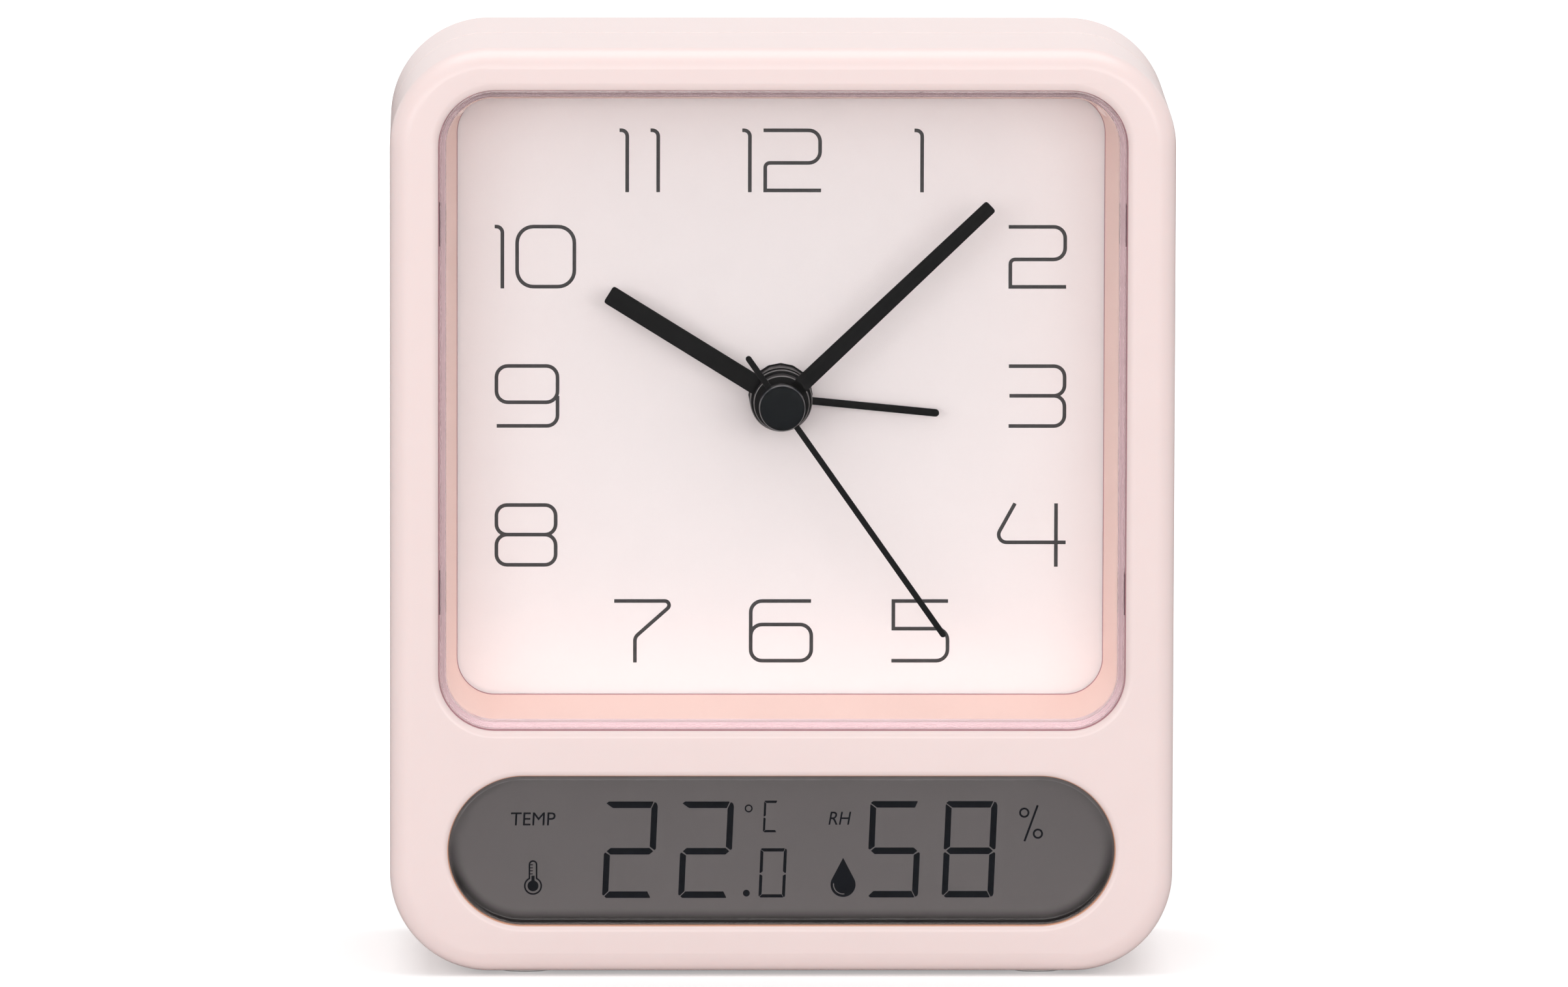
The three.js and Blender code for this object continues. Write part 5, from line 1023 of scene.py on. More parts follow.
@dataclass
class RearCase(SubAssembly):
    """The rear moulding, with the recesses of its controls and the battery bay."""

    title: str = "rear case"
    housing: Housing = field(default_factory=Housing)
    knob_spacing: float = 24.0
    knob_recess: Flat = (46.0, 22.0)
    knob_corner: float = 6.0
    knob_floor: float = 5.0
    knob_mouth: float = 1.0
    shaft_hole: float = 1.45
    switch_rise: float = 19.0
    switch_recess: Flat = (15.0, 8.0)
    switch_corner: float = 1.5
    switch_floor: float = 2.6
    switch_hole: Flat = (7.6, 2.6)
    slot: float = 1.3
    slot_lip: float = 0.25
    slot_pitch: float = 2.9
    sounder: Flat = (-39.5, 98.0)
    button: Flat = (43.3, 30.0)
    button_hole: float = 3.15
    dish: float = 6.2
    dish_slope: float = 2.4
    dish_depth: float = 1.4
    guide: Solid = (5.0, 6.0, 2.4)
    screw_seat: float = 12.0
    screw_hole: float = 1.2
    well: float = 2.5
    well_lip: float = 0.25
    pillar: float = 3.6
    door: Flat = (59.4, 35.1)
    door_corner: float = 0.4
    door_lip: float = 0.15
    door_middle: float = 24.0
    door_depth: float = 1.75
    door_wall: float = 1.5
    door_back: float = 4.2
    bay: Flat = (56.2, 31.9)
    bay_floor: float = 5.1
    bay_wall: float = 1.4
    notch: float = 9.0
    notch_drop: float = 4.8
    notch_depth: float = 0.8
    pivot: Flat = (21.2, 7.55)
    pivot_hole: float = 0.65
    pivot_depth: float = 1.05
    tongue_gap: float = 0.15
    tongue_wall: float = 1.0
    tongue_reach: float = 1.5
    label_depth: float = 0.3
    label_height: float = 4.0
    label_lip: float = 0.15
    label_drop: float = 17.0
    label_rise: float = 10.5
    letter_gap: float = 0.08

    def build(self) -> None:
        """Make the rear moulding and its labels."""
        case = self.housing
        rear, inner = case.rear, case.rear - case.wall
        axis = middle_of("minute_pipe").z
        part = Moulding("rear_shell")
        pockets = [
            Pocket(Panel(*self.knob_recess, self.knob_corner, z=axis, steps=16),
                   rear - self.knob_floor, self.knob_mouth,
                   holes=tuple(tuple(circle(self.shaft_hole, 32, side.value * self.knob_spacing / 2,
                                            axis)) for side in Side), bevelled=True),
            Pocket(Panel(*self.switch_recess, self.switch_corner, z=axis + self.switch_rise, steps=8),
                   rear - self.switch_floor,
                   holes=(tuple(outline(*self.switch_hole, 0.3, 3, z=axis + self.switch_rise)),)),
        ]
        rings = [pocket.cut(part, rear, inner) for pocket in pockets]
        rings.append(self.door_recess(part, rear, inner))
        rings.append(self.button_dish(part, rear, inner))
        rings += [self.screw_well(part, x, z, rear, inner) for x, z in case.posts()]
        rings += [self.sound_slot(part, x, z, length, rear, inner) for x, z, length in self.slots()]
        mouths = [pair[0] for pair in rings] + [self.label_recess(part, panel, rear)
                                                for panel in self.labels(axis).values()]
        skin = case.panel.rounding(case.rear_fillet, rear, -1, 10)
        tongue = case.wall + self.tongue_gap
        tongue_in, reach, ring = tongue + self.tongue_wall, self.tongue_reach, case.panel.ring
        part.sheet(skin[0], mouths)
        part.wall([*skin, ring(0, case.seam + case.seam_chamfer),
                   ring(case.seam_chamfer, case.seam), ring(tongue, case.seam),
                   ring(tongue, case.seam - reach), ring(tongue_in, case.seam - reach),
                   ring(tongue_in, case.seam + reach), ring(case.wall, case.seam + reach),
                   ring(case.wall, inner)])
        part.sheet(ring(case.wall, inner), [pair[1] for pair in rings])
        self.add(part.piece("housing", [PINK_ABS], "case_plastic", ["rear_case"]))
        for word, panel in self.labels(axis).items():
            self.add(raised_word("rear_label_" + word.lower(), word, panel,
                                 rear - self.label_depth, rear - self.letter_gap, GREY_INK))

    def slots(self) -> list[tuple[float, float, float]]:
        """List the sound and vent slots.

        Returns:
            The middle and the length of each.
        """
        x, z = self.sounder
        sound = [(x, z + (k - 1.5) * self.slot_pitch, 12.0) for k in range(4)]
        x, z = -self.button[0], self.button[1]
        return sound + [(x, z + (k - 1) * self.slot_pitch, 10.0) for k in range(3)]

    def labels(self, axis: float) -> dict[str, Panel]:
        """Give the shallow label recesses.

        Args:
            axis: The height of the hands' axis.

        Returns:
            Their outlines by their word.
        """
        x, below = self.knob_spacing / 2, axis - self.label_drop
        beside, above = axis + self.switch_rise, self.button[1] + self.label_rise
        places = {"TIME": (14, x, below), "ALARM": (16, -x, below), "ON": (7, 14.5, beside),
                  "OFF": (8, -15, beside), "\u00b0C/\u00b0F": (12, self.button[0], above)}
        return {word: Panel(width, self.label_height, 1, middle, level, 6)
                for word, (width, middle, level) in places.items()}

    def label_recess(self, part: Moulding, panel: Panel, rear: float) -> list[Solid]:
        """Make the shallow recess of a label.

        Args:
            part: The mesh to add to.
            panel: Its outline.
            rear: The rear face's depth.

        Returns:
            Its ring in the rear face.
        """
        floor = rear - self.label_depth
        mouth = panel.ring(-self.label_lip, rear)
        part.wall([mouth, panel.ring(0, floor)])
        part.sheet(panel.ring(0, floor))
        return mouth

    def sound_slot(self, part: Moulding, x: float, z: float, length: float, rear: float,
                   inner: float) -> Mouths:
        """Make a slot through the wall.

        Args:
            part: The mesh to add to.
            x: Its middle, across.
            z: Its middle, up.
            length: Its length.
            rear: The rear face's depth.
            inner: The inner face's depth.

        Returns:
            Its rings in both faces.
        """
        panel = Panel(length, self.slot, self.slot / 2, x, z, 8)
        lead = panel.rounding(-self.slot_lip, rear, -1, 4)
        part.wall([*lead, panel.ring(0, inner)])
        return lead[0], panel.ring(0, inner)

    def screw_well(self, part: Moulding, x: float, z: float, rear: float, inner: float) -> Mouths:
        """Make a screw's well with its pillar.

        Args:
            part: The mesh to add to.
            x: Its middle, across.
            z: Its middle, up.
            rear: The rear face's depth.
            inner: The inner face's depth.

        Returns:
            Its rings in both faces.
        """
        seat, seam = rear - self.screw_seat, self.housing.seam
        well, lip, hole = self.well, self.well_lip, self.screw_hole
        part.turned([(well + lip, rear), (well + 0.07, rear - 0.07), (well, rear - lip),
                     (well, seat), (hole, seat), (hole, seam), (self.pillar, seam),
                     (self.pillar, inner)], x, z, 40)
        return (at_depth(circle(well + lip, 40, x, z), rear),
                at_depth(circle(self.pillar, 40, x, z), inner))

    def button_dish(self, part: Moulding, rear: float, inner: float) -> Mouths:
        """Make the dish around the button.

        Args:
            part: The mesh to add to.
            rear: The rear face's depth.
            inner: The inner face's depth.

        Returns:
            Its rings in both faces.
        """
        x, z = self.button
        bore, ring, tall = self.guide
        dish = [(self.dish - self.dish_slope * k / 10,
                 rear - self.dish_depth * sin(k / 10 * pi / 2)) for k in range(11)]
        part.turned([*dish, (self.button_hole, rear - self.dish_depth), (self.button_hole, inner),
                     (bore, inner), (bore, inner - tall), (ring, inner - tall), (ring, inner)],
                    x, z, 48)
        return (at_depth(circle(self.dish, 48, x, z), rear), at_depth(circle(ring, 48, x, z), inner))

    def door_recess(self, part: Moulding, rear: float, inner: float) -> Mouths:
        """Make the battery bay with the door's seat, thumb notch and pivot holes.

        Args:
            part: The mesh to add to.
            rear: The rear face's depth.
            inner: The inner face's depth.

        Returns:
            The rings that the bay needs in the rear face and in the inner face.
        """
        corners = outline(*self.door, self.door_corner, 4, z=self.door_middle)
        high = self.door_middle + self.door[1] / 2
        centre = high - self.notch_drop
        reach = sqrt(self.notch ** 2 - (high - centre) ** 2)
        start = atan2(high - centre, reach)
        thumb = arc(self.notch, start, pi - start, 20, 0.0, centre)[1:-1]
        chord = [(reach, high), (-reach, high)]
        top_low = [*corners[:5], *chord, *corners[5:10]]
        top_high = [*corners[:5], chord[0], *thumb, chord[1], *corners[5:10]]
        bottom = corners[10:]
        lip, step = rear - self.door_lip, rear - self.notch_depth
        seat = rear - self.door_depth
        mouth = at_depth(shrunk([*top_high, *bottom], -self.door_lip), rear)
        part.wall([mouth, at_depth([*top_high, *bottom], lip)])
        part.wall([at_depth(top_high, lip), at_depth(top_high, step)], loop=False)
        part.sheet(at_depth([chord[0], *thumb, chord[1]], step))
        part.wall([at_depth(top_low, step), at_depth(top_low, seat)], loop=False)
        part.wall([at_depth(bottom, lip), at_depth(bottom, step), at_depth(bottom, seat)], loop=False)
        for side in Side:
            self.pivot_wall(part, side, (lip, step, seat), corners)
        bay = Panel(*self.bay, 1.0, z=self.door_middle, steps=6)
        seat_frame = Panel(*self.door, self.door_corner, z=self.door_middle, steps=6)
        part.sheet(at_depth([*top_low, *bottom], seat), [bay.ring(0, seat)])
        part.wall([bay.ring(0, seat), bay.ring(0, self.bay_floor)])
        part.sheet(bay.ring(0, self.bay_floor))
        back, around, wall = rear - self.door_back, -self.door_wall, self.bay_wall
        part.wall([seat_frame.ring(around, inner), seat_frame.ring(around, back)])
        part.sheet(seat_frame.ring(around, back), [bay.ring(-wall, back)])
        part.wall([bay.ring(-wall, back), bay.ring(-wall, self.bay_floor - wall)])
        part.sheet(bay.ring(-wall, self.bay_floor - wall))
        return mouth, seat_frame.ring(around, inner)

    def pivot_wall(self, part: Moulding, side: Side, levels: Solid, corners: Sequence[Flat]) -> None:
        """Make one side of the door's seat, with the blind hole of a trunnion.

        Args:
            part: The mesh to add to.
            side: The side.
            levels: The depths of its edges, from the rear.
            corners: The outline of the seat.
        """
        x = side.value * self.door[0] / 2
        low, high = corners[-1][1], corners[0][1]
        edge = [(x, y, low) for y in levels] + [(x, y, high) for y in reversed(levels)]
        y, z = self.pivot
        hole = [(x, y + u, z + v) for u, v in circle(self.pivot_hole, 16)]
        floor = [(x + side.value * self.pivot_depth, y, z) for _, y, z in hole]
        part.sheet(edge, [hole])
        part.wall([hole, floor])
        part.sheet(floor)


@dataclass
class Lens(SubAssembly):
    """The clear lens: a pane with a polished edge and a thin skirt."""

    title: str = "lens"
    front_case: Optional[FrontCase] = None
    pane: float = 1.6
    skirt: float = 0.7
    edge: float = 0.4
    fillet: float = 0.3

    def build(self) -> None:
        """Make the lens."""
        low, high = span("lens")
        opening = self.front_case.opening
        gap = self.front_case.lens_gap
        cup = Panel(opening.width - 2 * gap, opening.height - 2 * gap, opening.radius - gap,
                    z=opening.z, steps=20)
        part = Moulding("lens_cup")
        rim = cup.rounding(self.edge, low.y, 1, 5)
        part.sheet(rim[0])
        inside, skirt, bend = low.y + self.pane, self.skirt, self.fillet
        part.wall([*rim, cup.ring(0, high.y), cup.ring(skirt, high.y),
                   cup.ring(skirt, inside + bend),
                   cup.ring(skirt + 0.3 * bend, inside + 0.3 * bend),
                   cup.ring(skirt + bend, inside)])
        part.sheet(cup.ring(skirt + bend, inside))
        self.add(part.piece("housing", [CLEAR_ACRYLIC], "lens_plastic", ["lens"]))


LETTER_WIDTH = 2.15
LETTER_HEIGHT = 2.1
LETTER_ROOT = 0.05
LABEL_MARGIN = 1.2


def raised_word(name: str, word: str, panel: Panel, floor: float, top: float, finish: Finish) -> Object:
    """Make raised sans letters in a label recess of the rear face, read from behind.

    Args:
        name: The piece's name, of which letters, digits and _ . - are kept.
        word: The word.
        panel: The recess that the word is fitted into.
        floor: The depth of the recess's floor.
        top: The depth of the letters' faces.
        finish: The finish.

    Returns:
        The word's piece.
    """
    clean = "".join(sign for sign in name if sign.isascii() and (sign.isalnum() or sign in "_.-"))
    part = Moulding(clean)
    width = min(panel.width - 2 * LABEL_MARGIN, LETTER_WIDTH * len(word))
    letters = flat_word(word, width, LETTER_HEIGHT)
    spread, below = max(x for x, _ in letters["points"]), panel.z - LETTER_HEIGHT / 2
    part.extrude_flat(letters, lambda p: (panel.x + spread / 2 - p[0], below + p[1]),
                      top, floor - LETTER_ROOT)
    return part.piece("housing", [finish], "case_plastic")


def flat_word(word: str, width: float, height: float, shear: float = 0.0) -> Sketch:
    """Turn a word into flat triangles, fitted to a width and a height.

    Args:
        word: The word.
        width: Its width.
        height: Its height.
        shear: How far the letters lean.

    Returns:
        The points and the faces, from the lower left corner.
    """
    curve = bpy.data.curves.new("word_source", "FONT")
    curve.body = word
    curve.shear = shear
    curve.resolution_u = 6
    source = bpy.data.objects.new("word_source", curve)
    bpy.context.scene.collection.objects.link(source)
    bpy.context.view_layer.update()
    data = bpy.data.meshes.new_from_object(source.evaluated_get(bpy.context.evaluated_depsgraph_get()))
    bpy.data.objects.remove(source)
    xs = [vertex.co.x for vertex in data.vertices]
    ys = [vertex.co.y for vertex in data.vertices]
    points = [((x - min(xs)) * width / (max(xs) - min(xs)),
               (y - min(ys)) * height / (max(ys) - min(ys))) for x, y in zip(xs, ys)]
    faces = [tuple(face.vertices) for face in data.polygons]
    bpy.data.meshes.remove(data)
    return {"points": points, "faces": faces}


HEIGHT = 9.03
LINE = 0.52
WIDTHS = {"0": 8.6, "1": 1.35, "2": 8.25, "3": 8.15, "4": 9.85, "5": 8.2, "6": 9.1, "7": 7.95,
          "8": 8.9, "9": 9.15}


def numeral(sign: str) -> list[Stroke]:
    """Draw one numeral of the dial's thin, squared face.

    Args:
        sign: The digit.

    Returns:
        Its strokes, from its lower left corner.
    """
    s, h, w = LINE / 2, HEIGHT, WIDTHS[sign]

    def loop(low: float, high: float, radius: float) -> Stroke:
        """Draw a closed box with round corners between two heights."""
        return Stroke(((s, low), (w - s, low), (w - s, high), (s, high)), (radius,), True)

    if sign == "1":
        return [Stroke(((0, h - s), (w - s, h - s), (w - s, 0)), (0.85,))]
    if sign == "2":
        m = 0.46 * h
        return [Stroke(((0, h - s), (w - s, h - s), (w - s, m), (s, m), (s, s), (w - 0.1, s)),
                       (1.6, 1.6, 0.65, 0.0))]
    if sign == "3":
        m = 0.505 * h
        return [Stroke(((0, h - s), (w - s, h - s), (w - s, m), (0.1, m)), (1.5, 1.5)),
                Stroke(((0.1, m), (w - s, m), (w - s, s), (0, s)), (1.5, 1.5))]
    if sign == "4":
        m = 0.385 * h
        return [Stroke(((0.27 * w, h), (-0.04 * w, m), (w, m)), (1.1,)),
                Stroke(((0.86 * w, h), (0.86 * w, 0)))]
    if sign == "5":
        m = 0.535 * h
        return [Stroke(((w - 0.2, h - s), (s, h - s), (s, m), (w - s, m), (w - s, s), (0, s)),
                       (0.0, 0.0, 1.6, 1.6))]
    if sign == "6":
        m = 0.6 * h
        return [loop(s, m, 1.6), Stroke(((w - 0.3, h - s), (s, h - s), (s, m / 2)), (1.6,))]
    if sign == "7":
        return [Stroke(((0, h - s), (w + 0.8, h - s), (0.37 * w, 0.4 * h), (0.37 * w, 0)), (0.6, 1.2))]
    if sign == "8":
        m = 0.505 * h
        return [loop(s, m, 1.5), loop(m, h - s, 1.5)]
    if sign == "9":
        m = 0.4 * h
        return [loop(m, h - s, 1.6), Stroke(((w - s, h / 2), (w - s, s), (0.3, s)), (1.5,))]
    return [loop(s, h - s, 2.3)]


@dataclass
class Dial(SubAssembly):
    """The dial: a matt sheet with thin printed numerals."""

    title: str = "dial"
    ink_height: float = 0.02
    ink_root: float = 0.01
    layer_step: float = 0.002
    column: float = 40.4
    high_row: float = 33.43
    low_row: float = 19.77
    narrow: float = 0.998
    drop: float = 0.15

    def signs(self) -> list[tuple[str, float, float]]:
        """List the numerals with the left edge and the middle height of each digit."""
        high, low, edge = self.high_row, self.low_row, self.column
        return [("1", -22.8, high), ("1", -18.43, high), ("1", -5.5, high), ("2", -2.5, high),
                ("1", 18.8, high), ("1", -edge, low), ("0", -37.49, low), ("9", -edge, 0.0),
                ("8", -edge, -low), ("2", edge - WIDTHS["2"], low), ("3", edge - WIDTHS["3"], 0.0),
                ("4", edge - WIDTHS["4"], -low), ("7", -23.47, -high), ("6", -4.4, -high),
                ("5", 15.79, -high)]

    def build(self) -> None:
        """Make the printed numerals."""
        face = span("dial_plate")[0].y
        axis = middle_of("minute_pipe").z
        part = Moulding("dial_numerals")
        for sign, x, z in self.signs():
            for layer, stroke in enumerate(numeral(sign)):
                front = face - self.ink_height - self.layer_step * layer
                stroke.lay(part, LINE, lambda p, x=x, z=z: (
                    (p[0] + x) * self.narrow, p[1] + z - HEIGHT / 2 + axis - self.drop),
                           front, face + self.ink_root)
        self.add(part.piece("housing", [DIAL_INK], "dial_paint"))

    def dress(self) -> None:
        """Finish the dial sheet."""
        self.coat(DIAL_LACQUER, "dial_plate")


@dataclass
class Hand(SubAssembly):
    """One hand: a flat bar on a round hub, with softly broken edges."""

    title: str = "hour hand"
    angle: float = 301.8
    length: float = 28.6
    root: float = 2.7
    tip: float = 2.7
    tail: float = 0.0
    hub: float = 4.4
    bore: float = 1.0
    thickness: float = 0.4
    collar: float = 0.9
    boss: float = 0.0
    rim: float = 0.14
    edge: float = 0.08
    corner: float = 0.35
    shoulder: float = 0.6
    round_ends: bool = False

    def blade(self) -> list[Flat]:
        """Draw the bar, pointing to twelve.

        Returns:
            Its outline.
        """
        root, tip = self.root / 2, self.tip / 2
        if self.round_ends:
            start = [(-root, 0.0), (root, 0.0)]
            if self.tail > 0:
                start = arc(root, pi, TAU, 10, 0.0, root - self.tail)
            return [*arc(tip, 0.0, pi, 10, 0.0, self.length - tip), *start]
        end, corner = self.length, self.corner
        return [(root, 0.0), (tip, end - corner), (tip - 0.1, end - 0.1), (tip - corner, end),
                (corner - tip, end), (0.1 - tip, end - 0.1), (-tip, end - corner), (-root, 0.0)]

    def build(self) -> None:
        """Make the hand."""
        axis = middle_of("minute_pipe")
        rear = span(self.node)[1].y - max(self.collar, self.boss)
        front = rear - self.thickness
        turn = radians(self.angle)
        c, s = cos(turn), sin(turn)
        points = [(axis.x + x * c + z * s, axis.z - x * s + z * c) for x, z in self.blade()]
        part = Moulding(self.node + "_blade")
        part.slab(points, front, rear, self.edge)
        shoulder = self.hub if self.boss > 0.0 else self.bore + self.shoulder
        end, rim = rear + max(self.collar, self.boss), self.rim
        face, side = (self.hub - rim, front), (self.hub, front + rim)
        # The front edge of the hub takes a painted highlight
        part.turned([face, (self.hub - 0.3 * rim, front + 0.3 * rim), side], axis.x, axis.z, 72, 1)
        part.turned([side, (self.hub, rear), (shoulder, rear + 0.001), (shoulder, end),
                     (self.bore, end), (self.bore, front), face], axis.x, axis.z, 72)
        self.add(part.piece(self.node + "s", [BLACK_LACQUER, HUB_EDGE_HIGHLIGHT], "hand_paint", [self.node]))


@dataclass
class Cap(SubAssembly):
    """The domed cap on the second hand's hub."""

    title: str = "cap"
    radius: float = 3.25
    flat: float = 0.86
    round_depth: float = 0.7

    def build(self) -> None:
        """Make the cap."""
        axis = middle_of("minute_pipe")
        front, rear = (corner.y for corner in span("second_cap"))
        steps = 12
        crown = [(0.0, front), (0.5 * self.radius, front + 0.01),
                 ((self.flat - 0.04) * self.radius, front + 0.04)]
        for k in range(steps + 1):
            angle = k / steps * pi / 2
            crown.append((self.radius * (self.flat + (1 - self.flat) * sin(angle)),
                          front + 0.07 + self.round_depth * (1 - cos(angle))))
        part = Moulding("second_cap_crown")
        rim = steps // 2 + 3
        part.turned(crown[:rim + 1], axis.x, axis.z, 96)
        # The outer part of the crown's rounding takes a painted highlight
        part.turned(crown[rim:], axis.x, axis.z, 96, 1)
        part.turned([crown[-1], (self.radius, rear - 0.1), (self.radius - 0.1, rear), (0.0, rear)],
                    axis.x, axis.z, 96)
        self.add(part.piece("second_hands", [CAP_ABS, CAP_RIM_HIGHLIGHT], "cap_plastic", ["second_cap"], 60.0))


class Segment(Enum):
    """The seven bars of a display digit, from the top, clockwise, with the middle one last."""

    TOP = 0
    UPPER_RIGHT = 1
    LOWER_RIGHT = 2
    BOTTOM = 3
    LOWER_LEFT = 4
    UPPER_LEFT = 5
    MIDDLE = 6


LIT = {"0": (0, 1, 2, 3, 4, 5), "2": (0, 1, 6, 4, 3), "5": (0, 5, 6, 2, 3),
       "8": (0, 1, 2, 3, 4, 5, 6), "C": (0, 5, 4, 3)}


@dataclass(frozen=True)
class Digit:
    """A seven-bar digit that leans a little to the right."""

    sign: str
    left: float
    bottom: float
    width: float = 7.28
    height: float = 13.71
    bar: float = 0.93
    lean: float = 0.042

    def bars(self) -> list[list[Flat]]:
        """Draw the lit bars.

        Returns:
            The outline of each lit bar.
        """
        w, h, t = self.width, self.height, self.bar
        m = h / 2 - 0.23 * t
        shapes = {
            Segment.TOP: [(0.42 * t, h), (0.06 * t, h - 0.3 * t), (1.05 * t, h - t),
                          (w - 1.06 * t, h - t), (w - 0.68 * t, h - 0.1 * t), (w - 0.75 * t, h)],
            Segment.UPPER_RIGHT: [(w - 0.5 * t, h - 0.1 * t), (w - 0.19 * t, h - 0.24 * t),
                                  (w, h - 0.67 * t), (w, m + 0.37 * t), (w - 0.16 * t, m + 0.22 * t),
                                  (w - 0.3 * t, m + 0.22 * t), (w - 0.95 * t, m + 0.72 * t),
                                  (w - 0.94 * t, h - 1.08 * t)],
            Segment.BOTTOM: [(0.33 * t, 0.26 * t), (1.06 * t, t), (w - 1.04 * t, t),
                             (w - 0.55 * t, 0.1 * t), (w - 0.62 * t, 0.0), (0.6 * t, 0.0)],
            Segment.UPPER_LEFT: [(0.0, h - 0.6 * t), (0.08 * t, h - 0.48 * t),
                                 (0.9 * t, h - 1.1 * t), (0.94 * t, m + 0.68 * t),
                                 (0.3 * t, m + 0.22 * t), (0.12 * t, m + 0.22 * t),
                                 (0.0, m + 0.37 * t)],
            Segment.LOWER_LEFT: [(0.19 * t, m - 0.2 * t), (0.0, m - 0.4 * t), (0.0, 0.55 * t),
                                 (0.12 * t, 0.4 * t), (0.28 * t, 0.4 * t), (0.92 * t, 1.06 * t),
                                 (0.92 * t, m - 0.63 * t)],
            Segment.LOWER_RIGHT: [(w - 0.19 * t, m - 0.2 * t), (w, m - 0.4 * t), (w, 0.6 * t),
                                  (w - 0.12 * t, 0.25 * t), (w - 0.42 * t, 0.12 * t),
                                  (w - 0.92 * t, 1.06 * t), (w - 0.92 * t, m - 0.63 * t)],
            Segment.MIDDLE: [(0.4 * t, m), (0.98 * t, m + t / 2), (w - 0.98 * t, m + t / 2),
                             (w - 0.4 * t, m), (w - 0.98 * t, m - t / 2), (0.98 * t, m - t / 2)],
        }
        return [[(self.left + x + self.lean * z, self.bottom + z)
                 for x, z in shapes[Segment(place)]] for place in LIT[self.sign]]


@dataclass
class Display(SubAssembly):
    """The display: a smoked pane over a grey panel with dark bars and signs."""

    title: str = "display"
    front_case: Optional[FrontCase] = None
    setback: float = 0.04
    pillow: float = 0.5
    flange: float = 1.3
    flange_depth: float = 1.0
    ink: float = 0.03
    ink_root: float = 0.01

    def digits(self) -> list[Digit]:
        """List the digits of both readings."""
        return [Digit("2", -25.2, 10.74), Digit("2", -14.5, 10.74),
                Digit("0", -3.2, 10.8, 3.72, 7.0, 0.46), Digit("C", -2.6, 20.07, 2.05, 4.5, 0.33),
                Digit("5", 11.95, 10.8), Digit("8", 22.56, 10.8)]

    def words(self) -> list[tuple[str, float, float, float, float]]:
        """List the words with their left edge, bottom, width and height."""
        return [("TEMP", -38.0, 21.06, 6.26, 1.83), ("RH", 6.62, 21.15, 3.2, 1.84)]

    def build(self) -> None:
        """Make the window and what it shows."""
        low, high = span("lcd_window")
        opening = self.front_case.display
        pane = Panel(opening.width - self.setback, opening.height - self.setback,
                     opening.radius - self.setback / 2, z=opening.z, steps=32)
        flange = Panel(opening.width + 2 * self.flange, opening.height + 2 * self.flange,
                       opening.radius + self.flange, z=opening.z, steps=32)
        part = Moulding("display_window")
        rim = pane.rounding(self.pillow, low.y, 1, 10)
        step = high.y - self.flange_depth
        part.sheet(rim[0])
        part.wall([*rim, pane.ring(0, step), flange.ring(0, step), flange.ring(0, high.y)])
        part.sheet(flange.ring(0, high.y))
        self.add(part.piece("housing", [SMOKED_ACRYLIC], "window_plastic", ["lcd_window"]))
        face = span("lcd_panel")[0].y
        self.add(self.lit_bars(face))
        self.add(self.signs(face))
        for word, x, z, width, height in self.words():
            self.add(self.lettering(word, x, z, width, height, face))

    def lit_bars(self, face: float) -> Object:
        """Make the bars of the digits.

        Args:
            face: The depth of the panel's face.

        Returns:
            Their piece.
        """
        part = Moulding("display_digits")
        for digit in self.digits():
            for bar in digit.bars():
                part.slab(bar, face - self.ink, face + self.ink_root)
        return part.piece("housing", [DARK_SEGMENT], "display_glass")

    def signs(self, face: float) -> Object:
        """Make the thermometer, the drop, the percent sign, the degree ring and the point.

        Args:
            face: The depth of the panel's face.

        Returns:
            Their piece.
        """
        part = Moulding("display_signs")
        front, rear = face - self.ink, face + self.ink_root

        def ring(x: float, z: float, radius: float, width: float) -> None:
            """Lay down a flat ring of this outer radius and width."""
            outer, inner = circle(radius, 32, x, z), circle(radius - width, 32, x, z)
            part.wall([at_depth(outer, front), at_depth(inner, front), at_depth(inner, rear),
                       at_depth(outer, rear)], back_to_first=True)

        # The degree ring, the point of the temperature and the percent sign
        ring(-4.6, 23.46, 0.56, 0.19)
        part.slab(circle(0.48, 24, -4.9, 11.42), front, rear)
        ring(34.15, 22.86, 0.72, 0.26)
        ring(36.08, 19.87, 0.72, 0.26)
        Stroke(((34.19, 18.79), (36.04, 23.92))).lay(part, 0.28, lambda p: p, front, rear)
        # The drop, whose sides touch its round bottom, and the gleam on it
        x, z, radius, tip = 8.7, 12.64, 1.76, 16.44
        lift = asin(radius / (tip - z))
        part.slab([(x, tip), *arc(radius, lift, -pi - lift, 40, x, z)], front, rear)
        gleam = arc(0.76 * radius, radians(172), radians(278), 16, x, z)
        Stroke(tuple(gleam)).lay(part, 0.13, lambda p: p, front - 0.006, rear, finish=1)
        # The thermometer: a bulb and a tube in one line, the column in them, and four marks
        x, z, bulb_radius, tube_radius = -34.9, 12.46, 1.16, 0.5
        half = asin(tube_radius / bulb_radius)
        bulb = arc(bulb_radius, pi / 2 - half, half - 1.5 * pi, 40, x, z)
        tube = arc(tube_radius, pi, 0.0, 12, x, z + 3.03)
        Stroke(tuple([*bulb, *tube]), closed=True).lay(part, 0.22, lambda p: p, front, rear)
        part.slab(circle(0.77, 32, x, z), front, rear)
        Stroke(((x, z + 0.4), (x, z + 1.44))).lay(part, 0.45, lambda p: p, front - 0.003, rear)
        for k in range(4):
            level = z + 1.7 + 0.43 * k
            Stroke(((x - 0.4, level), (x - 0.02, level))).lay(part, 0.13, lambda p: p, front, rear)
        return part.piece("housing", [DARK_SEGMENT, POLARISER], "display_glass")

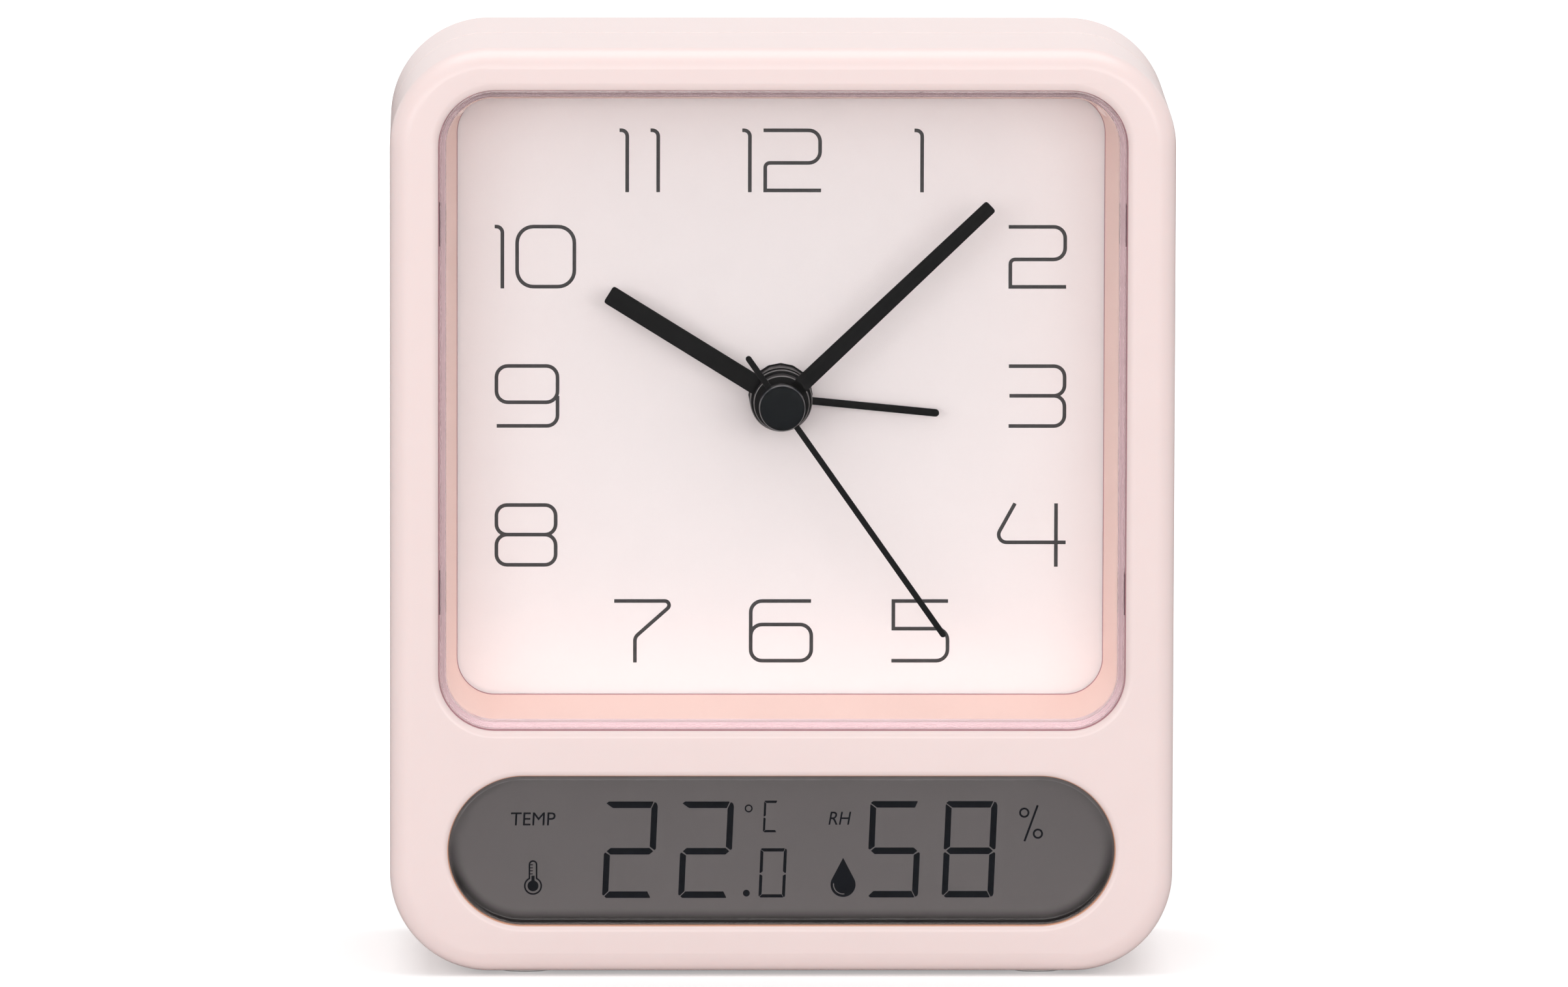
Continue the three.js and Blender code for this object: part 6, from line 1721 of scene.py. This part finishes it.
    def lettering(self, word: str, x: float, z: float, width: float, height: float,
                  face: float) -> Object:
        """Make a short word in plain sans letters, fitted to its place.

        Args:
            word: The word.
            x: Its left edge.
            z: Its bottom.
            width: Its width.
            height: Its height.
            face: The depth of the panel's face.

        Returns:
            The word's piece.
        """
        part = Moulding("display_" + word.lower())
        lean = 0.2 if word == "RH" else 0.05
        part.extrude_flat(flat_word(word, width, height, lean), lambda p: (x + p[0], z + p[1]),
                          face - self.ink, face + self.ink_root)
        return part.piece("housing", [DARK_SEGMENT], "display_glass")

    def dress(self) -> None:
        """Finish the panel and what lies behind it."""
        self.coat(POLARISER, "lcd_panel")
        self.coat(BLACK_ABS, "lcd_frame", "humidity_sensor")
        self.coat(ELASTOMER, "zebra_strip")
        self.coat(SOLDER_MASK, "display_board")


@dataclass
class Knob(SubAssembly):
    """A fluted setting knob with a dished top."""

    title: str = "time set knob"
    flutes: int = 14
    steps: int = 12
    flute_depth: float = 0.35
    flute_half: float = 0.34
    edge: float = 0.6
    edge_share: float = 0.92
    dish: float = 4.9
    dish_depth: float = 0.4
    bore: float = 1.32
    socket: float = 2.6

    def ring(self, radius: float, y: float, scale: float = 1.0, fluted: bool = True) -> list[Solid]:
        """Draw a ring about the knob's axis.

        Args:
            radius: Its radius.
            y: Its depth.
            scale: Its size against that radius.
            fluted: Whether it has flutes.

        Returns:
            Its points.
        """
        count = self.flutes * self.steps
        points = []
        for k in range(count):
            share = k / self.steps % 1.0
            near = min(min(share, 1 - share) / self.flute_half, 1.0)
            dip = cos(near * pi / 2) ** 2
            reach = scale * (radius - (self.flute_depth * dip if fluted else 0.0))
            angle = TAU * k / count
            points.append((self.x + reach * cos(angle), y, self.z + reach * sin(angle)))
        return points

    def build(self) -> None:
        """Make the knob."""
        low, high = span(self.node)
        self.x, self.z = (low.x + high.x) / 2, (low.z + high.z) / 2
        radius = (high.x - low.x) / 2 + 0.01
        front, rear = low.y, high.y
        part = Moulding(self.node + "_fluted")
        rows = [self.ring(self.bore, front + self.socket, fluted=False),
                self.ring(self.bore, front, fluted=False), self.ring(radius, front)]
        for k in range(7):
            angle = k / 6 * pi / 2
            rows.append(self.ring(radius, rear - self.edge * (1 - sin(angle)),
                                  1 - (1 - self.edge_share) * (1 - cos(angle))))
        rows += [self.ring(self.dish + 0.15, rear, fluted=False),
                 self.ring(self.dish, rear - 0.1, fluted=False),
                 self.ring(self.dish - 0.5, rear - self.dish_depth, fluted=False)]
        part.wall(rows)
        part.sheet(rows[0])
        part.sheet(rows[-1])
        for k in range(3):
            angle = radians(90 * k + 45)
            arrow = outline(1.0, 0.5, 0.2, 3)
            c, s = cos(angle), sin(angle)
            points = [(self.x + (2.6 + u) * c - v * s, self.z + (2.6 + u) * s + v * c)
                      for u, v in arrow]
            part.slab(points, rear - self.dish_depth + 0.2, rear - self.dish_depth - 0.05)
        self.add(part.piece(self.node.removesuffix("_knob"), [WHITE_ACETAL],
                            "white_acetal", [self.node]))


@dataclass
class Switch(SubAssembly):
    """The alarm switch: a ribbed slider on a stem."""

    title: str = "alarm switch"
    ribs: int = 3
    pitch: float = 2.0
    groove: float = 0.8
    groove_depth: float = 0.4
    edge: float = 0.3
    head: float = 2.3

    def build(self) -> None:
        """Make the slider."""
        low, high = span("alarm_switch")
        rear, front = high.y, high.y - self.head
        middle = (low.x + high.x) / 2
        half_x, half_z = (high.x - low.x) / 2, (high.z - low.z) / 2
        profile = [(-half_x, front), (half_x, front), (half_x, rear - self.edge),
                   (half_x - 0.09, rear - 0.09), (half_x - self.edge, rear)]
        for k in range(self.ribs):
            place = (1 - k) * self.pitch
            half = self.groove / 2
            profile += [(place + half + 0.1, rear), (place + half, rear - 0.1),
                        (place + half - 0.1, rear - self.groove_depth),
                        (place - half + 0.1, rear - self.groove_depth),
                        (place - half, rear - 0.1), (place - half - 0.1, rear)]
        profile += [(self.edge - half_x, rear), (0.09 - half_x, rear - 0.09),
                    (-half_x, rear - self.edge)]
        mid_z = (low.z + high.z) / 2
        part = Moulding("alarm_switch_slider")
        small = shrunk(profile, 0.2)
        rings = [[(middle + x, y, mid_z + level) for x, y in points]
                 for points, level in ((small, -half_z), (profile, 0.2 - half_z),
                                       (profile, half_z - 0.2), (small, half_z))]
        part.wall(rings)
        part.sheet(rings[0])
        part.sheet(rings[-1])
        stem = outline(3.0, 2.0, 0.2, 3, middle, mid_z)
        part.slab(stem, low.y, front + 0.1)
        self.add(part.piece("alarm_switch", [BLACK_ABS], "black_plastic", ["alarm_switch"]))


@dataclass
class Button(SubAssembly):
    """The unit button: a domed cap on a flange."""

    title: str = "unit button"
    radius: float = 3.0
    flange: float = 3.8
    rim: float = 0.8
    crown: float = 0.35

    def build(self) -> None:
        """Make the button."""
        low, high = span("unit_button")
        x, z = (low.x + high.x) / 2, (low.z + high.z) / 2
        top = high.y
        dome = [(self.radius * sin(k / 12 * pi / 2) ** 0.8,
                 top - self.crown * (1 - cos(k / 12 * pi / 2)) ** 1.3)
                for k in range(13)]
        part = Moulding("unit_button_cap")
        part.turned([(0.0, top), *dome[1:], (self.radius, low.y + self.rim),
                     (self.flange, low.y + self.rim), (self.flange, low.y), (0.0, low.y)],
                    x, z, 48)
        self.add(part.piece("unit_button", [WHITE_ACETAL], "white_acetal", ["unit_button"]))


@dataclass
class BatteryDoor(SubAssembly):
    """The battery door: a flat panel that turns on two short trunnions."""

    title: str = "battery door"
    trunnion: float = 0.5
    reach: float = 0.9
    barrel: float = 0.8
    thickness: float = 1.6
    edge: float = 0.35
    groove: Flat = (16.0, 0.9)
    groove_depth: float = 0.5
    latch: Solid = (9.0, 2.6, 0.9)
    latch_drop: float = 1.1

    def build(self) -> None:
        """Make the door."""
        low, high = span("battery_door")
        half = high.x - self.reach
        rear, front = high.y, high.y - self.thickness
        pivot_z = low.z + self.barrel
        panel = Panel(2 * half, high.z - pivot_z, 0.35, z=(high.z + pivot_z) / 2, steps=5)
        part = Moulding("battery_door_panel")
        grooves = [Panel(*self.groove, self.groove[1] / 2, z=high.z - 4 - 2 * k, steps=8)
                   for k in range(3)]
        skin = panel.rounding(self.edge, rear, -1, 6)
        part.sheet(skin[0], [groove.ring(-0.1, rear) for groove in grooves])
        for groove in grooves:
            rings = [groove.ring(-0.1, rear), groove.ring(0, rear - 0.1),
                     groove.ring(0.08, rear - 0.35), groove.ring(0.25, rear - self.groove_depth)]
            part.wall(rings)
            part.sheet(rings[-1])
        part.wall([*skin, panel.ring(0, front + 0.1), panel.ring(0.1, front)])
        part.sheet(panel.ring(0.1, front))
        wide, deep, tall = self.latch
        top = RearCase.door_middle + RearCase.bay[1] / 2 - self.latch_drop
        part.slab(outline(wide, tall, 0.2, 3, 0.0, top - tall / 2), front - deep, front + 0.1)
        part.placing = Matrix.Translation((0, rear - self.barrel, pivot_z)) @ Matrix.Rotation(
            -pi / 2, 4, "Z")
        part.turned([(0.0, -half - self.reach), (self.trunnion - 0.1, -half - self.reach),
                     (self.trunnion, 0.1 - half - self.reach), (self.trunnion, -half),
                     (self.barrel, -half), (self.barrel, half), (self.trunnion, half),
                     (self.trunnion, half + self.reach - 0.1),
                     (self.trunnion - 0.1, half + self.reach), (0.0, half + self.reach)], sides=32)
        self.add(part.piece("battery_door", [PINK_ABS], "case_plastic", ["battery_door"]))


@dataclass
class Cell(SubAssembly):
    """A round cell under printed film, with a crimped rim at its positive end."""

    title: str = "battery upper"
    nub: float = 2.7
    nub_length: float = 1.2
    edge: float = 0.6

    def build(self) -> None:
        """Make the cell."""
        low, high = span(self.node)
        middle = (low + high) / 2
        end, radius = (high.x - low.x) / 2, (high.z - low.z) / 2 + 0.01
        shoulder = end - self.nub_length
        towards = 1 if self.node == "battery_upper" else -1
        part = Moulding(self.node + "_can")
        part.placing = Matrix.Translation(middle) @ Matrix.Rotation(-towards * pi / 2, 4, "Z")
        rim = radius - self.edge
        part.turned([(0.0, -end), (rim - 1.6, -end), (rim - 1.2, 0.2 - end), (rim - 0.3, 0.2 - end),
                     (rim, -end), (radius - 0.15, 0.2 - end), (radius, self.edge - end)],
                    sides=72, finish=1)
        part.turned([(radius, self.edge - end), (radius, shoulder - self.edge),
                     (radius - 0.15, shoulder - 0.2), (rim, shoulder), (rim - 0.5, shoulder)],
                    sides=72)
        part.turned([(rim - 0.5, shoulder), (rim - 0.7, shoulder - 0.3), (self.nub + 0.9, shoulder - 0.3),
                     (self.nub + 0.3, shoulder - 0.1), (self.nub, shoulder + 0.2),
                     (self.nub, end - 0.25), (self.nub - 0.25, end), (0.0, end)], sides=72, finish=1)
        self.add(part.piece("housing", [CELL_FILM, ZINC_STEEL], "cell_jacket", [self.node]))


@dataclass
class Foot(SubAssembly):
    """A round rubber foot with a soft lower edge."""

    title: str = "foot front left"

    def build(self) -> None:
        """Make the foot."""
        low, high = span(self.node)
        middle = (low + high) / 2
        radius = (high.x - low.x) / 2
        part = Moulding(self.node + "_pad")
        part.placing = Matrix.Translation((middle.x, middle.y, 0)) @ Matrix.Rotation(pi / 2, 4, "X")
        part.turned([(0.0, low.z), (radius - 0.35, low.z), (radius - 0.1, low.z + 0.1),
                     (radius, low.z + 0.3), (radius, high.z), (0.0, high.z)], sides=48)
        self.add(part.piece("housing", [FOOT_RUBBER], "foot_rubber", [self.node]))


@dataclass
class Screw(SubAssembly):
    """A case screw with a crossed recess in its domed head."""

    title: str = "rear screw 1"
    shank: float = 0.95
    head: float = 2.0
    head_flat: float = 1.4
    head_height: float = 1.5
    head_side: float = 0.3
    recess_depth: float = 1.0
    pitch: float = 0.7
    thread_depth: float = 0.25

    def build(self) -> None:
        """Make the screw."""
        low, high = span(self.node)
        x, z = (low.x + high.x) / 2, (low.z + high.z) / 2
        top, seat = high.y, high.y - self.head_height
        cross = []
        for k in range(4):
            c, s = cos(k * pi / 2), sin(k * pi / 2)
            cross += [(u * c - v * s, u * s + v * c)
                      for u, v in ((1.05, -0.2), (1.05, 0.2), (0.28, 0.28))]
        flat = [(x + u, z + v) for u, v in cross]
        deep = [(x + 0.45 * u, z + 0.45 * v) for u, v in cross]
        part = Moulding(self.node + "_threaded")
        floor, core = top - self.recess_depth, self.shank - self.thread_depth
        part.sheet(at_depth(circle(self.head_flat, 32, x, z), top), [at_depth(flat, top)])
        part.wall([at_depth(flat, top), at_depth(deep, floor)])
        part.sheet(at_depth(deep, floor))
        dome = [(self.head_flat + (self.head - self.head_flat) * sin(k / 6 * pi / 2),
                 top - (self.head_height - self.head_side) * (1 - cos(k / 6 * pi / 2)))
                for k in range(7)]
        thread = []
        y = seat - 0.5
        while y > low.y + 1.2:
            thread += [(self.shank, y), (core, y - self.pitch / 2)]
            y -= self.pitch
        part.turned([*dome, (self.head, seat), (core, seat), *thread, (0.0, low.y)], x, z, 32)
        self.add(part.piece("housing", [ZINC_STEEL], "steel", [self.node]))


@dataclass
class Carried(SubAssembly):
    """A group of the model's own solids, which only get their finishes."""

    coats: dict[Finish, str] = field(default_factory=dict)

    def dress(self) -> None:
        """Finish the solids, whose names stand in one line for each finish."""
        for finish, names in self.coats.items():
            self.coat(finish, *names.split())


CARRIED = [
    Carried("control internals", coats={SOLDER_MASK: "button_board", TURNED_BRASS: "sounder"}),
    Carried("movement", coats={
        BLACK_ABS: "movement_plate movement_housing",
        WHITE_ACETAL: "centre_wheel intermediate_wheel motion_wheel hour_wheel alarm_wheel "
                      "time_set_gear alarm_set_gear",
        TURNED_BRASS: "third_wheel minute_pipe",
        ZINC_STEEL: "second_wheel coil_core quartz_crystal movement_screw_left "
                    "movement_screw_right",
        STATOR_STEEL: "stator", COPPER_WIRE: "coil", FERRITE: "rotor",
        SOLDER_MASK: "movement_board"}),
    Carried("battery contacts", coats={
        ZINC_STEEL: "contact_plate_upper contact_plate_lower contact_spring_upper "
                    "contact_spring_lower"}),
]


@dataclass
class Studio(SubAssembly):
    """The floor, the soft lights and the camera of the photograph's view."""

    title: str = "studio"
    distance: float = 2500.0
    azimuth: float = -1.0
    elevation: float = 7.7
    roll: float = 0.15
    frame_width: float = 219.6
    aim: Solid = (0.2, -22.0, 68.5)
    sensor: float = 36.0
    world: float = 0.45
    lamp_aim: Solid = (0.0, 0.0, 0.07)
    floor_size: float = 12000.0
    floor_corner: float = 1500.0
    floor_faces: Flat = (-0.05, -20.0)
    glow_reach: Flat = (0.15, 1.2)
    glow: Flat = (0.32, 0.7)

    def build(self) -> None:
        """Make the studio."""
        self.add_floor()
        self.add_world()
        self.add_lamp("overhead_softbox", (0.0, -0.05, 1.5), (1.6, 1.2), 12.5)
        self.add_lamp("front_softbox", (-0.1, -2.2, 0.36), (3.0, 0.6), 19.5)
        self.add_camera()

    def add_floor(self) -> None:
        """Make the pale floor, which keeps the clock's shadow."""
        part = Moulding("floor")
        panel = Panel(self.floor_size, self.floor_size, self.floor_corner, steps=24)
        rings = [[(x, z, level) for x, _, z in panel.ring(0, 0)] for level in self.floor_faces]
        part.mesh.faces.new(part.vertices(rings[0]))
        part.wall(rings)
        part.mesh.faces.new(part.vertices(rings[1]))
        part.weld()
        part.linked([self.paper()])

    def paper(self) -> Material:
        """Build the floor's paper, darker in mirrors and glass, and brighter to the camera.

        Returns:
            The material.
        """
        near, far = self.glow_reach
        material, tree, shader, output = fresh_material("studio_paper")
        place = add_node(tree, "ShaderNodeTexCoord")
        fibre = add_node(tree, "ShaderNodeTexNoise", {"Scale": 900.0, "Detail": 3.0},
                         {"Vector": place.outputs["Object"]})
        tone = add_node(tree, "ShaderNodeMix",
                        {"data_type": "RGBA", 6: linear("#F2F1F1"), 7: linear("#F6F5F5")},
                        {0: fibre.outputs["Fac"]})
        shader.inputs["Roughness"].default_value = 0.9
        shader.inputs["Specular IOR Level"].default_value = 0.1
        path = add_node(tree, "ShaderNodeLightPath")
        mirrored = add_node(tree, "ShaderNodeMix", {"data_type": "RGBA", 7: linear("#4A4948")},
                            {0: path.outputs["Is Glossy Ray"], 6: tone.outputs[2]})
        direct = add_node(tree, "ShaderNodeMath", {"operation": "LESS_THAN", 1: 0.5},
                          {0: path.outputs["Diffuse Depth"]})
        seen = add_node(tree, "ShaderNodeMath", {"operation": "MULTIPLY"},
                        {0: path.outputs["Is Transmission Ray"], 1: direct.outputs["Value"]})
        through = add_node(tree, "ShaderNodeMix", {"data_type": "RGBA", 7: linear("#8A8988")},
                           {0: seen.outputs["Value"], 6: mirrored.outputs[2]})
        tree.links.new(through.outputs[2], shader.inputs["Base Color"])
        away = add_node(tree, "ShaderNodeVectorMath", {"operation": "LENGTH"},
                        {0: place.outputs["Object"]})
        strength = add_node(tree, "ShaderNodeMapRange",
                            {"From Min": near, "From Max": far, "To Min": self.glow[0],
                             "To Max": self.glow[1]}, {"Value": away.outputs["Value"]})
        glow = add_node(tree, "ShaderNodeEmission", {"Color": (1, 1, 1, 1)},
                        {"Strength": strength.outputs["Result"]})
        black = add_node(tree, "ShaderNodeEmission", {"Color": (0, 0, 0, 1), "Strength": 0.0})
        added = add_node(tree, "ShaderNodeMixShader", {},
                         {0: path.outputs["Is Camera Ray"], 1: black.outputs["Emission"],
                          2: glow.outputs["Emission"]})
        both = add_node(tree, "ShaderNodeAddShader", {},
                        {0: shader.outputs["BSDF"], 1: added.outputs["Shader"]})
        tree.links.new(both.outputs["Shader"], output.inputs["Surface"])
        return material

    def add_world(self) -> None:
        """Light the room evenly, with white behind the object."""
        world = bpy.data.worlds.new("room")
        bpy.context.scene.world = world
        world.use_nodes = True
        tree = world.node_tree
        tree.nodes.clear()
        path = add_node(tree, "ShaderNodeLightPath")
        seen = add_node(tree, "ShaderNodeMath", {"operation": "MAXIMUM"},
                        {0: path.outputs["Is Camera Ray"], 1: path.outputs["Is Glossy Ray"]})
        also = add_node(tree, "ShaderNodeMath", {"operation": "MAXIMUM"},
                        {0: seen.outputs["Value"], 1: path.outputs["Is Transmission Ray"]})
        room = add_node(tree, "ShaderNodeBackground", {"Color": (1, 1, 1, 1), "Strength": self.world})
        white = add_node(tree, "ShaderNodeBackground", {"Color": (1, 1, 1, 1), "Strength": 1.0})
        mixed = add_node(tree, "ShaderNodeMixShader", {},
                         {0: also.outputs["Value"], 1: room.outputs["Background"],
                          2: white.outputs["Background"]})
        add_node(tree, "ShaderNodeOutputWorld", {}, {"Surface": mixed.outputs["Shader"]})

    def add_lamp(self, name: str, place: Solid, size: Flat, power: float) -> None:
        """Add a soft area lamp that faces the object.

        Args:
            name: The lamp's name.
            place: Its place, in metres.
            size: Its width and height, in metres.
            power: Its power, in watts.
        """
        data = bpy.data.lights.new(name, "AREA")
        data.shape = "RECTANGLE"
        data.size, data.size_y = size
        data.energy = power
        lamp = bpy.data.objects.new(name, data)
        bpy.context.scene.collection.objects.link(lamp)
        lamp.location = place
        direction = Vector(self.lamp_aim) - Vector(place)
        lamp.rotation_euler = direction.to_track_quat("-Z", "Y").to_euler()

    def add_camera(self) -> None:
        """Add the camera at the photograph's view."""
        azimuth, elevation = radians(self.azimuth), radians(self.elevation)
        aim = Vector(self.aim) * MM
        out = Vector((sin(azimuth) * cos(elevation), -cos(azimuth) * cos(elevation), sin(elevation)))
        data = bpy.data.cameras.new("camera")
        data.sensor_width = self.sensor
        data.lens = self.sensor * self.distance / self.frame_width
        data.clip_end = 50.0
        camera = bpy.data.objects.new("camera", data)
        bpy.context.scene.collection.objects.link(camera)
        camera.location = aim + out * self.distance * MM
        turn = (-out).to_track_quat("-Z", "Y").to_matrix()
        roll = Matrix.Rotation(radians(self.roll), 3, "Z")
        camera.rotation_euler = (turn @ roll).to_euler()
        bpy.context.scene.camera = camera
        bpy.context.scene.view_settings.view_transform = "Standard"


def main() -> None:
    """Build the clock and its studio."""
    logging.basicConfig(level=logging.INFO, format="%(name)s: %(message)s")
    case = Housing()
    front = FrontCase(housing=case)
    groups: list[SubAssembly] = [
        front, RearCase(housing=case), Lens(front_case=front), Dial(),
        Hand("alarm hand", angle=95.6, length=22.4, root=1.05, tip=1.05, bore=2.87,
             round_ends=True),
        Hand("hour hand", angle=301.8, length=28.6, root=2.7, tip=2.7, bore=2.02),
        Hand("minute hand", angle=46.4, length=40.5, root=2.35, tip=1.95, hub=3.95, bore=1.47,
             boss=2.3),
        Hand("second hand", angle=144.9, length=39.9, root=0.84, tip=0.84, tail=8.6, hub=2.2,
             bore=0.62, round_ends=True),
        Cap(), Display(front_case=front), Knob("time set knob"), Knob("alarm set knob"),
        Switch(), Button(), BatteryDoor(), *CARRIED, Cell("battery upper"), Cell("battery lower"),
        *[Foot("foot " + end) for end in ("front left", "front right", "rear left", "rear right")],
        *[Screw(f"rear screw {k}") for k in range(1, 5)], Studio(),
    ]
    for group in groups:
        group.build()
        group.dress()
        group.report()


if __name__ == "__main__":
    main()
